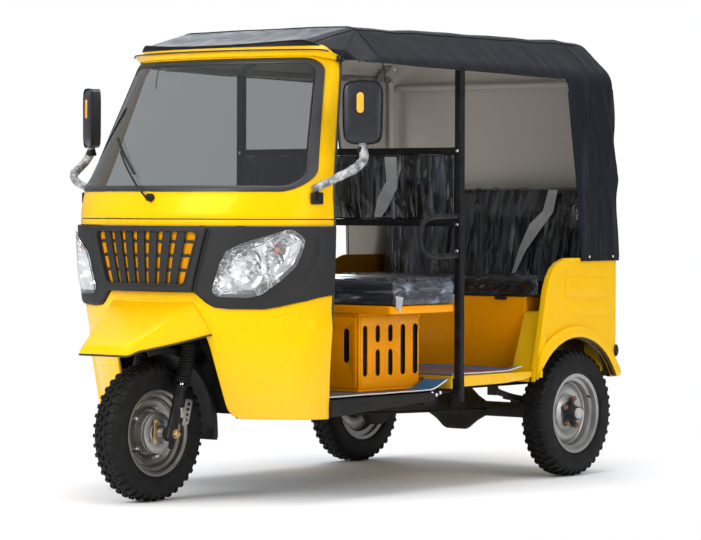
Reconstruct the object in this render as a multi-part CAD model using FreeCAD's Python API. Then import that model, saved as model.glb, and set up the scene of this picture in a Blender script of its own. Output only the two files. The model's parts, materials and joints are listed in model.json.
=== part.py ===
import FreeCAD, Part
import math
import os

from FreeCAD import Vector

# Auto rickshaw: three wheels, a moulded cab front, a driver's seat over the engine, a passenger
# bench and a fabric roof. Lengths are in millimetres. While pieces are made, Y = 0 is the front
# axle, the front faces -Y, +X is the vehicle's left side and Z = 0 is the ground. Finished
# pieces are moved so that the origin is on the ground under the middle of the vehicle.

# Overall
wheelbase = 1980.0
rear_track = 1150.0
tyre_radius = 266.0
tyre_width = 112.0
rear_overhang = 332.0
tub_half_width = 615.0
tub_rear_y = wheelbase + rear_overhang

# Fits
seat_gap = 0.3
running_fit = 0.05
overrun = 30.0

# Cab front shell: half widths, door edge and nose line at shares of the height
cab_half_width = 615.0
cab_wall = 12.0
mask_bottom_z = 322.0
cab_seam_z = 1088.0
door_edge_y = 376.0
door_edge_run = 18.0
nose_y = -17.0
nose_run = 147.0
mask_level_shares = [
    (0.0, 0.920, 1.0, 1.0), (0.286, 0.943, 0.61, 0.537), (0.558, 0.976, 0.33, 0.15),
    (0.79, 0.990, 0.17, 0.02), (1.0, 1.0, 0.0, 0.0)]
screen_top_z = 1760.0
screen_taper = 118.0
screen_edge_run = 186.0
screen_nose_run = 374.0
screen_level_shares = [
    (0.0, 0.0, 0.0, 0.0), (0.077, 0.025, 0.005, 0.021), (0.167, 0.085, 0.032, 0.078),
    (0.315, 0.249, 0.205, 0.2425), (0.613, 0.577, 0.551, 0.572), (0.9345, 0.932, 0.925, 0.928),
    (1.0, 1.0, 1.0, 1.0)]

# Gap between the leg shields, for the front wheel
leg_gap_foot_half = 272.0
leg_gap_half = 247.0
leg_gap_shoulder_z = 600.0
leg_gap_top_half = 236.0
leg_gap_top_z = 655.0
leg_corner_radius = 60.0

# Charcoal panel across the nose, with its grille
panel_top_z = 1062.0
panel_low_z = 747.0
panel_proud = 14.0
panel_wall = 24.0
panel_round = 14.0
panel_cut_reach = 150.0
panel_edge_shares = [
    (0.302, 0.213), (0.354, 0.197), (0.387, 0.137), (0.426, 0.07), (0.475, 0.016), (0.559, 0.0),
    (0.758, 0.003), (0.826, 0.032), (0.933, 0.102), (1.06, 0.257)]
centre_proud = 22.0
centre_top_half = 284.0
centre_low_half = 212.0
centre_round = 8.0
grille_top_z = 1040.0
grille_bottom_z = 842.0
grille_top_half = 249.0
grille_bottom_half = 188.0
grille_round = 16.0
slat_count = 7
slat_width = 15.0
slat_depth = 14.0
slat_bend_share = 0.45
slat_step_width = 10.0
slat_step_shares = [0.24, 0.52, 0.79]
grille_back_gap = 26.0
grille_back_wall = 4.0

# Headlamps: lens outline in shares of its width and height, from its inner low corner
lamp_inner_x = 300.0
lamp_low_z = 803.0
lamp_width = 272.0
lamp_height = 238.0
lamp_round = 16.0
lamp_outline_shares = [
    (0.0, 0.013), (0.44, 0.0), (0.57, 0.05), (0.754, 0.248), (0.9, 0.47), (0.956, 0.68),
    (0.985, 0.861), (0.9, 1.0), (0.654, 0.878), (0.386, 0.765), (0.213, 0.647), (0.14, 0.49),
    (0.066, 0.248)]
lens_proud = 22.0
lens_wall = 5.0
bowl_wall = 6.0
bowl_depth = 80.0

# Nose fairing over the front wheel
beak_root_y = 90.0
beak_ridge_half = 236.0
beak_ridge_z = 826.0
beak_edge_half = 276.0
beak_edge_z = 656.0
beak_front_y = -254.0
beak_front_half = 125.0
beak_front_ridge_half = 108.0
beak_front_z = 604.0
beak_front_edge_z = 584.0
beak_crown = 10.0
beak_wall = 5.0

# Windscreen
screen_low_z = 1193.0
screen_high_z = 1712.0
screen_low_half = 592.0
screen_high_half = 484.0
screen_round = 70.0
seal_width = 22.0
seal_proud = 5.0
seal_wall = 26.0
glass_wall = 6.0

# Peak over the windscreen
visor_bottom_z = 1715.0
visor_top_z = 1766.0
visor_proud = 40.0
visor_tip_y = 545.0
visor_lip_z = 1741.0
visor_lip_wall = 6.0
visor_root = 4.0

# Wiper
wiper_pivot = (16.0, 1168.0)
wiper_tip = (-255.0, 1350.0)
wiper_blade_ends = [(-330.0, 1405.0), (-110.0, 1262.0)]
wiper_boss_radius = 13.0
wiper_boss_reach = 34.0
wiper_arm_radius = 5.0
wiper_stand_off = 26.0
wiper_blade_radius = 7.0
wiper_bend = 60.0

# Wheelhouse and dashboard
wheelhouse_half = 294.0
wheelhouse_wall = 4.0
wheelhouse_rear_y = 372.0
wheelhouse_knee_z = 610.0
wheelhouse_mid_y = 300.0
wheelhouse_roof_z = 690.0
dash_low_z = 1118.0
dash_high_z = 1172.0
dash_rear_y = 250.0
dash_pod_half = 110.0
dash_pod_rise = 22.0
dash_pod_length = 120.0

# Chassis
rail_x = 400.0
rail_width = 40.0
rail_height = 60.0
rail_low_z = 325.0
rail_step_y = 1192.0
rail_lap = 90.0
rail_rear_low_z = 384.0
front_floor_z = 393.0
rear_floor_z = 452.0
floor_wall = 8.0
rail_front_y = 400.0
rail_rear_y = 2240.0
cross_width = 40.0
cross_height = 40.0
front_cross_y = [400.0, 700.0, 1020.0]
front_cross_half = 556.0
rear_cross_y = [1420.0, 1730.0, 2200.0]
rear_cross_half = 480.0
post_cross_half = 552.0
down_tube_radius = 21.0
down_tube_spread = 150.0
down_tube_foot_y = 420.0
tow_lug_width = 60.0
tow_lug_thick = 10.0
tow_eye_radius = 12.0
sill_width = 38.0
sill_front_y = 396.0
sill_rear_y = 1040.0
sill_rear_z = 363.0
sill_front_z = 329.0

# Floors and mats
front_floor_half = 560.0
front_floor_front_y = 396.0
front_floor_rear_y = 1188.0
mat_wall = 7.0
mat_inset = 6.0
rear_floor_half = 600.0
rear_floor_front_y = 1192.0
rear_floor_bulge_y = 1700.0
rear_floor_rear_y = 2270.0
rear_floor_skirt = 42.0
rear_floor_skirt_wall = 14.0

# Driver's seat over the engine
seat_box_half = 400.0
seat_box_front_y = 790.0
seat_box_rear_y = 1192.0
seat_box_top_z = 712.0
seat_box_wall = 12.0
seat_slot_width = 30.0
seat_slot_low_z = 459.0
seat_slot_high_z = 663.0
seat_slot_pitch = 81.0
seat_slot_count = 5
seat_slot_first_y = 833.0
seat_slot_bridge_low_z = 566.0
seat_slot_bridge_high_z = 594.0
seat_front_slot_x = 341.0
seat_front_slot_low_z = 514.0
seat_front_slot_high_z = 651.0
seat_pan_half = 560.0
seat_pan_rear_y = 1196.0
seat_pan_wall = 33.0
seat_cushion_half = 572.0
seat_cushion_front_y = 786.0
seat_cushion_rear_y = 1190.0
seat_cushion_height = 104.0
cushion_round = 34.0
engine_half = 150.0
engine_front_y = 880.0
engine_rear_y = 1140.0
engine_low_z = 300.0
engine_high_z = 660.0
engine_gap = 12.0

# Door posts, bars and partition
post_x = 580.0
post_width = 28.0
post_y = 1213.0
post_foot_z = 350.0
bar_width = 28.0
bar_z = [1071.0, 1362.0]
partition_pad_wall = 46.0
partition_pad_round = 16.0
loop_radius = 12.5
loop_low_z = 937.0
loop_high_z = 1098.0
loop_reach = 252.0
loop_drop = 22.0
loop_bend = 34.0

# Passenger bench
bench_front_y = 1812.0
bench_half = 488.0
bench_wall = 12.0
bench_top_z = 757.0
bench_lid_rear_y = 2100.0
bench_rear_y = 2188.0
bench_cushion_half = 560.0
bench_cushion_height = 86.0
bench_cushion_front_y = 1795.0
bench_cushion_rear_y = 2098.0
bench_hinge_radius = 6.0
bench_hinge_length = 60.0
bench_hinge_x = 350.0
bench_lift_gap = 0.6
backrest_high_z = 1225.0
backrest_half = 545.0
backrest_wall = 80.0
backrest_round = 28.0
backrest_front_y = 2106.0
backrest_lean = 70.0

# Rear body tub
tub_low_z = 408.0
tub_high_z = 921.0
tub_wall = 26.0
tub_corner_radius = 32.0
tub_front_shares = [
    (0.0, 0.0), (0.0065, 0.121), (0.063, 0.413), (0.1185, 0.727), (0.154, 0.834), (0.203, 0.916),
    (0.263, 0.965), (0.36, 1.0)]
tub_front_y = 1696.0
tub_front_round = 46.0
arch_radius = 312.0
arch_y = 1975.0
arch_lip_width = 52.0
arch_lip_proud = 26.0
arch_lip_wall = 16.0
arch_lip_chamfer = 12.8
wheel_box_inner_x = 492.0
wheel_box_wall = 6.0
wheel_box_front_y = 1690.0
wheel_box_top_z = 700.0
wheel_box_slope = 110.0
wheel_box_rear_y = 2236.0
rear_lamp_x = 520.0
rear_lamp_z = 640.0
rear_lamp_half = 34.0
rear_lamp_height = 150.0
rear_lamp_proud = 16.0
rear_lamp_round = 10.0

# Canopy
canopy_half = 604.0
canopy_wall = 9.0
canopy_cab_gap = 1.0
canopy_hem_half = 627.0
canopy_hem_z = 903.0
canopy_waist_half = 611.0
canopy_waist_z = 1223.0
canopy_eave_z = 1700.0
canopy_shoulder_half = 455.0
canopy_shoulder_z = 1842.0
canopy_crown_z = 1852.0
canopy_shoulder_round = 80.0
canopy_front_y = 332.0
canopy_front_z = 1774.0
canopy_slope_y = 690.0
canopy_rear_y = 2322.0
canopy_rear_top_y = 2302.0
canopy_bow_z = 1838.0
canopy_eave_round = 60.0
canopy_front_half = 508.0
canopy_corner_y = 612.0
canopy_rear_round = 240.0
canopy_slope_round = 200.0
canopy_side_front_y = 560.0
valance_front_z = 1701.0
valance_rear_z = 1668.0
curtain_top_y = 1945.0
curtain_mid_y = 2005.0
curtain_low_y = 2021.0

# Roof frame
rail_tube_radius = 12.5
side_rail_x = 560.0
side_rail_z = 1703.0
side_rail_rear_y = 2215.0
side_rail_front_x = 470.0
side_rail_front_y = 575.0
side_rail_front_z = 1742.0
bow_y = [714.0, 1213.0, 1650.0, 2112.0]
bow_z = 1812.0
bow_half = 425.0
bow_bend = 90.0
rear_post_foot_x = 575.0
rear_post_foot_z = wheel_box_top_z + 2 * seat_gap

# Mirrors
mirror_x = 713.0
mirror_y = 427.0
mirror_z = 1495.0
mirror_width = 156.0
mirror_height = 243.0
mirror_wall = 46.0
mirror_round = 42.0
mirror_arm_radius = 9.0
mirror_foot = (602.0, 290.0, 1181.0)
mirror_knee = (672.0, 285.0, 1228.0)
mirror_bracket = 44.0
mirror_turn_deg = 33.0
mirror_edge_round = 14.0

# Rear axle, springs and drive
axle_radius = 32.0
axle_half = 470.0
stub_radius = 15.0
stub_end_x = 632.0
brake_drum_radius = 98.0
brake_drum_width = 38.0
diff_radius = 95.0
diff_flat_half = 42.0
diff_cone_half = 150.0
diff_shoulder_radius = 59.0
spring_length = 590.0
spring_leaf_wall = 8.0
spring_leaf_width = 46.0
spring_leaf_count = 4
spring_leaf_step = 110.0
spring_rise = 48.0
u_bolt_radius = 6.0
shaft_radius = 22.0
muffler_x = -230.0
muffler_radius = 52.0
muffler_length = 330.0
muffler_front_y = 1330.0
muffler_z = 318.0
pipe_radius = 16.0
rod_radius = 6.0
rod_x = 175.0
rod_z = 300.0
pedal_lug_y = 720.0

# Front fork
rake_deg = 18.0
steering_offset = 43.0
leg_x = 117.0
leg_radius = 25.0
leg_rod_radius = 13.0
leg_slider_length = 190.0
leg_length = 372.0
axle_pin_radius = 8.0
axle_nut_radius = 15.0
axle_nut_wall = 12.0
yoke_low = 350.0
yoke_wall = 24.0
yoke_depth = 62.0
head_gap = 1.0
head_length = 190.0
down_tube_join_share = 0.6
head_radius = 33.0
column_radius = 24.0
stem_radius = 17.0
stem_top = 770.0
coil_radius = 32.0
coil_valley_radius = 24.0
coil_turns = 9
coil_facets = 24
bar_radius = 11.0
bar_half = 330.0
bar_back = 70.0
bar_rise = 20.0
grip_radius = 17.0
grip_length = 120.0
headset_half = 70.0
headset_wall = 60.0
headset_round = 12.0
guard_radius = 328.0
guard_wall = 5.0
guard_half = 70.0
guard_lip = 26.0
guard_start_deg = -8.0
guard_end_deg = 121.0
brake_plate_radius = 79.0
brake_plate_x = 40.0
brake_plate_wall = 12.0

# Wheels
bead_radius = 158.0
flange_radius = 167.0
rim_half = 50.0
rim_well_radius = 140.0
rim_wall = 6.0
hub_radius = 30.0
hub_half = 38.0
disc_offset = 16.0
disc_wall = 7.0
front_drum_radius = 86.0
rear_hub_radius = 52.0
rear_hub_reach = 46.0
hub_cap_radius = 24.0
hub_cap_reach = 12.0
tyre_shoulder_half = 44.0
tyre_shoulder_drop = 12.0
tyre_side_radius = 215.0
tyre_carcass = 14.0
tyre_bead_half = 46.5
tyre_facets = 56


# Shapes used by many pieces

def box(x0, x1, y0, y1, z0, z1):
    return Part.makeBox(x1 - x0, y1 - y0, z1 - z0, Vector(x0, y0, z0))


def both_sides(shape):
    return Part.makeCompound([shape, shape.mirror(Vector(0, 0, 0), Vector(1, 0, 0))])


def rounded_path(points, radii, closed=False):
    """Straight runs joined by tangent arcs; radii is one radius or one for each point."""
    points = [Vector(*point) for point in points]
    count = len(points)
    if not isinstance(radii, list):
        radii = [radii] * count
    corners = []
    for index, point in enumerate(points):
        is_end = not closed and index in (0, count - 1)
        if is_end or radii[index] == 0:
            corners.append((point, None, point))
            continue
        before = (points[index - 1] - point).normalize()
        after = (points[(index + 1) % count] - point).normalize()
        half_angle = before.getAngle(after) / 2
        if math.cos(half_angle) < 1e-4:
            corners.append((point, None, point))
            continue
        trim = radii[index] / math.tan(half_angle)
        inward = (before + after).normalize()
        centre = point + inward * (radii[index] / math.sin(half_angle))
        corners.append((point + before * trim, centre - inward * radii[index], point + after * trim))
    edges = []
    for index, (start, middle, end) in enumerate(corners):
        if middle is not None:
            edges.append(Part.Arc(start, middle, end).toShape())
        if closed or index < count - 1:
            following = corners[(index + 1) % count][0]
            if end.distanceToPoint(following) > 1e-6:
                edges.append(Part.makeLine(end, following))
    return Part.Wire(edges)


def tube(points, radius, bend):
    path = rounded_path(points, bend)
    start = Vector(*points[0])
    ring = Part.Wire(Part.makeCircle(radius, start, Vector(*points[1]) - start))
    return path.makePipeShell([ring], True, False)


def rod(start, end, radius):
    start = Vector(*start)
    along = Vector(*end) - start
    return Part.makeCylinder(radius, along.Length, start, along)


def slab_x(outline, radii, x0, x1):
    """A plate with its outline in Y and Z, from x0 to x1."""
    wire = rounded_path([(x0, y, z) for y, z in outline], radii, True)
    return Part.Face(wire).extrude(Vector(x1 - x0, 0, 0))


def slab_y(outline, radii, y0, y1):
    """A plate with its outline in X and Z, from y0 to y1."""
    wire = rounded_path([(x, y0, z) for x, z in outline], radii, True)
    return Part.Face(wire).extrude(Vector(0, y1 - y0, 0))


def slab_z(outline, radii, z0, z1):
    """A plate with its outline in X and Y, from z0 to z1."""
    wire = rounded_path([(x, y, z0) for x, y in outline], radii, True)
    return Part.Face(wire).extrude(Vector(0, 0, z1 - z0))


def grown_slab_y(outline, radii, growth, y0, y1):
    wire = rounded_path([(x, y0, z) for x, z in outline], radii, True)
    if growth != 0:
        wire = wire.makeOffset2D(growth)
    return Part.Face(wire).extrude(Vector(0, y1 - y0, 0))


def mirrored_outline(half_outline):
    """A closed outline from its right half, listed from one end to the other."""
    return half_outline + [(-x, z) for x, z in reversed(half_outline) if x != 0]


def cushion(x0, x1, y0, y1, z0, z1, radius):
    """A pad with its upright corners and its top edge rounded."""
    body = box(x0, x1, y0, y1, z0, z1)
    upright = [edge for edge in body.Edges if abs(edge.tangentAt(0).z) > 0.5]
    body = body.makeFillet(radius, upright)
    top = [edge for edge in body.Edges if min(v.Z for v in edge.Vertexes) > z1 - seat_gap]
    return body.makeFillet(radius, top)


# Cab front

def mask_levels():
    height = cab_seam_z - mask_bottom_z
    levels = []
    for rise, width, edge, nose in mask_level_shares:
        levels.append((
            mask_bottom_z + height * rise, cab_half_width * width,
            door_edge_y + door_edge_run * edge, nose_y + nose_run * nose))
    return levels


def screen_levels():
    height = screen_top_z - cab_seam_z
    levels = []
    for rise, taper, edge, nose in screen_level_shares:
        levels.append((
            cab_seam_z + height * rise, cab_half_width - screen_taper * taper,
            door_edge_y + screen_edge_run * edge, nose_y + screen_nose_run * nose))
    return levels


def section_arc(level, outward):
    z, half_width, edge_y, front_y = level
    curve = Part.Ellipse(Vector(0, edge_y, z), half_width + outward, edge_y - front_y + outward)
    return Part.ArcOfEllipse(curve, math.pi, 2 * math.pi).toShape()


def section_ring(level, outward, inward):
    outer = section_arc(level, outward)
    inner = section_arc(level, inward)
    closers = [Part.makeLine(outer.Vertexes[side].Point, inner.Vertexes[side].Point) for side in (0, 1)]
    return Part.Wire([outer, closers[1], inner, closers[0]])


def shell(levels, outward, wall):
    """A curved wall through half-ellipse sections; outward moves it off the cab's surface."""
    return Part.makeLoft([section_ring(level, outward, outward - wall) for level in levels], True, False)


def filled_shell(levels, outward):
    wires = []
    for level in levels:
        outer = section_arc(level, outward)
        wires.append(Part.Wire([outer, Part.makeLine(outer.Vertexes[1].Point, outer.Vertexes[0].Point)]))
    return Part.makeLoft(wires, True, False)


def panel_outline():
    height = panel_top_z - panel_low_z
    low = [(cab_half_width * x, panel_low_z + height * z) for x, z in panel_edge_shares]
    side_x = low[-1][0]
    return mirrored_outline(low + [(side_x, panel_top_z)])


def lamp_outline():
    return [(lamp_inner_x + lamp_width * x, lamp_low_z + lamp_height * z)
            for x, z in lamp_outline_shares]


def lamp_plug(growth):
    return grown_slab_y(lamp_outline(), lamp_round, growth, nose_y - overrun - lamp_width, door_edge_y)


def grille_outline():
    return [
        (grille_bottom_half, grille_bottom_z), (grille_top_half, grille_top_z),
        (-grille_top_half, grille_top_z), (-grille_bottom_half, grille_bottom_z)]


def panel_centre():
    """The raised middle part round the grille, which narrows downwards."""
    outline = [
        (centre_low_half, panel_low_z), (centre_top_half, panel_top_z),
        (-centre_top_half, panel_top_z), (-centre_low_half, panel_low_z)]
    plug = slab_y(outline, centre_round, nose_y - overrun - panel_proud - centre_proud, door_edge_y)
    return shell(mask_levels(), panel_proud + centre_proud,
        panel_wall).common(plug).common(panel_plug(0))


def panel_plug(growth):
    return grown_slab_y(panel_outline(), panel_round, growth, nose_y - panel_cut_reach, door_edge_y)


def front_mask():
    body = shell(mask_levels(), 0, cab_wall)
    foot_half = leg_gap_foot_half + 2 * leg_corner_radius
    gap = [
        (foot_half, mask_bottom_z - overrun), (foot_half, mask_bottom_z),
        (leg_gap_foot_half, mask_bottom_z),
        (leg_gap_half, leg_gap_shoulder_z), (leg_gap_top_half, leg_gap_top_z)]
    radii = [0, 0, leg_corner_radius, 0, 0, 0, 0, leg_corner_radius, 0, 0]
    body = body.cut(slab_y(mirrored_outline(gap), radii, nose_y - overrun, door_edge_y))
    return body.cut(panel_plug(seat_gap))


def front_panel():
    body = shell(mask_levels(), panel_proud, panel_wall).common(panel_plug(0)).fuse(panel_centre())
    body = body.cut(slab_y(grille_outline(), grille_round, nose_y - overrun - centre_proud, door_edge_y))
    plug = lamp_plug(seat_gap)
    body = body.cut(plug).cut(plug.mirror(Vector(0, 0, 0), Vector(1, 0, 0)))
    return body.fuse(grille_slats())


def grille_slats():
    """Upright slats that bend at mid height, tied by short steps, following the nose."""
    height = grille_top_z - grille_bottom_z
    wall = shell(mask_levels(), panel_proud + centre_proud - lens_wall, slat_depth)
    bend_z = grille_bottom_z + height * slat_bend_share
    bend_half = grille_bottom_half + (grille_top_half - grille_bottom_half) * slat_bend_share
    bars = []
    for index in range(slat_count):
        share = (index + 1) / (slat_count + 1) * 2 - 1
        top_x = grille_top_half * share
        bend_x = bend_half * share
        low_x = grille_bottom_half * share
        half = slat_width / 2
        bars.append(slab_y([
            (low_x - half, grille_bottom_z - half), (low_x + half, grille_bottom_z - half),
            (bend_x + half, bend_z), (top_x + half, grille_top_z + half),
            (top_x - half, grille_top_z + half), (bend_x - half, bend_z)], 0,
            nose_y - overrun - centre_proud, door_edge_y))
    for share in slat_step_shares:
        z = grille_bottom_z + height * share
        half = grille_bottom_half + (grille_top_half - grille_bottom_half) * share
        bars.append(box(
            -half, half, nose_y - overrun - centre_proud, door_edge_y,
            z, z + slat_step_width))
    grid = bars[0].multiFuse(bars[1:])
    return grid.common(wall)


def grille_back():
    wall = shell(mask_levels(), panel_proud - panel_wall - seat_gap, grille_back_wall)
    outline = grown_slab_y(grille_outline(), grille_round, slat_width, nose_y - overrun, door_edge_y)
    return wall.common(outline)


def headlamp_lenses():
    skin = shell(mask_levels(), lens_proud, lens_wall)
    return both_sides(skin.common(lamp_plug(0)))


def headlamp_bowls():
    block = shell(mask_levels(), lens_proud - lens_wall - seat_gap, bowl_depth).common(lamp_plug(0))
    hollow = shell(mask_levels(), lens_proud + overrun, bowl_depth + overrun - bowl_wall)
    return both_sides(block.cut(hollow.common(lamp_plug(-bowl_wall))))


def beak_section(y, ridge_half, ridge_z, edge_half, edge_z, crown, wall):
    outer = [(-edge_half, edge_z), (-ridge_half, ridge_z), (0, ridge_z + crown),
             (ridge_half, ridge_z), (edge_half, edge_z)]
    inner = [(edge_half - wall, edge_z), (ridge_half - wall, ridge_z - wall),
        (0, ridge_z + crown - wall),
             (wall - ridge_half, ridge_z - wall), (wall - edge_half, edge_z)]
    points = [Vector(x, y, z) for x, z in outer + inner]
    return Part.makePolygon(points + [points[0]])


def front_beak():
    root = beak_section(
        beak_root_y, beak_ridge_half, beak_ridge_z, beak_edge_half, beak_edge_z, beak_crown, beak_wall)
    front = beak_section(
        beak_front_y, beak_front_ridge_half, beak_front_z, beak_front_half, beak_front_edge_z,
        beak_crown, beak_wall)
    body = Part.makeLoft([root, front], True, True)
    lip = slab_y([
        (-beak_front_half, beak_front_edge_z), (-beak_front_ridge_half, beak_front_z),
        (beak_front_ridge_half, beak_front_z), (beak_front_half, beak_front_edge_z)], 0,
        beak_front_y, beak_front_y + beak_wall)
    body = body.fuse(lip)
    return body.cut(filled_shell(mask_levels(), seat_gap)).cut(
        filled_shell(mask_levels(), panel_proud + centre_proud + seat_gap).common(panel_plug(seat_gap)))


def screen_outline():
    return [
        (screen_low_half, screen_low_z), (screen_high_half, screen_high_z),
        (-screen_high_half, screen_high_z), (-screen_low_half, screen_low_z)]


def screen_plug(growth):
    return grown_slab_y(screen_outline(), screen_round, growth, nose_y - overrun,
        door_edge_y + screen_edge_run)


def screen_frame():
    return shell(screen_levels(), 0, cab_wall).cut(screen_plug(0))


def screen_seal():
    ring = screen_plug(-seat_gap).cut(screen_plug(-seal_width))
    return shell(screen_levels(), seal_proud, seal_wall).common(ring)


def screen_glass():
    pane = screen_plug(-seal_width - seat_gap)
    return shell(screen_levels(), 0, glass_wall).common(pane)


def visor_level(z):
    """The screen's section at a height, by straight steps between its named levels."""
    levels = screen_levels()
    for low, high in zip(levels, levels[1:]):
        if z <= high[0] or high is levels[-1]:
            share = (z - low[0]) / (high[0] - low[0])
            return tuple(a + (b - a) * share for a, b in zip(low, high))


def roof_visor():
    rings = [
        (visor_bottom_z, visor_root), (visor_lip_z, visor_proud),
        (visor_lip_z + visor_lip_wall, visor_proud),
        (visor_top_z, visor_root)]
    wires = [section_ring(visor_level(z), outward, seat_gap) for z, outward in rings]
    body = Part.makeLoft(wires, True, True)
    return body.cut(box(
        -cab_half_width - visor_proud, cab_half_width + visor_proud, visor_tip_y,
        visor_tip_y + tub_rear_y,
        visor_bottom_z - overrun, visor_top_z + overrun))


def surface_y(x, z, outward):
    """Where the screen part of the cab's surface lies, at a width and a height."""
    level = visor_level(z)
    half = level[1] + outward
    depth = level[2] - level[3] + outward
    return level[2] - depth * math.sqrt(1 - (x / half) ** 2)


def wiper():
    def stand(point):
        return (point[0], surface_y(point[0], point[1], wiper_stand_off), point[1])
    def run(start, end):
        return [stand((start[0] + (end[0] - start[0]) * share, start[1] + (end[1] - start[1]) * share))
                for share in (0, 1 / 3, 2 / 3, 1)]

    boss_root = (wiper_pivot[0], surface_y(*wiper_pivot, seat_gap), wiper_pivot[1])
    boss = rod(boss_root, (boss_root[0], boss_root[1] - wiper_boss_reach, boss_root[2]),
        wiper_boss_radius)
    arm = tube(run(wiper_pivot, wiper_tip), wiper_arm_radius, wiper_bend)
    blade = tube(run(*wiper_blade_ends), wiper_blade_radius, wiper_bend)
    return boss.multiFuse([arm, blade]).cut(filled_shell(screen_levels(), seat_gap))


def wheelhouse():
    """The box behind the leg shields that the front wheel turns in."""
    outline = [
        (nose_y, mask_bottom_z), (wheelhouse_rear_y, mask_bottom_z),
        (wheelhouse_rear_y, wheelhouse_knee_z), (wheelhouse_mid_y, wheelhouse_roof_z),
        (nose_y, wheelhouse_roof_z)]
    wall = wheelhouse_wall
    hollow = [
        (nose_y - overrun, mask_bottom_z - overrun), (wheelhouse_rear_y - wall, mask_bottom_z - overrun),
        (wheelhouse_rear_y - wall, wheelhouse_knee_z - wall),
        (wheelhouse_mid_y - wall, wheelhouse_roof_z - wall),
        (nose_y - overrun, wheelhouse_roof_z - wall)]
    body = slab_x(outline, 0, -wheelhouse_half, wheelhouse_half)
    body = body.cut(slab_x(hollow, 0, wall - wheelhouse_half, wheelhouse_half - wall))
    body = body.common(filled_shell(mask_levels(), -cab_wall - seat_gap))
    body = body.cut(along_steering(0, stem_top, head_radius + seat_gap))
    return body.cut(down_tubes(down_tube_radius + seat_gap))


def dashboard():
    levels = [visor_level(dash_low_z), visor_level(dash_high_z)]
    fill = filled_shell(levels, -cab_wall - seat_gap)
    shelf = fill.common(box(
        -cab_half_width, cab_half_width, nose_y, dash_rear_y, dash_low_z, dash_high_z))
    pod_front = dash_rear_y - dash_pod_length
    pod = slab_x([
        (pod_front, dash_high_z), (dash_rear_y, dash_high_z),
        (dash_rear_y, dash_high_z + dash_pod_rise / 2),
        (pod_front, dash_high_z + dash_pod_rise)], 0, -dash_pod_half, dash_pod_half)
    return shelf.fuse(pod)


# Chassis and floors

def steering_point(distance, back=0, x=0):
    """A point up the steering axis, level with the front axle at 0, moved back across it."""
    rake = math.radians(rake_deg)
    across = steering_offset + back
    y = distance * math.sin(rake) + across * math.cos(rake)
    return (x, y, tyre_radius + distance * math.cos(rake) - across * math.sin(rake))


def along_steering(start, end, radius):
    return rod(steering_point(start), steering_point(end), radius)


def head_start():
    return yoke_low + yoke_wall + head_gap


def down_tubes(radius):
    """The pair of tubes from the steering head to the first cross member."""
    middle = steering_point(head_start() + head_length * down_tube_join_share)
    foot_z = front_floor_z - floor_wall - cross_height / 2
    pair = [rod(middle, (side * down_tube_spread, down_tube_foot_y, foot_z), radius) for side in (-1, 1)]
    return pair[0].fuse(pair[1])


def chassis_frame():
    half = rail_width / 2
    front_top = front_floor_z - floor_wall
    rear_top = rear_floor_z - floor_wall
    parts = []
    for x in (-rail_x, rail_x):
        parts.append(box(x - half, x + half, rail_front_y, rail_step_y + rail_lap, rail_low_z,
            front_top))
        parts.append(box(x - half, x + half, rail_step_y, rail_rear_y, rail_rear_low_z, rear_top))
    for y in front_cross_y:
        parts.append(box(-front_cross_half, front_cross_half, y, y + cross_width,
                         front_top - cross_height, front_top))
    for y in rear_cross_y:
        parts.append(box(-rear_cross_half, rear_cross_half, y, y + cross_width,
                         rear_top - cross_height, rear_top))
    post_half = post_width / 2
    parts.append(box(
        -post_x + post_half, post_x - post_half, post_y - post_half, post_y + post_half,
        rear_top - cross_height - floor_wall, rear_top))
    lug_top = rear_top - cross_height
    lug = box(-tow_lug_width / 2, tow_lug_width / 2, rail_rear_y - cross_width,
        rail_rear_y + tow_lug_width,
              lug_top - tow_lug_thick, lug_top)
    eye_y = rail_rear_y + tow_lug_width / 2
    lug = lug.cut(rod((0, eye_y, lug_top - overrun), (0, eye_y, lug_top + overrun), tow_eye_radius))
    return parts[0].multiFuse(parts[1:] + [lug])


def steering_head():
    """The head tube that carries the fork, on its two down tubes."""
    head = along_steering(head_start(), head_start() + head_length, head_radius)
    body = head.fuse(down_tubes(down_tube_radius)).cut(along_steering(0, stem_top,
        column_radius + running_fit))
    front_top = front_floor_z - floor_wall
    return body.cut(box(
        -front_cross_half, front_cross_half, front_cross_y[0] - overrun,
        front_cross_y[0] + cross_width + overrun,
        front_top - 2 * cross_height, front_top + seat_gap))


def sill_beams():
    top = front_floor_z - seat_gap
    outline = [(sill_front_y, sill_front_z), (sill_rear_y, sill_rear_z), (sill_rear_y, top),
        (sill_front_y, top)]
    start = front_floor_half + seat_gap
    return both_sides(slab_x(outline, 0, start, start + sill_width))


def front_floor():
    plate = box(-front_floor_half, front_floor_half, front_floor_front_y, front_floor_rear_y,
                front_floor_z - floor_wall, front_floor_z)
    return plate.cut(engine_shape(engine_gap)).cut(down_tubes(down_tube_radius + seat_gap))


def front_mat():
    low = front_floor_z
    mat = box(mat_inset - front_floor_half, front_floor_half - mat_inset,
        front_floor_front_y + mat_inset,
              front_floor_rear_y - mat_inset, low, low + mat_wall)
    mat = mat.cut(box(
        -seat_box_half - mat_inset, seat_box_half + mat_inset, seat_box_front_y - mat_inset,
        front_floor_rear_y, low, low + mat_wall))
    return mat.cut(down_tubes(down_tube_radius + mat_inset))


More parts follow.
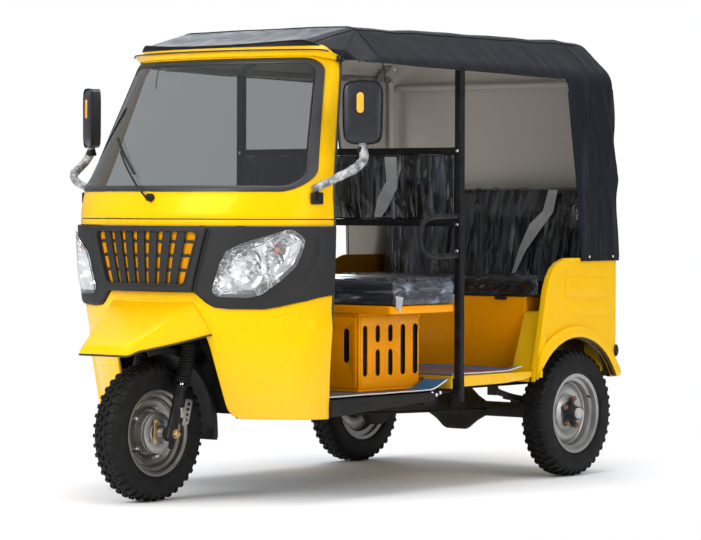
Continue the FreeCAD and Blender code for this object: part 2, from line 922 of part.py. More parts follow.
def rear_floor():
    half = rear_floor_half
    low = rear_floor_z - floor_wall
    inner = wheel_box_inner_x - wheel_box_wall - seat_gap
    outline = [
        (half, rear_floor_front_y), (half, wheel_box_front_y), (inner, wheel_box_front_y),
        (inner, rear_floor_rear_y), (-inner, rear_floor_rear_y), (-inner, wheel_box_front_y),
        (-half, wheel_box_front_y), (-half, rear_floor_front_y)]
    plate = slab_z(outline, 0, low, rear_floor_z)
    skirt = box(half - rear_floor_skirt_wall, half, rear_floor_front_y, wheel_box_front_y,
                rear_floor_z - rear_floor_skirt, rear_floor_z)
    front = box(-half, half, rear_floor_front_y, rear_floor_front_y + floor_wall, low, rear_floor_z)
    notch = box(post_x - post_width / 2 - seat_gap, half + overrun, post_y - post_width / 2 - seat_gap,
                post_y + post_width / 2 + seat_gap, low - rear_floor_skirt, rear_floor_z + overrun)
    body = plate.multiFuse([skirt, skirt.mirror(Vector(0, 0, 0), Vector(1, 0, 0)), front])
    return body.cut(notch).cut(notch.mirror(Vector(0, 0, 0), Vector(1, 0, 0)))


def rear_mat():
    half = post_x - post_width / 2 - mat_inset
    low = rear_floor_z
    wide = box(-half, half, rear_floor_front_y + mat_inset, wheel_box_front_y - mat_inset, low,
        low + mat_wall)
    narrow_half = wheel_box_inner_x - wheel_box_wall - mat_inset
    deep = box(-narrow_half, narrow_half, rear_floor_front_y + mat_inset, bench_front_y - mat_inset,
               low, low + mat_wall)
    return wide.fuse(deep)


# Driver's seat, posts and partition

def seat_box():
    wall = seat_box_wall
    low = front_floor_z
    rear = seat_box_rear_y - seat_gap
    body = box(-seat_box_half, seat_box_half, seat_box_front_y, rear, low, seat_box_top_z)
    body = body.cut(box(
        wall - seat_box_half, seat_box_half - wall, seat_box_front_y + wall, rear - wall, low,
        seat_box_top_z))
    slot_half = seat_slot_width / 2
    slots = []
    for index in range(seat_slot_count):
        y = seat_slot_first_y + index * seat_slot_pitch
        runs = [(seat_slot_low_z, seat_slot_high_z)]
        if index in (1, 2):
            runs = [(seat_slot_low_z, seat_slot_bridge_low_z),
                (seat_slot_bridge_high_z, seat_slot_high_z)]
        for slot_low, slot_high in runs:
            slots.append(slab_x([
                (y - slot_half, slot_low), (y + slot_half, slot_low), (y + slot_half, slot_high),
                (y - slot_half, slot_high)], slot_half - seat_gap,
                -seat_box_half - overrun, seat_box_half + overrun))
    front_slot = slab_y([
        (seat_front_slot_x - slot_half, seat_front_slot_low_z),
        (seat_front_slot_x + slot_half, seat_front_slot_low_z),
        (seat_front_slot_x + slot_half, seat_front_slot_high_z),
        (seat_front_slot_x - slot_half, seat_front_slot_high_z)], slot_half - seat_gap,
        seat_box_front_y - overrun, seat_box_front_y + overrun)
    slots.append(both_sides(front_slot))
    body = body.cut(slots[0].multiFuse(slots[1:]))
    pan = box(-seat_pan_half, seat_pan_half, seat_box_front_y - wall, seat_box_rear_y, seat_box_top_z,
              seat_box_top_z + seat_pan_wall)
    tray = box(wall - seat_pan_half, seat_pan_half - wall, seat_box_front_y, seat_box_rear_y - wall,
               seat_box_top_z + wall, seat_box_top_z + seat_pan_wall)
    return body.fuse(pan.cut(tray))


def driver_cushion():
    low = seat_box_top_z + seat_pan_wall + seat_gap
    return cushion(-seat_cushion_half, seat_cushion_half, seat_cushion_front_y, seat_cushion_rear_y,
                   low, low + seat_cushion_height, cushion_round)


def engine_shape(growth):
    return box(-engine_half - growth, engine_half + growth, engine_front_y - growth,
        engine_rear_y + growth,
               engine_low_z, engine_high_z)


def engine_block():
    """One plain block that stands for the engine and rests on a cross member."""
    return engine_shape(0).cut(chassis_frame())


def post_top_z():
    return side_rail_z


def partition_frame():
    half = post_width / 2
    parts = []
    for side in (-1, 1):
        x = side * post_x
        parts.append(box(x - half, x + half, post_y - half, post_y + half, post_foot_z, post_top_z()))
    for z in bar_z:
        parts.append(box(-post_x, post_x, post_y - bar_width / 2, post_y + bar_width / 2,
                         z - bar_width / 2, z + bar_width / 2))
    rail = rod((side_rail_x, post_y - post_width, side_rail_z),
        (side_rail_x, post_y + post_width, side_rail_z),
               rail_tube_radius + seat_gap)
    cloth = canopy_envelope(0).cut(canopy_envelope(canopy_wall + seat_gap))
    return parts[0].multiFuse(parts[1:]).cut(both_sides(rail)).cut(cloth)


def grab_loops():
    front = post_y
    points = [
        (post_x, front, loop_high_z), (post_x, front - loop_reach, loop_high_z - loop_drop),
        (post_x, front - loop_reach, loop_low_z + loop_drop), (post_x, front, loop_low_z)]
    half = post_width / 2 + seat_gap
    post = box(post_x - half, post_x + half, post_y - half, post_y + half, loop_low_z - half,
        loop_high_z + half)
    return both_sides(tube(points, loop_radius, loop_bend).cut(post))


def partition_pad():
    half = partition_pad_wall / 2
    low = bar_z[0] + bar_width / 2 + seat_gap
    high = bar_z[1] - bar_width / 2 - seat_gap
    reach = post_x - post_width / 2 - seat_gap
    pad = box(-reach, reach, post_y - half, post_y + half, low, high)
    return pad.makeFillet(partition_pad_round, pad.Edges)


# Passenger bench

def bench_box():
    """The bin under the bench, open at the top where the cushion lifts."""
    wall = bench_wall
    low = rear_floor_z + seat_gap
    half = bench_half - wheel_box_wall
    body = box(-half, half, bench_front_y, bench_rear_y, low, bench_top_z)
    return body.cut(box(wall - half, half - wall, bench_front_y + wall, bench_lid_rear_y,
        low + wall, bench_top_z))


def bench_hinge_place():
    """The lid's hinge line in Y and Z."""
    return (bench_front_y - bench_hinge_radius - seat_gap, bench_top_z - bench_hinge_radius)


def bench_hinges():
    y, z = bench_hinge_place()
    half = bench_hinge_length / 2
    barrel = rod((bench_hinge_x - half, y, z), (bench_hinge_x + half, y, z), bench_hinge_radius)
    return both_sides(barrel)


def bench_cushion():
    low = bench_top_z + bench_lift_gap
    return cushion(-bench_cushion_half, bench_cushion_half, bench_cushion_front_y, bench_cushion_rear_y,
                   low, low + bench_cushion_height, cushion_round)


def bench_backrest():
    high_y = backrest_front_y + backrest_lean
    low = bench_top_z + seat_gap
    outline = [
        (backrest_front_y, low), (high_y, backrest_high_z), (high_y + backrest_wall, backrest_high_z),
        (backrest_front_y + backrest_wall, low)]
    return slab_x(outline, backrest_round, -backrest_half, backrest_half)


# Rear body

def tub_profile():
    """The side's outline in Y and Z, with its swept front edge."""
    length = tub_rear_y - tub_front_y
    height = tub_high_z - tub_low_z
    front = [(tub_front_y + length * y, tub_low_z + height * z) for y, z in tub_front_shares]
    return front + [(tub_rear_y + overrun, tub_high_z), (tub_rear_y + overrun, tub_low_z)]


def rear_body():
    half = tub_half_width
    wall = tub_wall
    rear = tub_rear_y
    start = tub_front_y - overrun
    outer = slab_z([(-half, start), (half, start), (half, rear), (-half, rear)],
                   [0, 0, tub_corner_radius, tub_corner_radius], tub_low_z, tub_high_z)
    hollow = slab_z([
        (wall - half, start - overrun), (half - wall, start - overrun), (half - wall, rear - wall),
        (wall - half, rear - wall)], [0, 0, tub_corner_radius - wall, tub_corner_radius - wall],
        tub_low_z - overrun, tub_high_z + overrun)
    body = outer.cut(hollow)
    profile = tub_profile()
    radii = [0] + [tub_front_round] * (len(tub_front_shares) - 2) + [0, 0, 0]
    side = slab_x(profile, radii, -half - overrun, half + overrun)
    body = body.common(side)
    lip_x = half + arch_lip_proud - arch_lip_wall
    lip = rod((half - wall, arch_y, tyre_radius), (half + arch_lip_proud, arch_y, tyre_radius),
              arch_radius + arch_lip_width)
    lip = lip.cut(box(
        half - wall - overrun, half + overrun + arch_lip_proud, arch_y - tub_half_width,
        arch_y + tub_half_width,
        tyre_radius - tub_half_width, tub_low_z))
    lip = lip.makeChamfer(arch_lip_chamfer, [
        edge for edge in lip.Edges
        if edge.Vertexes[0].X > lip_x and isinstance(edge.Curve, Part.Circle)])
    lip = lip.common(side)
    body = body.multiFuse([lip, lip.mirror(Vector(0, 0, 0), Vector(1, 0, 0))])
    reach = half + arch_lip_proud + overrun
    return body.cut(rod((-reach, arch_y, tyre_radius), (reach, arch_y, tyre_radius), arch_radius))


def wheel_boxes():
    wall = wheel_box_wall
    outer_x = tub_half_width - tub_wall - seat_gap
    front = wheel_box_front_y
    low = tub_low_z
    outline = [
        (front, low), (front + wheel_box_slope, wheel_box_top_z), (wheel_box_rear_y, wheel_box_top_z),
        (wheel_box_rear_y, low)]
    hollow = [
        (front + wall, low - overrun), (front + wall, low),
        (front + wheel_box_slope + wall, wheel_box_top_z - wall),
        (wheel_box_rear_y - wall, wheel_box_top_z - wall), (wheel_box_rear_y - wall, low - overrun)]
    body = slab_x(outline, 0, wheel_box_inner_x - wall, outer_x)
    body = body.cut(slab_x(hollow, 0, wheel_box_inner_x, outer_x + overrun))
    return both_sides(body)


def rear_lamps():
    y = tub_rear_y + seat_gap
    lamp = slab_y([
        (rear_lamp_x - rear_lamp_half, rear_lamp_z), (rear_lamp_x + rear_lamp_half, rear_lamp_z),
        (rear_lamp_x + rear_lamp_half, rear_lamp_z + rear_lamp_height),
        (rear_lamp_x - rear_lamp_half, rear_lamp_z + rear_lamp_height)], rear_lamp_round,
        y, y + rear_lamp_proud)
    return both_sides(lamp)


# Canopy and its frame

def canopy_plan(inset):
    """The roof's plan: its front edge follows the visor and widens behind the visor's tips."""
    half = canopy_front_half - inset
    side = canopy_hem_half + overrun
    curve = Part.Ellipse(Vector(0, canopy_side_front_y, 0), half,
        canopy_side_front_y - canopy_front_y - inset)
    front = Part.ArcOfEllipse(curve, math.pi, 2 * math.pi).toShape()
    corner = [
        (half, canopy_side_front_y), (canopy_half - inset, canopy_corner_y),
        (side, canopy_corner_y + overrun),
        (side, canopy_rear_y + overrun), (-side, canopy_rear_y + overrun),
        (-side, canopy_corner_y + overrun),
        (inset - canopy_half, canopy_corner_y), (-half, canopy_side_front_y)]
    rest = Part.makePolygon([Vector(x, y, 0) for x, y in corner])
    face = Part.Face(Part.Wire(Part.sortEdges([front] + rest.Edges)[0]))
    return face.extrude(Vector(0, 0, canopy_crown_z + overrun))


def canopy_envelope(inset):
    half = [
        (canopy_hem_half - inset, canopy_hem_z - inset * 2), (canopy_waist_half - inset, canopy_waist_z),
        (canopy_half - inset, canopy_eave_z), (canopy_shoulder_half, canopy_shoulder_z - inset),
        (0, canopy_crown_z - inset)]
    radii = [0, 0, canopy_eave_round, canopy_shoulder_round, 0, canopy_shoulder_round,
        canopy_eave_round, 0, 0]
    front = slab_y(mirrored_outline(half), radii, canopy_front_y - overrun, canopy_rear_y + overrun)
    side = slab_x([
        (canopy_front_y - overrun, canopy_hem_z - inset * 2),
        (canopy_front_y - overrun, canopy_front_z - inset),
        (canopy_slope_y, canopy_bow_z - inset), (post_y, canopy_crown_z - inset),
        (canopy_rear_top_y - inset, canopy_crown_z - inset),
        (canopy_rear_y - inset, canopy_hem_z - inset * 2)],
        [0, 0, canopy_slope_round, 0, canopy_rear_round, 0],
        -canopy_hem_half - overrun, canopy_hem_half + overrun)
    return front.common(side).common(canopy_plan(inset))


def canopy():
    """One cloth skin over the roof, the rear and the rear quarters, open at the doors."""
    body = canopy_envelope(0).cut(canopy_envelope(canopy_wall))
    doorway = slab_x([
        (nose_y - overrun, canopy_hem_z - overrun), (nose_y - overrun, valance_front_z),
        (canopy_side_front_y, valance_front_z), (curtain_top_y, valance_rear_z),
        (curtain_mid_y, canopy_waist_z), (curtain_low_y, canopy_hem_z - overrun)], 0,
        -canopy_hem_half - overrun, canopy_hem_half + overrun)
    levels = []
    for height in (valance_rear_z, visor_bottom_z, visor_top_z + seat_gap):
        z, half_width, edge_y, front_y = visor_level(height)
        levels.append((z, half_width, edge_y + canopy_cab_gap, front_y))
    return body.cut(doorway).cut(filled_shell(levels, visor_proud + seat_gap))


def roof_frame():
    radius = rail_tube_radius
    parts = []
    for side in (-1, 1):
        parts.append(tube([
            (side * side_rail_front_x, side_rail_front_y, side_rail_front_z),
            (side * side_rail_x, bow_y[0] - rail_tube_radius, side_rail_z),
            (side * side_rail_x, side_rail_rear_y, side_rail_z),
            (side * rear_post_foot_x, side_rail_rear_y + overrun, rear_post_foot_z)], radius,
            bow_bend / 2))
    foot_z = side_rail_z - radius / 2
    for y in bow_y:
        parts.append(tube([
            (-side_rail_x, y, foot_z), (-bow_half, y, bow_z), (bow_half, y, bow_z),
            (side_rail_x, y, foot_z)], radius, bow_bend))
    frame = parts[0]
    for part in parts[1:]:
        frame = frame.fuse(part)
    return frame


# Mirrors

def mirror_heads():
    half = mirror_width / 2
    low = mirror_z - mirror_height / 2
    head = slab_y([
        (mirror_x - half, low), (mirror_x + half, low), (mirror_x + half, low + mirror_height),
        (mirror_x - half, low + mirror_height)], mirror_round, mirror_y - mirror_wall / 2,
        mirror_y + mirror_wall / 2)
    front = [edge for edge in head.Edges if edge.BoundBox.YMax < mirror_y]
    head = head.makeFillet(mirror_edge_round, front)
    head.rotate(Vector(mirror_x, mirror_y, 0), Vector(0, 0, 1), mirror_turn_deg)
    return both_sides(head)


def mirror_arms():
    low = mirror_z - mirror_height / 2 - seat_gap
    arm = tube([mirror_foot, mirror_knee, (mirror_x, mirror_y, low - mirror_bracket),
        (mirror_x, mirror_y, low)],
               mirror_arm_radius, mirror_bracket / 2)
    x, y, z = mirror_foot
    half = mirror_bracket / 2
    bracket = box(x - half, x + mirror_arm_radius, y - half, y + half, z - half, z + half)
    bracket = bracket.cut(filled_shell(screen_levels(), seat_gap))
    return both_sides(arm.cut(filled_shell(screen_levels(), seat_gap)).fuse(bracket))


# Rear axle, springs and drive

def rear_axle():
    """The axle tube with its differential housing, brake drums and stub shafts, turned as one."""
    drum_x = axle_half - brake_drum_width
    half = [
        (diff_flat_half, diff_radius), (diff_radius, diff_shoulder_radius),
        (diff_cone_half, axle_radius),
        (drum_x, axle_radius), (drum_x, brake_drum_radius - rim_wall),
        (drum_x + rim_wall, brake_drum_radius),
        (axle_half, brake_drum_radius), (axle_half, stub_radius), (stub_end_x, stub_radius),
        (stub_end_x, 0)]
    outline = [(-x, r) for x, r in reversed(half)] + half
    axle = revolve_x(outline)
    axle.translate(Vector(0, wheelbase, tyre_radius))
    return axle


def leaf_springs():
    """Packs of curved leaves on one centre, longest on top, clamped over the axle."""
    base_z = tyre_radius + axle_radius + seat_gap
    radius = spring_length ** 2 / (8 * spring_rise) + spring_rise / 2
    half_width = spring_leaf_width / 2
    x0 = rail_x - half_width
    x1 = rail_x + half_width
    centre_z = base_z + radius
    parts = []
    for index in range(spring_leaf_count):
        half = (spring_length - spring_leaf_step * (spring_leaf_count - 1 - index)) / 2
        outer = radius - spring_leaf_wall * index
        ring = rod((x0, wheelbase, centre_z), (x1, wheelbase, centre_z), outer).cut(
            rod((x0, wheelbase, centre_z), (x1, wheelbase, centre_z), outer - spring_leaf_wall))
        parts.append(ring.common(box(
            x0, x1, wheelbase - half, wheelbase + half, base_z - overrun,
            base_z + spring_rise + overrun)))
    pack = parts[0].multiFuse(parts[1:])
    top = base_z + spring_leaf_wall * spring_leaf_count
    clamp = box(x0 - u_bolt_radius, x1 + u_bolt_radius, wheelbase - axle_radius, wheelbase + axle_radius,
                top - spring_leaf_wall / 2, top + spring_leaf_wall)
    posts = []
    for y in (wheelbase - spring_length / 2, wheelbase + spring_length / 2 - 2 * spring_leaf_wall):
        posts.append(box(x0, x1, y, y + 2 * spring_leaf_wall,
                         base_z + spring_rise, rail_rear_low_z - seat_gap))
    return both_sides(pack.multiFuse([clamp] + posts))


def prop_shaft():
    shaft = rod((0, engine_rear_y, engine_low_z + shaft_radius), (0, wheelbase, tyre_radius),
        shaft_radius)
    housing = rod((-diff_cone_half, wheelbase, tyre_radius), (diff_cone_half, wheelbase, tyre_radius),
                  diff_radius + seat_gap)
    return shaft.cut(engine_shape(seat_gap)).cut(housing)


def muffler():
    can = rod((muffler_x, muffler_front_y, muffler_z), (muffler_x, muffler_front_y + muffler_length,
        muffler_z),
              muffler_radius)
    pipe = rod((muffler_x, engine_front_y, muffler_z), (muffler_x, muffler_front_y, muffler_z),
        pipe_radius)
    link = rod((muffler_x, engine_front_y, muffler_z), (-engine_half - seat_gap, engine_front_y,
        muffler_z),
               pipe_radius)
    hanger_y = muffler_front_y + muffler_length / 2
    hanger = box(muffler_x - pipe_radius, muffler_x + pipe_radius, rear_cross_y[0],
        rear_cross_y[0] + cross_width,
                 muffler_z, rear_floor_z - floor_wall - cross_height - seat_gap)
    return can.multiFuse([pipe, link.common(box(
        muffler_x, -engine_half, engine_front_y - hanger_y, engine_front_y + hanger_y,
        muffler_z - muffler_radius, muffler_z + muffler_radius)), hanger])


def brake_rod():
    lug = box(rod_x - rod_radius, rod_x + rod_radius, pedal_lug_y, pedal_lug_y + cross_width,
              rod_z, front_floor_z - floor_wall - cross_height - seat_gap)
    bar = rod((rod_x, pedal_lug_y, rod_z), (rod_x, wheelbase - axle_radius - seat_gap, tyre_radius),
        rod_radius)
    return bar.fuse(lug)


# Fork and steering

def leg_point(distance, side):
    """A point up one fork leg, measured from the axle."""
    return steering_point(distance, -steering_offset, side * leg_x)


def fork():
    parts = [rod((-leg_x, 0, tyre_radius), (leg_x, 0, tyre_radius), axle_pin_radius)]
    for side in (-1, 1):
        parts.append(rod(leg_point(-leg_radius, side), leg_point(leg_slider_length, side), leg_radius))
        parts.append(rod(leg_point(leg_slider_length, side), leg_point(leg_length, side),
            leg_rod_radius))
        end = side * (leg_x + leg_radius + axle_nut_wall)
        parts.append(rod((side * leg_x, 0, tyre_radius), (end, 0, tyre_radius), axle_nut_radius))
    parts.append(yoke(yoke_low))
    parts.append(along_steering(yoke_low, head_start() + head_length + yoke_wall, column_radius))
    parts.append(along_steering(yoke_low, stem_top, stem_radius))
    parts.append(rod((leg_x, 0, tyre_radius), (brake_plate_x + front_hub_reach(), 0, tyre_radius),
                     brake_plate_radius / 2))
    parts.append(rod((brake_plate_x + front_hub_reach(), 0, tyre_radius),
                     (brake_plate_x + front_hub_reach() + brake_plate_wall, 0, tyre_radius),
                     brake_plate_radius))
    return parts[0].multiFuse(parts[1:])


def front_hub_reach():
    return head_gap + seat_gap


def yoke(distance):
    rake = math.radians(rake_deg)
    half = leg_x + leg_radius
    front = -steering_offset - leg_radius
    corners = [
        steering_point(distance, front, -half), steering_point(distance, front, half),
        steering_point(distance, front + yoke_depth, half),
        steering_point(distance, column_radius + leg_radius, 0),
        steering_point(distance, front + yoke_depth, -half)]
    wire = Part.makePolygon([Vector(*corner) for corner in corners + [corners[0]]])
    lift = Vector(0, yoke_wall * math.sin(rake), yoke_wall * math.cos(rake))
    return Part.Face(wire).extrude(lift)


def fork_springs():
    """Coils round the bright rods, as stacked rings that touch."""
    coil_low = leg_slider_length + seat_gap
    high = yoke_low - seat_gap
    pitch = (high - coil_low) / coil_turns
    outline = [Vector(leg_rod_radius + seat_gap, 0, coil_low)]
    for index in range(coil_turns):
        low = coil_low + pitch * index
        outline.append(Vector(coil_valley_radius, 0, low))
        outline.append(Vector(coil_radius, 0, low + pitch / 2))
    outline.append(Vector(coil_valley_radius, 0, high))
    outline.append(Vector(leg_rod_radius + seat_gap, 0, high))
    coil = faceted_ring([(point.z, point.x) for point in outline], coil_facets)
    coil.rotate(Vector(0, 0, 0), Vector(0, 1, 0), -90)
    coil.rotate(Vector(0, 0, 0), Vector(1, 0, 0), -rake_deg)
    coil.translate(Vector(leg_x, 0, tyre_radius))
    return both_sides(coil)


def handlebar():
    x, y, z = steering_point(stem_top)
    bar = tube([
        (-bar_half, y + bar_back, z + bar_rise), (-bar_half / 2, y + seat_gap, z),
        (bar_half / 2, y + seat_gap, z),
        (bar_half, y + bar_back, z + bar_rise)], bar_radius, bar_back)
    set_half = headset_wall / 2
    headset = box(-headset_half, headset_half, y - set_half, y + set_half, z - set_half, z + set_half)
    return headset.makeFillet(headset_round, headset.Edges).fuse(bar).cut(along_steering(
        0, stem_top + running_fit, stem_radius + running_fit))


def handlebar_grips():
    x, y, z = steering_point(stem_top)
    outer = Vector(bar_half, y + bar_back, z + bar_rise)
    along = (outer - Vector(bar_half / 2, y + seat_gap, z)).normalize()
    start = outer - along * grip_length
    grip = Part.makeCylinder(grip_radius, grip_length + grip_radius, start, along)
    hole = Part.makeCylinder(bar_radius + seat_gap, grip_length + seat_gap, start, along)
    return both_sides(grip.cut(hole))


def front_mudguard():
    """A narrow inner guard that turns with the wheel, from its front top to its low rear."""
    outer = guard_radius + guard_wall
    section = [
        (-guard_half, guard_radius - guard_lip), (-guard_half, outer), (guard_half, outer),
        (guard_half, guard_radius - guard_lip), (guard_half - guard_wall, guard_radius - guard_lip),
        (guard_half - guard_wall, guard_radius), (guard_wall - guard_half, guard_radius),
        (guard_wall - guard_half, guard_radius - guard_lip)]
    face = Part.Face(Part.makePolygon([Vector(x, r, 0) for x, r in section + [section[0]]]))
    sweep = guard_end_deg - guard_start_deg
    guard = face.revolve(Vector(0, 0, 0), Vector(1, 0, 0), sweep)
    guard.rotate(Vector(0, 0, 0), Vector(1, 0, 0), guard_start_deg)
    guard.translate(Vector(0, 0, tyre_radius))
    low = steering_point(guard_radius - guard_wall, -steering_offset)
    stand = rod(low, steering_point(yoke_low - seat_gap, -steering_offset), column_radius)
    hollow = rod((-guard_half, 0, tyre_radius), (guard_half, 0, tyre_radius),
        guard_radius + guard_wall / 2)
    return guard.fuse(stand.cut(hollow))


# Wheels, made about the X axis and moved to their places

def faceted_ring(outline, count):
    """A ring about the X axis with flat facets, one of its corners straight down."""
    rings = []
    for index in range(count):
        angle = 2 * math.pi * index / count
        rings.append([Vector(x, r * math.sin(angle), -r * math.cos(angle)) for x, r in outline])
    faces = []
    for index, ring in enumerate(rings):
        after = rings[(index + 1) % count]
        for corner in range(len(outline)):
            end = (corner + 1) % len(outline)
            faces.append(Part.Face(Part.makePolygon([
                ring[corner], ring[end], after[end], after[corner], ring[corner]])))
    return Part.makeSolid(Part.makeShell(faces))


def revolve_x(outline):
    points = [Vector(x, r, 0) for x, r in outline]
    face = Part.Face(Part.makePolygon(points + [points[0]]))
    return face.revolve(Vector(0, 0, 0), Vector(1, 0, 0), 360)


def tyre():
    half = tyre_width / 2
    bead = bead_radius + seat_gap
    inner = tyre_carcass
    return faceted_ring([
        (-tyre_bead_half + inner, bead), (-tyre_bead_half, bead),
        (-tyre_bead_half - seat_gap, flange_radius + inner),
        (-half, tyre_side_radius), (-half + seat_gap, tyre_radius - 2 * tyre_shoulder_drop),
        (-tyre_shoulder_half, tyre_radius - seat_gap), (0, tyre_radius),
        (tyre_shoulder_half, tyre_radius - seat_gap),
        (half - seat_gap, tyre_radius - 2 * tyre_shoulder_drop), (half, tyre_side_radius),
        (tyre_bead_half + seat_gap, flange_radius + inner), (tyre_bead_half, bead),
        (tyre_bead_half - inner, bead), (half - inner, tyre_side_radius),
        (tyre_shoulder_half - seat_gap, tyre_radius - 2 * inner),
        (seat_gap - tyre_shoulder_half, tyre_radius - 2 * inner),
        (inner - half, tyre_side_radius)], tyre_facets)


def rim_barrel():
    wall = rim_wall
    well = rim_half / 2
    return revolve_x([
        (-rim_half, flange_radius), (-rim_half + wall / 2, flange_radius),
        (-rim_half + wall / 2, bead_radius),
        (-well - wall, bead_radius - wall / 2), (-well, rim_well_radius), (well, rim_well_radius),
        (well + wall, bead_radius - wall / 2), (rim_half - wall / 2, bead_radius),
        (rim_half - wall / 2, flange_radius), (rim_half, flange_radius), (rim_half, bead_radius - wall),
        (well + wall, bead_radius - 2 * wall), (well, rim_well_radius - wall),
        (-well, rim_well_radius - wall),
        (-well - wall, bead_radius - 2 * wall), (-rim_half, bead_radius - wall)])


def front_rim():
    disc = revolve_x([
        (-disc_wall / 2, hub_radius - rim_wall), (disc_wall / 2, hub_radius - rim_wall),
        (disc_wall / 2, front_drum_radius), (disc_offset, front_drum_radius + disc_offset),
        (disc_offset, rim_well_radius - rim_wall / 2), (disc_offset - disc_wall,
        rim_well_radius - rim_wall / 2),
        (disc_offset - disc_wall, front_drum_radius + disc_offset), (-disc_wall / 2, front_drum_radius)])
    hub = rod((-hub_half, 0, 0), (hub_half, 0, 0), hub_radius)
    body = rim_barrel().multiFuse([disc, hub])
    return body.cut(rod((-overrun - hub_half, 0, 0), (hub_half + overrun, 0, 0),
        axle_pin_radius + running_fit))


def rear_rim():
    """A dished disc wheel with its hub, outer face towards +X."""
    face_x = disc_offset
    disc = revolve_x([
        (face_x - disc_wall, 0), (face_x, 0), (face_x, rear_hub_radius + disc_offset),
        (face_x - disc_offset, rim_well_radius - disc_offset), (face_x, rim_well_radius - rim_wall / 2),
        (face_x - disc_wall, rim_well_radius - rim_wall / 2),
        (face_x - disc_offset - disc_wall, rim_well_radius - disc_offset),
        (face_x - disc_wall, rear_hub_radius + disc_offset)])
    hub = rod((-hub_half, 0, 0), (face_x + rear_hub_reach, 0, 0), rear_hub_radius)
    cap = rod((face_x + rear_hub_reach, 0, 0), (face_x + rear_hub_reach + hub_cap_reach, 0, 0),
        hub_cap_radius)
    body = rim_barrel().multiFuse([disc, hub, cap])
    stub = stub_end_x - rear_track / 2
    return body.cut(rod((-hub_half - overrun, 0, 0), (stub + running_fit, 0, 0),
        stub_radius + running_fit))


def placed(shape, x, y, mirrored=False):
    shape = shape.copy()
    if mirrored:
        shape = shape.mirror(Vector(0, 0, 0), Vector(1, 0, 0))
    shape.translate(Vector(x, y, tyre_radius))
    return shape


def build():
    half_track = rear_track / 2
    nodes = {
        "front_mask": front_mask(), "front_panel": front_panel(), "grille_back": grille_back(),
        "headlamp_bowls": headlamp_bowls(), "headlamp_lenses": headlamp_lenses(),
        "front_beak": front_beak(),
        "screen_frame": screen_frame(), "screen_seal": screen_seal(), "screen_glass": screen_glass(),
        "roof_visor": roof_visor(), "wiper": wiper(), "wheelhouse": wheelhouse(),
        "dashboard": dashboard(),
        "chassis_frame": chassis_frame(), "steering_head": steering_head(), "sill_beams": sill_beams(),
        "front_floor": front_floor(), "front_mat": front_mat(), "rear_floor": rear_floor(),
        "rear_mat": rear_mat(), "seat_box": seat_box(),
        "driver_cushion": driver_cushion(), "engine_block": engine_block(),
        "partition_frame": partition_frame(), "grab_loops": grab_loops(),
        "partition_pad": partition_pad(),
        "bench_box": bench_box(), "bench_hinges": bench_hinges(), "bench_cushion": bench_cushion(),
        "bench_backrest": bench_backrest(),
        "rear_body": rear_body(), "wheel_boxes": wheel_boxes(), "rear_lamps": rear_lamps(),
        "canopy": canopy(),
        "roof_frame": roof_frame(), "mirror_heads": mirror_heads(), "mirror_arms": mirror_arms(),
        "rear_axle": rear_axle(), "leaf_springs": leaf_springs(), "prop_shaft": prop_shaft(),
        "muffler": muffler(), "brake_rod": brake_rod(), "fork": fork(), "fork_springs": fork_springs(),
        "handlebar": handlebar(), "handlebar_grips": handlebar_grips(),
        "front_mudguard": front_mudguard(),
        "front_rim": placed(front_rim(), 0, 0), "front_tyre": placed(tyre(), 0, 0),
        "rear_rim_left": placed(rear_rim(), half_track, wheelbase),
        "rear_tyre_left": placed(tyre(), half_track, wheelbase),
        "rear_rim_right": placed(rear_rim(), -half_track, wheelbase, True),
        "rear_tyre_right": placed(tyre(), -half_track, wheelbase, True)}
    os.makedirs("parts", exist_ok=True)
    rear = tub_rear_y + seat_gap + rear_lamp_proud
    centre_y = (rear - tyre_radius) / 2
    for name, shape in nodes.items():
        shape.translate(Vector(0, -centre_y, 0))
        shape.exportStep("parts/" + name + ".step")
        low, high = shape.BoundBox, shape.BoundBox
        print(name, len(shape.Solids), shape.isValid(), round(shape.Volume / 1000),
              [round(v) for v in (low.XMin, low.YMin, low.ZMin, high.XMax, high.YMax, high.ZMax)])


build()
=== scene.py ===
import json
import math

import bpy
import numpy
from mathutils import Matrix, Quaternion, Vector, noise


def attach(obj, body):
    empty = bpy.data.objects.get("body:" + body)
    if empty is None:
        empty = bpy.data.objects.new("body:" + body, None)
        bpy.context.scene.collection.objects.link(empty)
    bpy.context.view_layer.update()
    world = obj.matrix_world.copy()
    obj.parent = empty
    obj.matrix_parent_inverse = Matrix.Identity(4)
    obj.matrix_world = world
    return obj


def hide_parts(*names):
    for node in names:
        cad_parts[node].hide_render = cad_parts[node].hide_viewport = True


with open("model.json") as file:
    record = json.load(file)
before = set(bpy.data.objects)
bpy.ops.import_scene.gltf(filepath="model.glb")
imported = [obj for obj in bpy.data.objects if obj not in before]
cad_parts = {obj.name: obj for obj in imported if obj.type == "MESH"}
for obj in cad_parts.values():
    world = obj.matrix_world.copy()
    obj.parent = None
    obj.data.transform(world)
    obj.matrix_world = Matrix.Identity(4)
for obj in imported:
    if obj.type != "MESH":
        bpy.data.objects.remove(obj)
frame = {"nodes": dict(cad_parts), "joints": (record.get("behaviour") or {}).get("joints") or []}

# A passenger three-wheeler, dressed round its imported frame. All lengths are in metres, the
# front faces -Y, +X is the vehicle's left and Z = 0 is the floor. Places along the vehicle
# that are called "behind the front axle" are turned into the frame's Y by along().

bl_info = {
    "name": "Passenger three-wheeler",
    "version": (1, 0, 0),
    "blender": (4, 5, 0),
    "location": "View3D > Sidebar > Three-wheeler",
    "description": "Builds the bodywork, wheels, seats and roof of a passenger three-wheeler",
    "category": "Object",
}


def joint_place(name):
    return Vector(next(joint["pos_m"] for joint in frame["joints"] if joint["name"] == name))


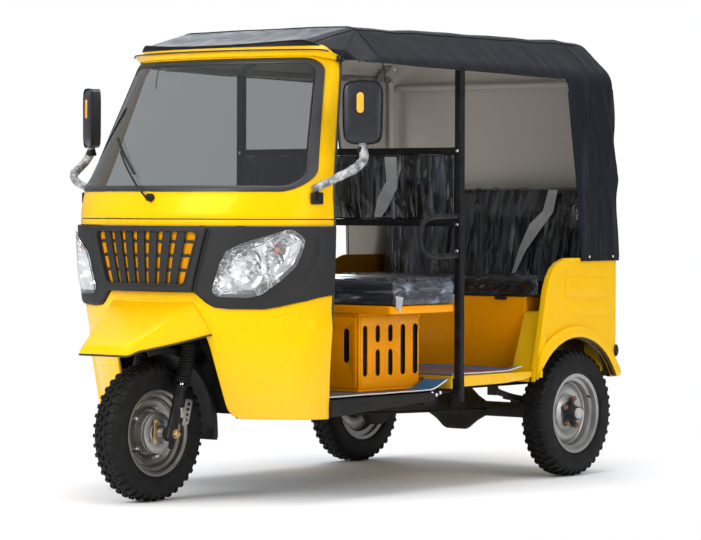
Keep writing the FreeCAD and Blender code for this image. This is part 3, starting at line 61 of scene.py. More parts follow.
FRONT_AXLE = joint_place("front_wheel_spin")
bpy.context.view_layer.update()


def along(behind_axle):
    return FRONT_AXLE.y + behind_axle


# The cab's skin: height, half width, door edge and nose line behind the front axle
CAB_LEVELS = [
    (0.322, 0.5658, 0.394, 0.130), (0.541, 0.5799, 0.387, 0.0619), (0.7494, 0.6002, 0.3819, 0.0051),
    (0.9271, 0.6089, 0.3791, -0.0141), (1.088, 0.615, 0.376, -0.017), (1.1397, 0.6121, 0.3769, -0.0091),
    (1.2002, 0.605, 0.382, 0.0122), (1.2997, 0.5856, 0.4141, 0.0737), (1.4999, 0.5469, 0.4785, 0.1969),
    (1.716, 0.505, 0.548, 0.3301), (1.760, 0.497, 0.562, 0.357)]
SKIN_RADIUS = 0.6
DOOR_EDGE = SKIN_RADIUS * math.pi / 2


def cab_level(height):
    """Half width, door edge and nose line at a height, on a smooth curve through the levels."""
    rows = CAB_LEVELS
    index = next((i for i, row in enumerate(rows) if row[0] >= height), len(rows) - 1) or 1
    low, high = rows[index - 1], rows[index]
    run = high[0] - low[0]
    t = (height - low[0]) / run
    weights = (2 * t ** 3 - 3 * t ** 2 + 1, t ** 3 - 2 * t ** 2 + t, 3 * t ** 2 - 2 * t ** 3, t ** 3 - t ** 2)

    def slope(at, column):
        before, after = rows[max(at - 1, 0)], rows[min(at + 1, len(rows) - 1)]
        return (after[column] - before[column]) / (after[0] - before[0])

    return [
        weights[0] * low[c] + weights[1] * run * slope(index - 1, c)
        + weights[2] * high[c] + weights[3] * run * slope(index, c) for c in (1, 2, 3)]


def on_skin(round_by, height, outward=0.0):
    """A point on the cab's skin: how far round from the nose, its height, and how far off it."""
    half, edge, nose = cab_level(height)
    turn = round_by / SKIN_RADIUS
    return Vector((
        (half + outward) * math.sin(turn), edge - (edge - nose + outward) * math.cos(turn), height))


def round_to(x, height, outward=0.0):
    """How far round the skin a width lies."""
    share = x / (cab_level(height)[0] + outward)
    return SKIN_RADIUS * math.asin(max(-1.0, min(1.0, share)))


def skin_depth(x, height, outward=0.0):
    return on_skin(round_to(x, height, outward), height, outward).y


# Mesh helpers

def deselect():
    if bpy.context.object and bpy.context.object.mode != "OBJECT":
        bpy.ops.object.mode_set(mode="OBJECT")
    bpy.ops.object.select_all(action="DESELECT")


def primitive(kind, name, **settings):
    """A new primitive, with its place moved into its mesh."""
    deselect()
    getattr(bpy.ops.mesh, "primitive_" + kind + "_add")(**settings)
    piece = bpy.context.object
    piece.name = name
    piece.data.name = name
    bpy.ops.object.transform_apply(location=True, rotation=True, scale=True)
    return piece


def activate(piece):
    deselect()
    piece.select_set(True)
    bpy.context.view_layer.objects.active = piece


def face_outwards(piece):
    """Turns every face of a closed mesh outwards."""
    activate(piece)
    bpy.ops.object.mode_set(mode="EDIT")
    bpy.ops.mesh.select_all(action="SELECT")
    bpy.ops.mesh.normals_make_consistent(inside=False)
    bpy.ops.object.mode_set(mode="OBJECT")


def apply_modifier(piece, kind, **settings):
    activate(piece)
    modifier = piece.modifiers.new(kind, kind)
    for key, value in settings.items():
        setattr(modifier, key, value)
    bpy.ops.object.modifier_apply(modifier=modifier.name)
    return piece


def remove(piece):
    bpy.data.objects.remove(piece, do_unlink=True)


def cut(piece, cutter, operation="DIFFERENCE"):
    apply_modifier(piece, "BOOLEAN", operation=operation, object=cutter, solver="EXACT")
    remove(cutter)
    return piece


def soften(piece, width, segments=2, angle=40):
    """Rounds the sharp edges and shades the rest smooth."""
    apply_modifier(piece, "BEVEL", width=width, segments=segments, limit_method="ANGLE",
                   angle_limit=math.radians(angle), use_clamp_overlap=True)
    return smooth(piece, angle)


def smooth(piece, angle=40):
    activate(piece)
    bpy.ops.object.shade_smooth_by_angle(angle=math.radians(angle))
    return piece


def join(pieces, name):
    pieces = list(pieces)
    activate(pieces[0])
    for piece in pieces:
        piece.select_set(True)
    if len(pieces) > 1:
        bpy.ops.object.join()
    whole = bpy.context.object
    whole.name = name
    whole.data.name = name
    return whole


def mirrored_copy(piece, name=None):
    twin = piece.copy()
    twin.data = piece.data.copy()
    bpy.context.collection.objects.link(twin)
    twin.data.transform(Matrix.Scale(-1, 4, Vector((1, 0, 0))))
    twin.data.flip_normals()
    if name:
        twin.name = name
        twin.data.name = name
    return twin


def both_sides(piece):
    name = piece.name
    return join([piece, mirrored_copy(piece)], name)


def reshape(piece, place):
    """Moves every vertex to place(its own position)."""
    for vertex in piece.data.vertices:
        vertex.co = place(vertex.co)
    piece.data.update()
    return piece


def mesh_piece(name, points, faces):
    mesh = bpy.data.meshes.new(name)
    mesh.from_pydata([tuple(point) for point in points], [], faces)
    mesh.update()
    piece = bpy.data.objects.new(name, mesh)
    bpy.context.collection.objects.link(piece)
    return piece


def rounded(points, radii, steps=6):
    """A closed outline with an arc at each corner; radii is one radius or one for each."""
    points = [Vector(point) for point in points]
    if not isinstance(radii, (list, tuple)):
        radii = [radii] * len(points)
    outline = []
    for index, corner in enumerate(points):
        before = (points[index - 1] - corner)
        after = (points[(index + 1) % len(points)] - corner)
        room = min(before.length, after.length) * 0.49
        half = before.angle(after) / 2
        radius = min(radii[index], room * math.tan(half))
        if radius <= 0 or math.cos(half) < 1e-3:
            outline.append(corner)
            continue
        trim = radius / math.tan(half)
        start = corner + before.normalized() * trim
        end = corner + after.normalized() * trim
        centre = corner + (before.normalized() + after.normalized()).normalized() * (radius / math.sin(half))
        swing = (start - centre).angle_signed(end - centre)
        for step in range(steps + 1):
            spoke = (start - centre).copy()
            spoke.rotate(Matrix.Rotation(-swing * step / steps, 2))
            outline.append(centre + spoke)
    return outline


def prism(name, outline, axis, low, high):
    """A solid with a flat outline, pushed along one axis: X takes (y, z), Y (x, z), Z (x, y)."""
    order = {"X": lambda a, b, c: (c, a, b), "Y": lambda a, b, c: (a, c, b), "Z": lambda a, b, c: (a, b, c)}[axis]
    piece = mesh_piece(name, [order(a, b, low) for a, b in outline], [list(range(len(outline)))])
    activate(piece)
    bpy.ops.object.mode_set(mode="EDIT")
    bpy.ops.mesh.select_all(action="SELECT")
    push = order(0, 0, high - low)
    bpy.ops.mesh.extrude_region_move(TRANSFORM_OT_translate={"value": push})
    bpy.ops.mesh.select_all(action="SELECT")
    bpy.ops.mesh.normals_make_consistent(inside=False)
    bpy.ops.object.mode_set(mode="OBJECT")
    return piece


def pipe(name, points, radius, segments=16, smooth_path=True, closed=False, steps=8):
    """A round tube along points, made from a bevelled curve."""
    curve = bpy.data.curves.new(name, "CURVE")
    curve.dimensions = "3D"
    curve.bevel_depth = radius
    curve.bevel_resolution = segments // 4
    curve.use_fill_caps = not closed
    curve.resolution_u = steps
    spline = curve.splines.new("NURBS" if smooth_path else "POLY")
    spline.points.add(len(points) - 1)
    for target, point in zip(spline.points, points):
        target.co = (*point, 1)
    if smooth_path:
        spline.order_u = 3
        spline.use_endpoint_u = not closed
    spline.use_cyclic_u = closed
    piece = bpy.data.objects.new(name, curve)
    bpy.context.collection.objects.link(piece)
    activate(piece)
    bpy.ops.object.convert(target="MESH")
    piece = bpy.context.object
    piece.name = name
    activate(piece)
    bpy.ops.object.mode_set(mode="EDIT")
    bpy.ops.mesh.select_all(action="SELECT")
    bpy.ops.mesh.remove_doubles(threshold=1e-5)
    bpy.ops.mesh.normals_make_consistent(inside=False)
    bpy.ops.object.mode_set(mode="OBJECT")
    return smooth(piece, 50)


def turned(name, outline, steps=64, axis="X", centre=(0, 0, 0)):
    """A shape turned on an axis from (along, radius) points, closed or ending on the axis."""
    points = [(a, r, 0) if axis == "X" else (r, 0, a) for a, r in outline]
    edges = [(i, i + 1) for i in range(len(points) - 1)]
    mesh = bpy.data.meshes.new(name)
    mesh.from_pydata(points, edges, [])
    piece = bpy.data.objects.new(name, mesh)
    bpy.context.collection.objects.link(piece)
    activate(piece)
    bpy.ops.object.mode_set(mode="EDIT")
    bpy.ops.mesh.select_all(action="SELECT")
    turn_axis = (1, 0, 0) if axis == "X" else (0, 0, 1)
    bpy.ops.mesh.spin(steps=steps, angle=math.tau, axis=turn_axis, center=(0, 0, 0))
    bpy.ops.mesh.select_all(action="SELECT")
    bpy.ops.mesh.remove_doubles(threshold=1e-6)
    bpy.ops.mesh.dissolve_degenerate(threshold=1e-7)
    bpy.ops.mesh.normals_make_consistent(inside=False)
    bpy.ops.object.mode_set(mode="OBJECT")
    piece.data.transform(Matrix.Translation(Vector(centre)))
    return piece


def place_on(piece, body, slot, material, *nodes):
    """Finishes a piece: its place, material, the body it rides on and what it replaces; slot is not used."""
    piece.data.transform(Matrix.Translation((0, FRONT_AXLE.y, 0)))
    piece.data.materials.clear()
    piece.data.materials.append(material)
    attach(piece, body)
    if nodes:
        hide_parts(*nodes)
    return piece


# Plates laid out flat, finished there, and then bent to their surface

def evenly(outline, step=0.012):
    """The same closed outline with a point at least every step."""
    points = []
    for index, point in enumerate(outline):
        after = outline[(index + 1) % len(outline)]
        count = max(1, math.ceil((Vector(after) - Vector(point)).length / step))
        points += [Vector(point).lerp(Vector(after), share / count) for share in range(count)]
    return points


def unrolled(outline, step=0.012):
    """An outline in width and height, laid out round the cab's skin."""
    return [Vector((round_to(x, z), z)) for x, z in evenly(outline, step)]


def mirrored(half):
    """A closed outline from its half at +X, listed from one end to the other."""
    return list(half) + [(-x, z) for x, z in reversed(half) if abs(x) > 1e-6]


def grid_cut(piece, across, upward):
    """Cuts a flat plate along even lines, so that it can be bent."""
    low = [min(vertex.co[axis] for vertex in piece.data.vertices) for axis in (0, 2)]
    high = [max(vertex.co[axis] for vertex in piece.data.vertices) for axis in (0, 2)]
    activate(piece)
    bpy.ops.object.mode_set(mode="EDIT")
    for start, end, step, normal in ((low[0], high[0], across, (1, 0, 0)), (low[1], high[1], upward, (0, 0, 1))):
        count = int((end - start) / step)
        for index in range(1, count):
            place = start + (end - start) * index / count
            bpy.ops.mesh.select_all(action="SELECT")
            bpy.ops.mesh.bisect(plane_co=tuple(place * part for part in normal), plane_no=normal)
    bpy.ops.object.mode_set(mode="OBJECT")
    return piece


def flat_plate(name, outline, holes=(), outward=0.0, wall=0.012, rim=0.002, rim_steps=2):
    """A plate in X and Z with its outer face at Y = -outward, and its rims rounded."""
    piece = prism(name, outline, "Y", -outward, wall - outward)
    for hole in holes:
        cut(piece, prism("hole", hole, "Y", -outward - 0.05, wall - outward + 0.05))
    if rim:
        apply_modifier(piece, "BEVEL", width=rim, segments=rim_steps, limit_method="ANGLE",
                       angle_limit=math.radians(50), use_clamp_overlap=False)
    return piece


def bend_to_skin(piece, across=0.022, upward=0.022, extra=None):
    grid_cut(piece, across, upward)

    def place(point):
        more = extra(point.x, point.z) if extra else 0.0
        return on_skin(point.x, point.z, more - point.y)
    return smooth(reshape(piece, place), 35)


def skin_plate(name, outline, holes=(), outward=0.0, wall=0.012, rim=0.002, rim_steps=2, extra=None,
               across=0.022, upward=0.022):
    return bend_to_skin(flat_plate(name, outline, holes, outward, wall, rim, rim_steps), across, upward, extra)


def step_up(value, start, end):
    """0 below start, 1 above end, with a smooth rise between."""
    share = max(0.0, min(1.0, (value - start) / (end - start)))
    return share * share * (3 - 2 * share)


def crossing(path, value, column=1):
    """Where a path of points reaches a value in one column, as the other column."""
    for before, after in zip(path, path[1:]):
        if min(before[column], after[column]) <= value <= max(before[column], after[column]):
            run = after[column] - before[column]
            share = (value - before[column]) / run if run else 0.0
            return before[1 - column] + (after[1 - column] - before[1 - column]) * share
    return path[0][1 - column] if abs(path[0][column] - value) < abs(path[-1][column]
                                                                     - value) else path[-1][1 - column]


# Cab front

PANEL_TOP = 1.062
PANEL_LOW_EDGE = [
    (0.1857, 0.8141), (0.2177, 0.8090), (0.2380, 0.7902), (0.2620, 0.7690), (0.2921, 0.7520), (0.3438, 0.7470),
    (0.4662, 0.7479), (0.5080, 0.7571), (0.5738, 0.7791), (0.6519, 0.8280)]
GRILLE_CENTRE = [(0.2140, 0.8085), (0.2840, 1.0560)]
GRILLE_HOLE = [(0.188, 0.842), (0.249, 1.040)]
LAMP_OUTLINE = [
    (0.3000, 0.8061), (0.4197, 0.8030), (0.4550, 0.8149), (0.5051, 0.8620), (0.5448, 0.9149), (0.5600, 0.9648),
    (0.5679, 1.0079), (0.5448, 1.0410), (0.4779, 1.0120), (0.4050, 0.9851), (0.3579, 0.9570), (0.3381, 0.9196),
    (0.3180, 0.8620)]
SCREEN_OUTLINE = mirrored([(0.592, 1.193), (0.484, 1.712)])
LEG_CREASE = [(0.596, 0.735), (0.570, 0.687), (0.536, 0.611), (0.506, 0.515), (0.484, 0.400), (0.478, 0.300)]


def panel_edge_run(gap=0.0):
    """The panel's lower edge from the middle to the door edge, laid out round the skin."""
    path = rounded([(-0.05, 0.8141)] + PANEL_LOW_EDGE + [(0.66, 1.1)], [0] + [0.014] * 9 + [0, 0])
    run = []
    for x, z in evenly(path, 0.01):
        if x < 0 or z > 0.829:
            continue
        if x >= cab_level(z)[0]:
            run.append(Vector((DOOR_EDGE, z - gap)))
            break
        run.append(Vector((round_to(x, z), z - gap)))
    return run


def leg_shield_crease(around, height):
    """The shields' sides stand a little proud behind a crease that sweeps down and in."""
    if height > 0.745:
        return 0.0
    edge = round_to(crossing(LEG_CREASE, max(0.301, min(0.734, height))), height)
    fade = 1 - step_up(height, 0.66, 0.745)
    return 0.010 * fade * step_up(abs(around) - edge, -0.002, 0.014)


def build_cab_front(context):
    half = panel_edge_run(0.0006)
    upper = [(-u, z) for u, z in reversed(half)] + [tuple(point) for point in half]
    gap_side = rounded([
        (0.392, 0.322), (0.272, 0.322), (0.247, 0.600), (0.236, 0.655), (-0.236, 0.655), (-0.247, 0.600),
        (-0.272, 0.322), (-0.392, 0.322)], [0, 0.055, 0.02, 0.02, 0.02, 0.02, 0.055, 0])
    gap_run = [Vector((round_to(x, z), z)) for x, z in evenly(gap_side)]
    turned_back = next(k for k, point in enumerate(gap_run) if point.x == min(p.x for p in gap_run))
    low = gap_run[:turned_back + 1]
    right_side = [Vector((DOOR_EDGE, half[-1].y - 0.012 * k)) for k in range(1, int((half[-1].y - 0.322) / 0.012))]
    bottom_right = [Vector((u, 0.322)) for u in (DOOR_EDGE, DOOR_EDGE - 0.06, DOOR_EDGE - 0.12, DOOR_EDGE - 0.2)]
    outline = [Vector(p) for p in upper] + right_side + bottom_right + low
    outline += [Vector((-p.x, p.y)) for p in reversed(bottom_right)] + [Vector((-p.x, p.y)) for p in reversed(right_side)]
    shield = skin_plate("front_shield", outline, wall=0.012, rim=0.0035, rim_steps=3, extra=leg_shield_crease,
                        across=0.016, upward=0.016)
    cowl = [Vector((u, z)) for u, z in evenly([
        (-DOOR_EDGE, PANEL_TOP + 0.0006), (DOOR_EDGE, PANEL_TOP + 0.0006), (DOOR_EDGE, 1.0855),
        (-DOOR_EDGE, 1.0855)])]
    band = skin_plate("cowl_band", cowl, wall=0.012, rim=0.003, rim_steps=3)
    whole = join([shield, band], "front_mask_shell")
    place_on(whole, "root", "body_paint", material("yellow_paint"), "front_mask")

    frame_outline = [Vector((u, z)) for u, z in evenly([
        (-DOOR_EDGE, 1.0895), (DOOR_EDGE, 1.0895), (DOOR_EDGE, 1.760), (-DOOR_EDGE, 1.760)])]
    hole = unrolled(rounded(SCREEN_OUTLINE, 0.070, 8))
    upper_shell = skin_plate("screen_surround", frame_outline, [hole], wall=0.012, rim=0.003, rim_steps=3)
    reshape(upper_shell, lambda p: Vector((p.x, p.y, p.z - 0.036 * step_up(abs(p.x), 0.42, 0.50)
                                           * step_up(p.z, 1.64, 1.755))))
    place_on(upper_shell, "root", "body_paint", material("yellow_paint"), "screen_frame")
    strip = [Vector((u, z)) for u, z in evenly([
        (-DOOR_EDGE, 1.0800), (DOOR_EDGE, 1.0800), (DOOR_EDGE, 1.0950), (-DOOR_EDGE, 1.0950)])]
    seal = skin_plate("joint_seal", strip, outward=-0.0035, wall=0.004, rim=0)
    place_on(seal, "root", "rubber_seal", material("seal_rubber"))


def inset_outline(outline, distance):
    """A closed outline moved inwards by a distance, point by point."""
    points = [Vector(point) for point in outline]
    area = sum(a.x * b.y - b.x * a.y for a, b in zip(points, points[1:] + points[:1]))
    turn = 1 if area > 0 else -1
    moved = []
    for index, point in enumerate(points):
        run = (points[(index + 1) % len(points)] - points[index - 1]).normalized()
        moved.append(point + Vector((-run.y, run.x)) * distance * turn)
    return moved


def build_screen(context):
    outer = rounded(SCREEN_OUTLINE, 0.070, 10)
    ring = skin_plate("screen_gasket", unrolled(inset_outline(outer, 0.0004)),
                      [unrolled(inset_outline(outer, 0.022))],
                      outward=0.006, wall=0.024, rim=0.0055, rim_steps=4)
    groove = skin_plate("gasket_strip", unrolled(inset_outline(outer, 0.0085)),
                        [unrolled(inset_outline(outer, 0.0135))],
                        outward=0.0072, wall=0.006, rim=0.0018, rim_steps=3)
    place_on(join([ring, groove], "screen_gasket"), "root", "rubber_seal", material("seal_rubber"), "screen_seal")
    pane = skin_plate("screen_pane", unrolled(inset_outline(outer, 0.0215)), outward=0.0, wall=0.005, rim=0)
    place_on(pane, "root", "screen_glass", material("screen_tint"), "screen_glass")


CRESCENT = [(0.600, 1.043), (0.599, 0.991), (0.593, 0.934), (0.577, 0.878), (0.548, 0.819)]


def panel_hollow(around, height):
    """A soft crescent pressed into the panel behind each lamp."""
    if not 0.822 < height < 1.040:
        return 0.0
    middle = round_to(crossing(CRESCENT, height), height)
    ends = step_up(height, 0.822, 0.86) * (1 - step_up(height, 1.0, 1.040))
    return -0.008 * ends * math.exp(-((abs(around) - middle) / 0.012) ** 2)


def build_nose_panel(context):
    half = panel_edge_run(-0.0003)
    lower = [(-u, z) for u, z in reversed(half)] + [tuple(point) for point in half]
    side = [Vector((DOOR_EDGE, z)) for z in (0.84, 0.87, 0.90, 0.94, 0.98, 1.02)]
    top = [Vector((u, PANEL_TOP)) for u in [DOOR_EDGE * (1 - k / 80) for k in range(161)]]
    outline = [Vector(p) for p in lower] + side + top + [Vector((-p.x, p.y)) for p in reversed(side)]
    lamp = rounded(LAMP_OUTLINE, 0.016, 4)
    holes = [unrolled(lamp), [Vector((-p.x, p.y)) for p in unrolled(lamp)]]
    middle = mirrored([GRILLE_CENTRE[0], GRILLE_CENTRE[1]])
    holes.append(unrolled(inset_outline(rounded(middle, 0.006, 3), 0.006)))
    sides = skin_plate("panel_sides", outline, holes, outward=0.014, wall=0.024, rim=0.007, rim_steps=4,
                       extra=panel_hollow, across=0.016, upward=0.016)
    hole = unrolled(rounded(mirrored(GRILLE_HOLE), 0.016, 5))
    floor = skin_plate("panel_centre", unrolled(rounded(middle, 0.008, 4)), [hole],
                       outward=0.036, wall=0.046, rim=0.006, rim_steps=4)
    collar = skin_plate("grille_collar", unrolled(inset_outline(rounded(mirrored(GRILLE_HOLE), 0.016, 5), -0.009)),
                        [hole],
                        outward=0.0395, wall=0.014, rim=0.003, rim_steps=3)
    pieces = [sides, floor, collar]
    height = GRILLE_HOLE[1][1] - GRILLE_HOLE[0][1]
    bend = GRILLE_HOLE[0][1] + 0.45 * height
    bend_half = GRILLE_HOLE[0][0] + 0.45 * (GRILLE_HOLE[1][0] - GRILLE_HOLE[0][0])
    for index in range(7):
        share = (index + 1) / 4 - 1
        top_x, bend_x, low_x = GRILLE_HOLE[1][0] * share, bend_half * share, GRILLE_HOLE[0][0] * share
        outline = [
            (low_x - 0.0160, 0.836), (low_x + 0.0160, 0.836), (bend_x + 0.0180, bend), (top_x + 0.0185, 1.046),
            (top_x - 0.0185, 1.046), (bend_x - 0.0180, bend)]
        pieces.append(skin_plate("slat", unrolled(outline, 0.03), outward=0.031, wall=0.009, rim=0.0035,
                                 rim_steps=3))
    for share in (0.24, 0.52, 0.79):
        z = GRILLE_HOLE[0][1] + height * share
        half_width = GRILLE_HOLE[0][0] + (GRILLE_HOLE[1][0] - GRILLE_HOLE[0][0]) * share
        for index in range(8):
            left = -half_width + half_width * index / 4
            right = left + half_width / 4
            step = [(left, z - 0.002), (left + 0.010, z + 0.010), (right - 0.010, z + 0.010), (right, z - 0.002)]
            pieces.append(skin_plate("tie", unrolled(step, 0.03), outward=0.024, wall=0.009, rim=0.002))
    whole = join(pieces, "nose_panel_shell")
    place_on(whole, "root", "charcoal_plastic", material("charcoal"), "front_panel")
    # The backing's darker orange is painted shade on the body behind the grille
    back = skin_plate("grille_backing", unrolled(rounded(mirrored(GRILLE_HOLE), 0.016, 5)), outward=0.0180,
                      wall=0.0033, rim=0)
    place_on(back, "root", "body_paint", material("grille_enamel_painted_shade"))
    seams = []
    for side in (-1, 1):
        levels = [0.812 + (1.054 - 0.812) * k / 24 for k in range(25)]
        line = [(0.2185 + 0.0700 * (z - 0.8085) / 0.2475, z) for z in levels]
        seams.append(pipe("seam", [on_skin(side * round_to(x, z), z, 0.0150) for x, z in line], 0.0032, 8))
    place_on(join(seams, "panel_seams"), "root", "rubber_seal", material("seal_rubber"))


def build_beak(context):
    """The fairing over the wheel: a flat top, sloped cheeks and a hooked front edge."""
    root = [(0.276, 0.656), (0.262, 0.735), (0.236, 0.817), (0.205, 0.826), (0.0, 0.836)]
    front = [(0.125, 0.584), (0.1225, 0.597), (0.108, 0.606), (0.085, 0.609), (0.0, 0.614)]
    profile = []
    for index in range(len(root) - 1):
        for share in (0, 0.25, 0.5, 0.75):
            profile.append([tuple(Vector(line[index]).lerp(Vector(line[index + 1]), share))
                            for line in (root, front)])
    profile.append([root[-1], front[-1]])
    profile = profile + [[(-a[0], a[1]), (-b[0], b[1])] for a, b in reversed(profile[:-1])]
    rows = []
    stations = 28
    for (root_point, front_point) in profile:
        ends = Vector((root_point[0], 0.09, root_point[1])), Vector((front_point[0], -0.252, front_point[1]))
        low, high = 0.0, 1.0
        for _ in range(24):
            middle = (low + high) / 2
            point = ends[0].lerp(ends[1], middle)
            level = cab_level(point.z)
            inside = abs(point.x) < level[0] and point.y > skin_depth(point.x, point.z) - 0.001
            low, high = (middle, high) if inside else (low, middle)
        row = []
        for station in range(stations + 1):
            share = low + (1 - low) * station / stations
            point = ends[0].lerp(ends[1], share)
            sag = 0.010 * math.sin(math.pi * share) * (1 if root_point[1] > 0.8 else 0.4)
            hook = 0.012 * step_up(share, 0.86, 1.0)
            row.append(point - Vector((0, 0, sag + hook * (0.3 if abs(front_point[0]) < 0.1 else 0.8))))
        rows.append(row)
    count = len(rows)
    points = [point for row in rows for point in row]
    faces = []
    for a in range(count - 1):
        for b in range(stations):
            i = a * (stations + 1) + b
            faces.append((i, i + 1, i + stations + 2, i + stations + 1))
    skin = mesh_piece("beak_skin", points, faces)
    face_outwards(skin)
    top_face = max(skin.data.polygons, key=lambda face: face.center.z)
    if top_face.normal.z < 0:
        skin.data.flip_normals()
    apply_modifier(skin, "SOLIDIFY", thickness=0.005, offset=-1, use_even_offset=True)
    apply_modifier(skin, "BEVEL", width=0.0022, segments=2, limit_method="ANGLE", angle_limit=math.radians(60),
                   use_clamp_overlap=True)
    smooth(skin, 28)
    tips = [row[-1] for row in rows]
    chin = []
    for point in tips:
        chin.append((point.x, point.z))
    nose = prism("beak_nose", chin, "Y", -0.2535, -0.2485)
    soften(nose, 0.0015, 2, 50)
    place_on(join([skin, nose], "nose_fairing"), "root", "body_paint", material("yellow_paint"), "front_beak")

    edge = [row_point + Vector((0, 0, -0.0035)) for row_point in rows[0]]
    other = [Vector((-p.x, p.y, p.z)) for p in edge]
    trims = []
    for name, line in (("left", edge), ("right", other)):
        trims.append(pipe("fairing_trim_" + name, line[::3] + [line[-1]], 0.0038, 10))
    tip = rows[0][-1] + Vector((0, 0.001, -0.004))
    trims.append(pipe("fairing_trim_front", [Vector((tip.x * k / 4, tip.y, tip.z)) for k in range(4, -5, -1)],
                      0.0040, 10))
    trim = join(trims, "fairing_trim")
    place_on(trim, "root", "rubber_seal", material("seal_rubber"))


def build_visor(context):
    """A peak with a rolled lip over the screen, tapering away at its ends."""
    section = [
        (0.0004, 1.7665), (0.004, 1.7662), (0.018, 1.7575), (0.031, 1.7495), (0.0375, 1.7468), (0.040, 1.7445),
        (0.0395, 1.7415), (0.036, 1.7398), (0.030, 1.7385), (0.016, 1.7290), (0.006, 1.7175), (0.0004, 1.7152)]
    columns = 120
    reach = math.radians(87.3)
    points, faces = [], []
    for index in range(columns + 1):
        turn = -reach + 2 * reach * index / columns
        taper = 1 - 0.92 * step_up(abs(turn), math.radians(68), math.radians(84))
        for outward, height in section:
            middle = 1.7405 - 0.026 * step_up(abs(turn), math.radians(62), reach)
            points.append(on_skin(turn * SKIN_RADIUS, middle + (height - 1.7405) * (0.45 + 0.55 * taper),
                                  0.0004 + (outward - 0.0004) * taper))
    size = len(section)
    for a in range(columns):
        for b in range(size):
            c = (b + 1) % size
            faces.append((a * size + b, a * size + c, (a + 1) * size + c, (a + 1) * size + b))
    faces.append(tuple(range(size)))
    faces.append(tuple(columns * size + b for b in reversed(range(size))))
    peak = mesh_piece("visor_peak", points, faces)
    face_outwards(peak)
    apply_modifier(peak, "SUBSURF", levels=1, render_levels=1)
    smooth(peak, 50)
    place_on(peak, "root", "body_paint", material("yellow_paint"), "roof_visor")
    lip = [on_skin(turn * SKIN_RADIUS, 1.7425 - 0.026 * step_up(abs(turn), math.radians(62), reach), 0.0405)
           for turn in [math.radians(-70 + 140 * k / 40) for k in range(41)]]
    bead = pipe("visor_bead", lip, 0.0032, 8)
    place_on(bead, "root", "rubber_seal", material("seal_rubber"))


# Headlamps

def lamp_ring(scale, outward):
    """The lamp's outline, drawn in to a scale and laid on the skin."""
    outline = unrolled(rounded(LAMP_OUTLINE, 0.014, 4), 0.02)
    centre = Vector((sum(p.x for p in outline) / len(outline) - 0.012, sum(p.y for p in outline) / len(outline)
                     - 0.012))
    return [on_skin(*(centre + (p - centre) * scale), outward) for p in outline]


def stacked(name, rings, close_first=False, close_last=True):
    """A skin through rings of equal counts."""
    size = len(rings[0])
    points = [point for ring in rings for point in ring]
    faces = []
    for a in range(len(rings) - 1):
        for b in range(size):
            c = (b + 1) % size
            faces.append((a * size + b, a * size + c, (a + 1) * size + c, (a + 1) * size + b))
    if close_last:
        faces.append(tuple((len(rings) - 1) * size + b for b in reversed(range(size))))
    if close_first:
        faces.append(tuple(range(size)))
    piece = mesh_piece(name, points, faces)
    face_outwards(piece)
    return piece


def dished(name, centre, normal, radius, depth, lip=0.004, steps=40):
    """A turned bowl with a rolled lip, opening along normal."""
    outline = [(0.0, -depth), (radius * 0.35, -depth * 0.93), (radius * 0.65, -depth * 0.68),
               (radius * 0.88, -depth * 0.28), (radius, 0.0), (radius + lip * 0.5, lip * 0.6), (radius + lip, 0.0),
               (radius + lip, -lip * 2)]
    piece = turned(name, [(a, r) for r, a in outline], steps)
    turn = Vector((1, 0, 0)).rotation_difference(normal).to_matrix().to_4x4()
    piece.data.transform(Matrix.Translation(centre) @ turn)
    return smooth(piece, 60)


def build_lamp(side):
    shell_rings = [lamp_ring(1.0, 0.0150), lamp_ring(0.995, 0.006), lamp_ring(0.93, -0.012),
                   lamp_ring(0.86, -0.030),
                   lamp_ring(0.78, -0.044), lamp_ring(0.5, -0.052), lamp_ring(0.2, -0.054)]
    bowl = stacked("lamp_bowl", shell_rings)
    if bowl.data.polygons[-1].normal.y > 0:
        bowl.data.flip_normals()
    smooth(bowl, 40)
    around, up = Vector((round_to(0.418, 0.885), 0.885))
    outward = (on_skin(around, up, 0.1) - on_skin(around, up, 0.0)).normalized()
    facing = Vector((outward.x * 0.45, -1.0, outward.z)).normalized()
    main = dished("main_reflector", on_skin(around, up, -0.004), facing, 0.062, 0.036)
    small_at = (round_to(0.492, 0.925), 0.925)
    small = dished("side_reflector", on_skin(*small_at, 0.0), facing, 0.036, 0.022)
    inner_at = (round_to(0.348, 0.845), 0.845)
    inner = dished("inner_reflector", on_skin(*inner_at, -0.002), facing, 0.030, 0.018)
    bulb = primitive("uv_sphere", "bulb", segments=24, ring_count=14, radius=0.013,
                     location=on_skin(around, up, -0.016))
    shade = primitive("uv_sphere", "shade", segments=24, ring_count=12, radius=0.009,
                      location=on_skin(*small_at, -0.008))
    chrome = join([bowl, main, small, inner, smooth(bulb, 60), smooth(shade, 60)], "lamp_reflector_" + side)
    amber = primitive("uv_sphere", "turn_bulb_" + side, segments=24, ring_count=14, radius=0.012,
                      location=on_skin(round_to(0.512, 0.972), 0.972, -0.004))
    smooth(amber, 60)
    outline = unrolled(rounded(LAMP_OUTLINE, 0.016, 5))
    lens = skin_plate("lamp_lens_" + side, outline, outward=0.0215, wall=0.0035, rim=0.0015,
                      across=0.006, upward=0.006)
    crumple = skin_plate("lamp_film_" + side, inset_outline(outline, -0.012), outward=0.0255, wall=0.0008, rim=0,
                         across=0.006, upward=0.006)

    def crease(point):
        rough = noise.noise(point * 26) * 0.5 + noise.noise(point * 61) * 0.3 + noise.noise(point * 120) * 0.2
        edge = point.copy()
        return edge + Vector((0.25, -0.85, 0.1)) * (0.0016 * rough)
    reshape(crumple, crease)
    smooth(crumple, 30)
    return chrome, amber, lens, crumple


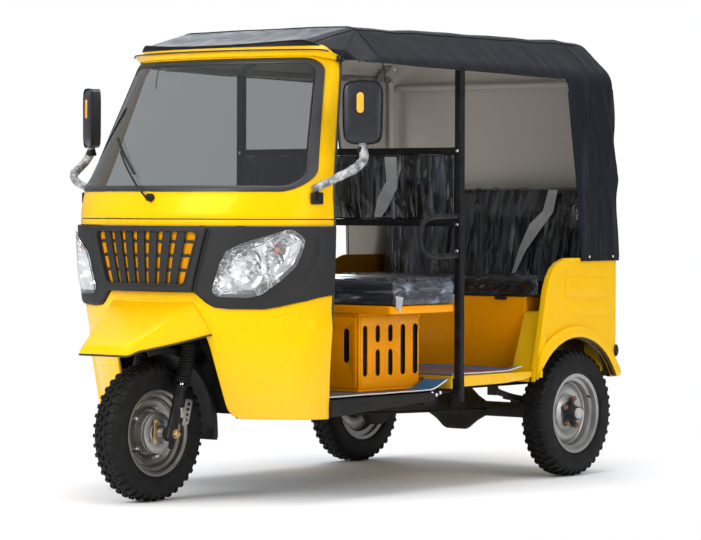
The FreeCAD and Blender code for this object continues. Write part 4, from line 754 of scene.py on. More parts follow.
def build_headlamps(context):
    for side in ("left", "right"):
        chrome, amber, lens, film = build_lamp(side)
        if side == "right":
            for piece in (chrome, amber, lens, film):
                reshape(piece, lambda p: Vector((-p.x, p.y, p.z)))
                piece.data.flip_normals()
        nodes = [["headlamp_bowls"], ["headlamp_lenses"]] if side == "left" else [[], []]
        place_on(chrome, "root", "lamp_chrome", material("chrome"), *nodes[0])
        place_on(amber, "root", "lamp_chrome", material("amber_glass"))
        place_on(lens, "root", "lamp_lens", material("lens_clear"), *nodes[1])
        place_on(film, "root", "lamp_lens", material("film"))


# Wiper and mirrors

def build_wiper(context):
    def stand(x, z, off):
        return Vector((x, skin_depth(x, z, off), z))
    boss = turned("wiper_boss", [(0.0, 0.0), (0.0, 0.015), (0.004, 0.017), (0.020, 0.015), (0.024, 0.009),
                                 (0.033, 0.008),
                                 (0.036, 0.0)], 28)
    normal = Vector((0, -1, 0.15)).normalized()
    boss.data.transform(Matrix.Translation(stand(0.016, 1.168, 0.0)) @
                        Vector((1, 0, 0)).rotation_difference(normal).to_matrix().to_4x4())
    smooth(boss, 35)
    start, end = Vector((0.016, 1.168)), Vector((-0.255, 1.350))
    line = [start.lerp(end, k / 6) for k in range(7)]
    arm = pipe("wiper_arm", [stand(p.x, p.y, 0.030 - 0.006 * k) for k, p in zip((0, 0, 0, 0, 0, 0.5, 1), line)],
               0.0042, 10)
    ends = Vector((-0.330, 1.405)), Vector((-0.110, 1.262))
    line = [ends[0].lerp(ends[1], k / 12) for k in range(13)]
    spine = pipe("wiper_spine", [stand(p.x, p.y, 0.021) for p in line], 0.0036, 10)
    rubber = pipe("wiper_rubber", [stand(p.x, p.y, 0.0125) for p in line], 0.0026, 8)
    web = pipe("wiper_web", [stand(p.x, p.y, 0.0165) for p in line], 0.0022, 8)
    whole = join([boss, arm, spine, rubber, web], "wiper_set")
    place_on(whole, "root", "black_paint", material("black_paint"), "wiper")


def build_mirrors(context):
    """Rounded mirror shells turned outwards, with a marker strip, on wrapped arms."""
    centre = Vector((0.713, 0.427, 1.495))
    turn = Matrix.Rotation(math.radians(33), 4, "Z")
    head = primitive("cube", "mirror_shell", size=1, location=(0, 0, 0))
    reshape(head, lambda p: Vector((p.x * 0.156, p.y * 0.046, p.z * 0.243)))
    apply_modifier(head, "BEVEL", width=0.001, segments=1, limit_method="ANGLE")
    activate(head)
    bpy.ops.object.mode_set(mode="EDIT")
    bpy.ops.mesh.select_all(action="SELECT")
    bpy.ops.mesh.subdivide(number_cuts=14)
    bpy.ops.object.mode_set(mode="OBJECT")

    def swell(p):
        x, z = p.x / 0.078, p.z / 0.1215
        round_x = math.copysign(abs(x) ** 1.0, x)
        front = -1 if p.y < 0 else 1
        fall = (1 - abs(x) ** 3.2) * (1 - abs(z) ** 3.4)
        depth = 0.023 * (0.25 + 0.75 * max(0.0, fall) ** 0.42) if front < 0 else 0.0225
        corner = (abs(x) ** 4.5 + abs(z) ** 5.5) ** (1 / 5.0) if abs(x) > 0.01 or abs(z) > 0.01 else 0
        shrink = 1.0
        if corner > 1.0:
            shrink = 1.0 / corner
        narrow = 1 - 0.045 * (1 - z) / 2
        return Vector((round_x * 0.078 * shrink * narrow, front * depth if abs(p.y) > 0.02 else p.y,
                       z * 0.1215 * shrink))
    reshape(head, swell)
    apply_modifier(head, "SUBSURF", levels=1, render_levels=1)
    smooth(head, 50)
    glass = prism("mirror_glass", rounded([(-0.066, -0.108), (0.066, -0.108), (0.068, 0.108), (-0.068, 0.108)],
                                          0.024), "Y",
                  0.0205, 0.0228)
    strip = prism("marker_strip", rounded([(-0.0215, -0.002), (0.0055, -0.002), (0.0055, 0.076), (-0.0215, 0.076)],
                                          0.013, 8), "Y",
                  -0.0262, -0.020)
    apply_modifier(strip, "BEVEL", width=0.004, segments=4, limit_method="ANGLE", angle_limit=math.radians(50))
    smooth(strip, 40)
    for piece in (head, glass, strip):
        piece.data.transform(Matrix.Translation(centre) @ turn)
    low = centre.z - 0.122
    route = [
        Vector((0.590, 0.292, 1.206)), Vector((0.612, 0.289, 1.214)), Vector((0.650, 0.288, 1.226)),
        Vector((0.690, 0.300, 1.246)),
        Vector((0.722, 0.335, 1.268)), Vector((0.735, 0.385, 1.292)), Vector((0.728, 0.420, 1.325)),
        Vector((0.716, 0.427, 1.352)),
        Vector((0.713, 0.427, low + 0.004))]
    arm = join([pipe("arm", route[:7], 0.0155, 24, steps=14), pipe("arm", route[4:], 0.0170, 24, steps=14)],
               "mirror_arm")

    def wrinkle(p):
        axis = noise.noise(p * 55) * 0.6 + noise.noise(p * 130) * 0.4
        spot = Vector((noise.noise(p * 40), noise.noise(p * 40 + Vector((7, 0, 0))),
                       noise.noise(p * 40 + Vector((0, 9, 0)))))
        return p + spot * 0.0028 + Vector((0, 0, axis * 0.0012))
    reshape(arm, wrinkle)
    smooth(arm, 28)
    collar = turned("arm_collar", [(0, 0.0), (0, 0.020), (0.006, 0.022), (0.030, 0.015), (0.036, 0.0)], 28,
                    axis="Z",
                    centre=(0.713, 0.427, low - 0.032))
    smooth(collar, 40)
    plate = primitive("cube", "bracket", size=1, location=(0.600, 0.291, 1.168))
    reshape(plate, lambda p: Vector((0.600 + (p.x - 0.600) * 0.022, 0.291 + (p.y - 0.291) * 0.056,
                                     1.168 + (p.z - 1.168) * 0.046)))
    soften(plate, 0.005, 3)
    bolt = primitive("cylinder", "bolt", vertices=6, radius=0.006, depth=0.012, location=(0.613, 0.281, 1.166),
                     rotation=(0, math.pi / 2, 0))
    soften(bolt, 0.001, 2)
    rod = pipe("arm_rod", [Vector((0.603, 0.291, 1.165)), Vector((0.600, 0.291, 1.210))], 0.0065, 14,
               smooth_path=False)
    whole = join([plate, collar, bolt, rod], "mirror_mount")
    for piece, slot, finish, nodes in (
            (head, "mirror_plastic", "mirror_plastic", ["mirror_heads"]),
            (glass, "lamp_chrome", "mirror_glass", []),
            (strip, "mirror_plastic", "marker_orange", []), (arm, "mirror_arm_wrap", "wrap_silver",
                                                             ["mirror_arms"]),
            (whole, "mirror_plastic", "black_paint", [])):
        place_on(both_sides(piece), "root", slot, material(finish), *nodes)


# Rear body

TUB_HALF = 0.615
TUB_REAR = 2.312
TUB_CORNER = 0.032
TUB_FRONT = [
    (1.6965, 0.408), (1.7000, 0.470), (1.7348, 0.620), (1.7690, 0.781), (1.7909, 0.836), (1.8210, 0.878),
    (1.8580, 0.903), (1.9178, 0.921)]
ARCH_CENTRE = Vector((1.975, 0.266))
ARCH_RADIUS = 0.312


def round_tub(y):
    """How far round the tub a place on its side lies, from the middle of the rear."""
    return TUB_HALF - TUB_CORNER + TUB_CORNER * math.pi / 2 + TUB_REAR - TUB_CORNER - y


def on_tub(point):
    """Bends a flat plate round the tub: X runs round it, Y is depth below its face."""
    around, depth = abs(point.x), -point.y
    side = -1 if point.x > 0 else 1
    flat = TUB_HALF - TUB_CORNER
    corner = TUB_CORNER * math.pi / 2
    if around <= flat:
        place = Vector((around, TUB_REAR + depth))
    elif around <= flat + corner:
        turn = (around - flat) / TUB_CORNER
        reach = TUB_CORNER + depth
        place = Vector((flat + reach * math.sin(turn), TUB_REAR - TUB_CORNER + reach * math.cos(turn)))
    else:
        place = Vector((TUB_HALF + depth, TUB_REAR - TUB_CORNER - (around - flat - corner)))
    return Vector((side * place.x, place.y, point.z))


def tub_side(outline):
    """An outline in Y and Z on the tub's side, laid out flat."""
    return [Vector((round_tub(y), z)) for y, z in outline]


def arch_run(radius, start_z, steps=40):
    """Points round a wheel arch, from behind the wheel to the front, clipped by the front edge."""
    points = []
    low = math.asin((start_z - ARCH_CENTRE.y) / radius)
    for index in range(steps + 1):
        turn = low + (math.pi - 2 * low) * index / steps
        y = ARCH_CENTRE.x + radius * math.cos(turn)
        z = ARCH_CENTRE.y + radius * math.sin(turn)
        points.append((max(y, crossing(TUB_FRONT, z)), z))
    return points


def tub_plate(name, outline, outward, wall, rim, rim_steps=3, across=0.02, upward=0.02):
    piece = flat_plate(name, outline, (), outward, wall, rim, rim_steps)
    grid_cut(piece, across, upward)
    return smooth(reshape(piece, on_tub), 40)


def build_tub(context):
    front = [tuple(p) for p in rounded([(1.6965, 0.40)] + TUB_FRONT[1:] + [(2.1, 0.921)],
                                       [0, 0.03, 0.1, 0.05, 0.05, 0.04, 0.05, 0.05, 0], 4)][:-1]
    half = [(0, 0.408)] + [(round_tub(y), z) for y, z in arch_run(ARCH_RADIUS, 0.408)]
    half += [(round_tub(y), z) for y, z in front if z > 0.412] + [(0, 0.921)]
    shell = tub_plate("tub_shell", [Vector(p) for p in evenly(mirrored(half), 0.03)], 0.0, 0.024, 0.003, 3, 0.03,
                      0.03)
    pieces = [shell]
    inner = inset_outline([Vector(p) for p in front], 0.042)
    inner[-1] = Vector(front[-1]) + (inner[-2] - Vector(front[-2]))
    flange_outer = [Vector(p) for p in front if p[1] > 0.44]
    count = len(front) - len(flange_outer)
    flange = flange_outer + list(reversed(inner[count:]))
    lip = arch_run(ARCH_RADIUS + 0.001, 0.409) + list(reversed(arch_run(ARCH_RADIUS + 0.056, 0.409)))
    tidy = []
    for point in lip:
        if not tidy or (Vector(point) - Vector(tidy[-1])).length > 0.002:
            tidy.append(point)
    overlays = [
        ("flange", flange, 0.0065, 0.010, 0.005, 0.02), ("arch_lip", tidy, 0.025, 0.034, 0.016, 0.02),
        ("upper_press", rounded([(1.905, 0.757), (2.222, 0.750), (2.228, 0.835), (1.915, 0.842)], 0.018), 0.0035,
         0.006, 0.0034, 0.05),
        ("lower_press", rounded([(1.968, 0.684), (2.262, 0.676), (2.262, 0.736), (1.968, 0.743)], 0.014), 0.0030,
         0.006, 0.0030, 0.05)]
    for name, outline, outward, wall, rim, cell in overlays:
        plate = tub_plate(name, tub_side(outline), outward, wall, rim, 5, cell, cell)
        pieces += [plate, mirrored_copy(plate, name + "_right")]
    rear = rounded([(-0.40, 0.50), (0.40, 0.50), (0.40, 0.82), (-0.40, 0.82)], 0.04)
    pieces.append(tub_plate("rear_press", rear, 0.005, 0.008, 0.005, 4, 0.1, 0.1))
    rail = [Vector(p) for p in evenly([(-round_tub(1.925), 0.905), (round_tub(1.925), 0.905),
                                       (round_tub(1.925), 0.921),
                                       (-round_tub(1.925), 0.921)], 0.05)]
    pieces.append(tub_plate("top_roll", rail, 0.004, 0.026, 0.0038, 4, 0.03, 0.02))
    place_on(join(pieces, "tub_bodywork"), "root", "body_paint", material("tub_paint"), "rear_body")

    lenses = []
    for name, low, high, finish in (("tail", 0.700, 0.788, "red_lens"), ("turn", 0.6420, 0.6965, "amber_lens")):
        lens = prism(name + "_lens", rounded([(0.489, low), (0.551, low), (0.551, high), (0.489, high)], 0.010, 5),
                     "Y",
                     TUB_REAR + 0.004, TUB_REAR + 0.0160)
        soften(lens, 0.004, 4, 50)
        lenses.append((both_sides(lens), finish))
    base = prism("lamp_base", rounded([(0.486, 0.639), (0.554, 0.639), (0.554, 0.791), (0.486, 0.791)], 0.010, 5),
                 "Y",
                 TUB_REAR + 0.0003, TUB_REAR + 0.007)
    soften(base, 0.002, 2, 50)
    place_on(both_sides(base), "root", "black_paint", material("black_paint"))
    for index, (piece, finish) in enumerate(lenses):
        place_on(piece, "root", "lamp_red", material(finish), *(["rear_lamps"] if index == 0 else []))
    plate = prism("number_plate", rounded([(-0.15, 0.545), (0.15, 0.545), (0.15, 0.665), (-0.15, 0.665)], 0.008),
                  "Y",
                  TUB_REAR + 0.0052, TUB_REAR + 0.0075)
    soften(plate, 0.0006, 2, 50)
    place_on(plate, "root", "body_paint", material("plate_white"))


# Fabric roof

CLOTH_HEM = 0.903


def lerp_rows(value, rows):
    """Straight interpolation in a table of (place, value) rows, over an array."""
    return numpy.interp(value, [row[0] for row in rows], [row[1] for row in rows])


def rounded_max(a, b, radius):
    """The larger of two distances, with a round edge of the radius where they meet."""
    u, v = numpy.maximum(a + radius, 0), numpy.maximum(b + radius, 0)
    return numpy.minimum(numpy.maximum(a, b), -radius) + numpy.sqrt(u * u + v * v)


def cloth_distance(x, y, z):
    """How far outside the stretched cloth a point lies, over arrays."""
    wide = numpy.abs(x)
    side = wide - lerp_rows(z, [(0.903, 0.6255), (1.223, 0.611), (1.70, 0.603), (1.85, 0.600)])
    drawn_in = lerp_rows(y, [(0.45, 0.085), (0.56, 0.045), (0.70, 0.0)])
    shoulder = 0.690 * (wide - 0.600 + drawn_in) + 0.724 * (z - 1.700)
    crown = lerp_rows(y, [(0.30, 1.7550), (0.3325, 1.7620), (0.39, 1.7755), (0.459, 1.7870), (0.70, 1.8460),
                          (0.95, 1.8440),
                          (1.213, 1.8520), (1.45, 1.8485), (1.65, 1.8515), (1.90, 1.8480), (2.112, 1.8520),
                          (2.302, 1.8400)])
    top = z - (crown - 0.002 * (wide / 0.455) ** 2)
    rear = y - lerp_rows(z, [(0.903, 2.3205), (1.852, 2.3005)])
    walls = rounded_max(rounded_max(side, shoulder, 0.030), top, 0.020)
    return rounded_max(walls, rear, numpy.interp(z, [1.55, 1.75], [0.030, 0.062]))


def cloth_front(x):
    """The roof's front edge, which follows the peak and runs back past its ends."""
    wide = numpy.abs(x)
    inside = 0.560 - 0.2275 * numpy.sqrt(numpy.maximum(0, 1 - (wide / 0.508) ** 2))
    return numpy.where(wide < 0.508, inside, 0.560 + (wide - 0.508) * 0.54)


def cloth_folds(x, y, z):
    """Soft waves: fanned creases on the rear quarters and puckers along the eaves."""
    wide = numpy.abs(x)
    quarter = numpy.clip((y - 1.98) / 0.10, 0, 1) * numpy.clip((1.66 - z) / 0.12, 0, 1) * (wide > 0.55)
    lean = y - (1.63 - z) * 0.30
    waves = numpy.zeros_like(x)
    for place, width, height in ((2.045, 0.022, 0.010), (2.095, 0.014, 0.013), (2.150, 0.020, -0.008),
                                 (2.188, 0.012, 0.013),
                                 (2.235, 0.013, -0.007)):
        waves += height * numpy.exp(-((lean - place) / width) ** 2)
    fade = numpy.clip((z - 0.96) / 0.35, 0, 1)
    pucker = 0.0022 * numpy.sin(y * 61 + numpy.sin(y * 17) * 2) * numpy.exp(-((z - 1.745) / 0.05) ** 2)
    drape = 0.0030 * numpy.sin(x * 9 + 1.0) * numpy.sin(z * 5.2) * (y > 2.2) * (wide < 0.56)
    ripple = 0.0016 * numpy.sin(y * 23 + x * 4) * numpy.sin(x * 11 + y * 3) * (z > 1.8)
    return quarter * waves * fade + pucker * (wide > 0.45) + drape + ripple


def cloth_points(start, anchor, folds=True):
    """Slides points on straight lines from their anchors until they meet the cloth."""
    low = numpy.zeros(len(start))
    high = numpy.ones(len(start))
    for _ in range(26):
        middle = (low + high) / 2
        point = anchor + (start - anchor) * middle[:, None]
        inside = cloth_distance(*point.T) < 0
        low = numpy.where(inside, middle, low)
        high = numpy.where(inside, high, middle)
    point = anchor + (start - anchor) * low[:, None]
    if folds:
        direction = start - anchor
        direction /= numpy.linalg.norm(direction, axis=1)[:, None]
        point = point + direction * cloth_folds(*point.T)[:, None]
    return point


def cloth_anchor(start):
    """The inner ends of the lines on which the net's points slide."""
    return numpy.stack([
        numpy.clip(start[:, 0], -0.40, 0.40), numpy.clip(start[:, 1], -1, 2.05), numpy.minimum(start[:, 2], 1.58)],
        1)


def cloth_front_line(x, z):
    """How far back the net starts, for points that slide in from x and z."""
    y = numpy.full_like(x, 0.60)
    for _ in range(3):
        start = numpy.stack([x, y, z], 1)
        y = cloth_front(cloth_points(start, cloth_anchor(start), folds=False)[:, 0])
    return y


def cloth_grid(chart, columns, rows):
    """One chart of the cloth's net: the roof, the back or the left side."""
    a, b = numpy.meshgrid(numpy.linspace(0, 1, columns + 1), numpy.linspace(0, 1, rows + 1), indexing="ij")
    a, b = a.ravel(), b.ravel()
    x_half, y_rear, top = 0.70, 2.42, 1.95
    if chart == "roof":
        x = (a * 2 - 1) * x_half
        y = cloth_front_line(x, numpy.full_like(x, top)) * (1 - b) + y_rear * b
        start = numpy.stack([x, y, numpy.full_like(x, top)], 1)
    elif chart == "back":
        start = numpy.stack([(a * 2 - 1) * x_half, numpy.full_like(a, y_rear), top + (CLOTH_HEM - top) * b], 1)
    else:
        z = top + (CLOTH_HEM - top) * b
        y = cloth_front_line(numpy.full_like(a, x_half), z) * (1 - a) + y_rear * a
        start = numpy.stack([numpy.full_like(a, x_half), y, z], 1)
    return cloth_points(start, cloth_anchor(start))


def cloth_at(x, y, z):
    """The cloth's surface near a place, for seams and hems."""
    start = numpy.array([[x, y, z]], float)
    anchor = numpy.array([[max(-0.40, min(0.40, x)), min(y, 2.05), min(z, 1.58)]])
    out = anchor + (start - anchor) * 1.6
    return Vector(cloth_points(out, anchor)[0])


def cloth_beside(side, y, z):
    """The cloth's side wall at a height, for hems and studs."""
    start = numpy.array([[side * 0.75, y, z]])
    return Vector(cloth_points(start, numpy.array([[side * 0.40, min(y, 2.20), z]]))[0])


def cloth_above(x, y):
    """The roof cloth right above a place."""
    start = numpy.array([[x, y, 1.95]])
    return Vector(cloth_points(start, numpy.array([[x, min(y, 2.15), 1.60]]))[0])


def corner_drop(roof, side_wall, columns, rows, down):
    """The front corner's short wall, from the net's edge down to the cab."""
    edge = [roof[i * (rows + 1)] for i in range(columns + 1) if roof[i * (rows + 1)][0] > -0.0001]
    edge += [side_wall[j] for j in range(1, down + 1) if side_wall[j][2] > 1.706]
    low = [min(p[2] - 0.004, float(numpy.interp(p[0], [0, 0.455, 0.495, 0.515], [1.7500, 1.7500, 1.715, 1.7030])))
           for p in edge]
    points = [(p[0], p[1], p[2] + (end - p[2]) * k / 4) for p, end in zip(edge, low) for k in range(5)]
    faces = [(5 * i + k, 5 * i + 5 + k, 5 * i + 6 + k, 5 * i + 1 + k) for i in range(len(edge) - 1)
             for k in range(4)]
    return points, faces


def build_canopy(context):
    across, along_y, down = 84, 132, 74
    points, faces = [], []
    for chart, columns, rows in (("roof", across, along_y), ("back", across, down), ("left", along_y, down),
                                 ("right", along_y, down)):
        grid = cloth_grid("left" if chart == "right" else chart, columns, rows)
        if chart == "right":
            grid = grid * numpy.array([-1, 1, 1])
        base = len(points)
        points += [tuple(point) for point in grid]
        for i in range(columns):
            for j in range(rows):
                k = base + i * (rows + 1) + j
                faces.append((k, k + rows + 1, k + rows + 2, k + 1))
    drop, drop_faces = corner_drop(cloth_grid("roof", across, along_y), cloth_grid("left", along_y, down), across,
                                   along_y, down)
    for side in (-1, 1):
        base = len(points)
        points += [(p[0] * side, p[1], p[2]) for p in drop]
        faces += [tuple(base + index for index in face) for face in drop_faces]
    sheet = mesh_piece("canopy_sheet", points, faces)
    activate(sheet)
    bpy.ops.object.mode_set(mode="EDIT")
    bpy.ops.mesh.select_all(action="SELECT")
    bpy.ops.mesh.remove_doubles(threshold=0.0006)
    bpy.ops.mesh.normals_make_consistent(inside=False)
    bpy.ops.object.mode_set(mode="OBJECT")
    apply_modifier(sheet, "SMOOTH", factor=0.5, iterations=3)
    highest = max(sheet.data.polygons, key=lambda face: face.center.z)
    if highest.normal.z < 0:
        sheet.data.flip_normals()
    sheet.data.materials.append(material("canopy_cloth"))
    sheet.data.materials.append(material("lining"))
    apply_modifier(sheet, "SOLIDIFY", thickness=0.0035, offset=-1, material_offset=1)
    opening = rounded([
        (0.20, 0.80), (0.20, 1.6995), (0.62, 1.6985), (1.137, 1.6865), (1.476, 1.6815), (1.945, 1.6715),
        (2.005, 1.223), (2.019, 0.80)],
        [0, 0, 0.2, 0.2, 0.2, 0.045, 0.2, 0], 6)
    cut(sheet, prism("opening", opening, "X", 0.0, 0.8))
    far = [(p[0] - (float(numpy.interp(p[1], [0.8, 1.15, 1.3], [0.030, 0.035, 0.075])) if p[0] > 1.8 else 0.0),
            p[1])
           for p in opening]
    cut(sheet, prism("far_opening", far, "X", -0.8, 0.0))
    smooth(sheet, 50)
    inner = material("lining")
    place_on(sheet, "root", "canopy_cloth", material("canopy_cloth"), "canopy")
    sheet.data.materials.append(inner)
    for face in sheet.data.polygons:
        centre = face.center - Vector((0, FRONT_AXLE.y, 0))
        away = centre - Vector((0, min(centre.y, 2.0), min(centre.z, 1.5)))
        face.material_index = 1 if face.normal.dot(away.normalized()) < -0.25 else 0
    hems = build_canopy_seams()


def build_canopy_seams():
    """Piping along the eaves and bows, the turned hems, and the stud buttons along the bottom."""
    lines = []
    for side in (-1, 1):
        lines.append(("eave", [cloth_above(side * 0.462, y) for y in [0.70 + 1.52 * k / 34 for k in range(35)]]))
        lines.append(("gusset", [cloth_above(side * (0.512 - 0.057 * k / 8), 0.566 + 0.140 * k / 8)
                                 for k in range(9)]))
        lines.append(("gusset", [cloth_above(side * (0.440 + 0.015 * k / 8), 0.452 + 0.254 * k / 8)
                                 for k in range(9)]))
    for y in (0.70, 2.115):
        sweep = [cloth_at(0.70 * math.sin(turn), y, 1.2 + 0.9 * math.cos(turn)) for turn in
                 [math.radians(-62 + 124 * k / 40) for k in range(41)]]
        lines.append(("bow", sweep))
    sweep = [cloth_at(x, 2.42, 1.93) for x in [-0.55 + 1.1 * k / 24 for k in range(25)]]
    lines.append(("rear_bow", sweep))
    for side in (-1, 1):
        lines.append(("corner", [cloth_at(side * 0.66, 2.37, 1.66 - 0.74 * k / 24) for k in range(25)]))
    bead = join([pipe(name, line, 0.0024, 8) for name, line in lines], "canopy_piping")
    place_on(bead, "root", "canopy_cloth", material("piping"))
    hem_lines = []
    for side in (-1, 1):
        edge = [(0.62, 1.701), (0.90, 1.694), (1.137, 1.6895), (1.476, 1.6845), (1.90, 1.6755)]
        hem_lines.append([cloth_beside(side, y, z) + Vector((side * -0.001, 0, 0.001)) for y, z in edge])
        edge = [(1.948, 1.62), (1.978, 1.40), (2.006, 1.223), (2.0135, 1.05), (2.0205, 0.912)]
        if side < 0:
            edge = [(y - float(numpy.interp(z, [0.8, 1.15, 1.3], [0.030, 0.035, 0.075])), z) for y, z in edge]
        hem_lines.append([cloth_beside(side, y, z) + Vector((side * -0.001, 0.001, 0)) for y, z in edge])
    places = [-0.500 + k / 40 for k in range(41)]
    hem_lines.append([cloth_above(x, float(cloth_front(numpy.array(x))) + 0.002) for x in places])
    hems = join([pipe("hem", line, 0.0042, 8) for line in hem_lines], "canopy_hems")
    place_on(hems, "root", "canopy_cloth", material("piping"))
    studs = []
    for side in (-1, 1):
        for y in (2.078, 2.285):
            at = cloth_beside(side, y, 0.925)
            studs.append(primitive("uv_sphere", "stud", segments=14, ring_count=8, radius=0.006, location=at))
            reshape(studs[-1], lambda p, at=at: Vector((at.x + (p.x - at.x) * 0.5, p.y, p.z)))
    for x in (-0.45, -0.225, 0.0, 0.225, 0.45):
        at = cloth_at(x, 2.42, 0.925)
        studs.append(primitive("uv_sphere", "stud", segments=14, ring_count=8, radius=0.006, location=at))
        reshape(studs[-1], lambda p, at=at: Vector((p.x, at.y + (p.y - at.y) * 0.5, p.z)))
    buttons = smooth(join(studs, "canopy_studs"), 60)
    place_on(buttons, "root", "spring_steel", material("bright_steel"))
    return [bead, hems, buttons]


def build_roof_tubes(context):
    pieces, uprights = [], []
    for side in (-1, 1):
        route = [Vector(p) for p in ((side * 0.470, 0.575, 1.742), (side * 0.515, 0.640, 1.723),
                                     (side * 0.560, 0.700, 1.703),
                                     (side * 0.560, 0.78, 1.703), (side * 0.560, 1.4, 1.703),
                                     (side * 0.560, 2.10, 1.703),
                                     (side * 0.560, 2.206, 1.703))]
        pieces.append(pipe("side_rail", route, 0.0125, 20, steps=10))
        route = [Vector(p) for p in ((side * 0.560, 2.204, 1.703), (side * 0.560, 2.215, 1.700),
                                     (side * 0.563, 2.224, 1.60),
                                     (side * 0.568, 2.235, 1.2), (side * 0.575, 2.245, 0.7012))]
        uprights.append(pipe("upright", route, 0.0125, 20, steps=10))
    for y in (0.714, 1.213, 1.650, 2.112):
        route = [Vector((x, y, z)) for x, z in (
            (-0.560, 1.700), (-0.535, 1.722), (-0.450, 1.798), (-0.425, 1.811), (-0.38, 1.812), (0.0, 1.812),
            (0.38, 1.812),
            (0.425, 1.811), (0.450, 1.798), (0.535, 1.722), (0.560, 1.700))]
        pieces.append(pipe("bow", route, 0.0125, 20, steps=8))
    cross = [Vector((x, 2.272, 1.668)) for x in (-0.566, -0.30, 0.0, 0.30, 0.566)]
    uprights.append(pipe("rear_cross", cross, 0.0125, 20, steps=4))
    place_on(join(uprights, "sleeved_uprights"), "root", "canopy_cloth", material("lining"))
    place_on(join(pieces, "roof_tubes"), "root", "black_paint", material("tube_grey"), "roof_frame")


# Wheels, turned about the X axis

def build_tyre(name, centre, body, node):
    """A four-ply tyre with bevelled shoulder lugs and a zigzag centre, and ribbed sides."""
    carcass = [
        (-0.034, 0.1586), (-0.0463, 0.1590), (-0.0480, 0.1750), (-0.0520, 0.1830), (-0.0535, 0.1850),
        (-0.0545, 0.1835),
        (-0.0558, 0.1980), (-0.0560, 0.2150), (-0.0556, 0.2290), (-0.0540, 0.2370), (-0.0548, 0.2382),
        (-0.0536, 0.2398), (-0.0505, 0.2460),
        (-0.0440, 0.2530), (-0.0300, 0.2562), (-0.0150, 0.2572), (0.0, 0.2575)]
    full = carcass + [(-a, r) for a, r in reversed(carcass[:-1])]
    body_ring = turned("carcass", full, 96)
    smooth(body_ring, 30)
    count = 42
    lug_profile = [
        (0.0555, 0.2330, 0.006), (0.0556, 0.2440, 0.0062), (0.0480, 0.2590, 0.0066), (0.0440, 0.2628, 0.0066),
        (0.0235, 0.2652, 0.0058)]
    block = []
    for a, r, half in lug_profile:
        block += [(a, -half, r), (a, half, r)]
    depth = []
    for a, r, half in lug_profile:
        low = 0.0125 if r > 0.25 else 0.006
        depth += [(a - (0.004 if r < 0.25 else 0.0), -half - 0.0012, r - low),
                  (a - (0.004 if r < 0.25 else 0.0), half + 0.0012, r - low)]
    rows = len(lug_profile)
    vertices = block + depth
    polygons = []
    for k in range(rows - 1):
        i = 2 * k
        polygons.append((i, i + 1, i + 3, i + 2))
        polygons.append((i + 1, 2 * rows + i + 1, 2 * rows + i + 3, i + 3))
        polygons.append((2 * rows + i, i, i + 2, 2 * rows + i + 2))
    polygons.append((0, 2 * rows, 2 * rows + 1, 1))
    last = 2 * (rows - 1)
    polygons.append((last + 1, 2 * rows + last + 1, 2 * rows + last, last))
    lug = mesh_piece("lug", vertices, polygons)
    face_outwards(lug)
    apply_modifier(lug, "BEVEL", width=0.0011, segments=1, limit_method="ANGLE", angle_limit=math.radians(35))
    centre_block = mesh_piece("rib", [
        (-0.0210, -0.0135, 0.254), (-0.0045, -0.0060, 0.254), (-0.0045, 0.0125, 0.254), (-0.0210, 0.0050, 0.254),
        (-0.0205, -0.0125, 0.2655), (-0.0055, -0.0052, 0.2658), (-0.0055, 0.0112, 0.2658),
        (-0.0205, 0.0040, 0.2655)],
        [(0, 3, 2, 1), (4, 5, 6, 7), (0, 1, 5, 4), (1, 2, 6, 5), (2, 3, 7, 6), (3, 0, 4, 7)])
    apply_modifier(centre_block, "BEVEL", width=0.0011, segments=1, limit_method="ANGLE",
                   angle_limit=math.radians(35))
    kinds = []
    for side in (1, -1):
        for source, shift in ((lug, 0.0 if side > 0 else 0.5), (centre_block, 0.25 if side > 0 else 0.75)):
            kinds.append((source, side, shift))
    vertices, polygons = [], []
    for source, side, shift in kinds:
        points = [vertex.co.copy() for vertex in source.data.vertices]
        loops = [tuple(face.vertices) for face in source.data.polygons]
        for index in range(count):
            turn = math.tau * (index + shift) / count
            base = len(vertices)
            for p in points:
                radius = p.z
                angle = turn + side * p.y / 0.262
                slant = side * 0.035 * (abs(p.x) - 0.03) / 0.262 * 2
                angle += slant
                x = p.x * side if source is lug else (p.x if side > 0 else -p.x)
                vertices.append((x, radius * math.sin(angle), radius * math.cos(angle)))
            for loop in loops:
                polygons.append(tuple(base + k for k in loop))
    tread = mesh_piece("tread", vertices, polygons)
    face_outwards(tread)
    remove(lug)
    remove(centre_block)
    smooth(tread, 20)
    whole = join([body_ring, tread], name)
    whole.data.transform(Matrix.Translation(centre))
    return place_on(whole, body, "tyre_rubber", material("tyre_rubber"), node)


def rim_profile(disc_x):
    """The barrel and its outer flange, then the disc down to the hub, as one turned wall."""
    return [
        (0.0480, 0.1680), (0.0500, 0.1672), (0.0502, 0.1640), (0.0488, 0.1590), (0.0470, 0.1530), (0.0400, 0.1520),
        (0.0310, 0.1515), (0.0270, 0.1500), (0.0250, 0.1440), (0.0240, 0.1360), (disc_x + 0.006, 0.1345),
        (disc_x + 0.002, 0.1320)]


def nuts_ring(count, ring_radius, place_x, size, start=0.0, steps=6):
    nuts = []
    for index in range(count):
        turn = start + math.tau * index / count
        at = (place_x, ring_radius * math.sin(turn), ring_radius * math.cos(turn))
        nut = primitive("cylinder", "nut", vertices=steps, radius=size, depth=size * 1.5, location=at,
                        rotation=(0, math.pi / 2, 0))
        soften(nut, size * 0.14, 2, 30)
        stud = primitive("cylinder", "stud", vertices=16, radius=size * 0.5, depth=size * 2.6, location=at,
                         rotation=(0, math.pi / 2, 0))
        soften(stud, size * 0.08, 1, 30)
        nuts += [nut, stud]
    return nuts


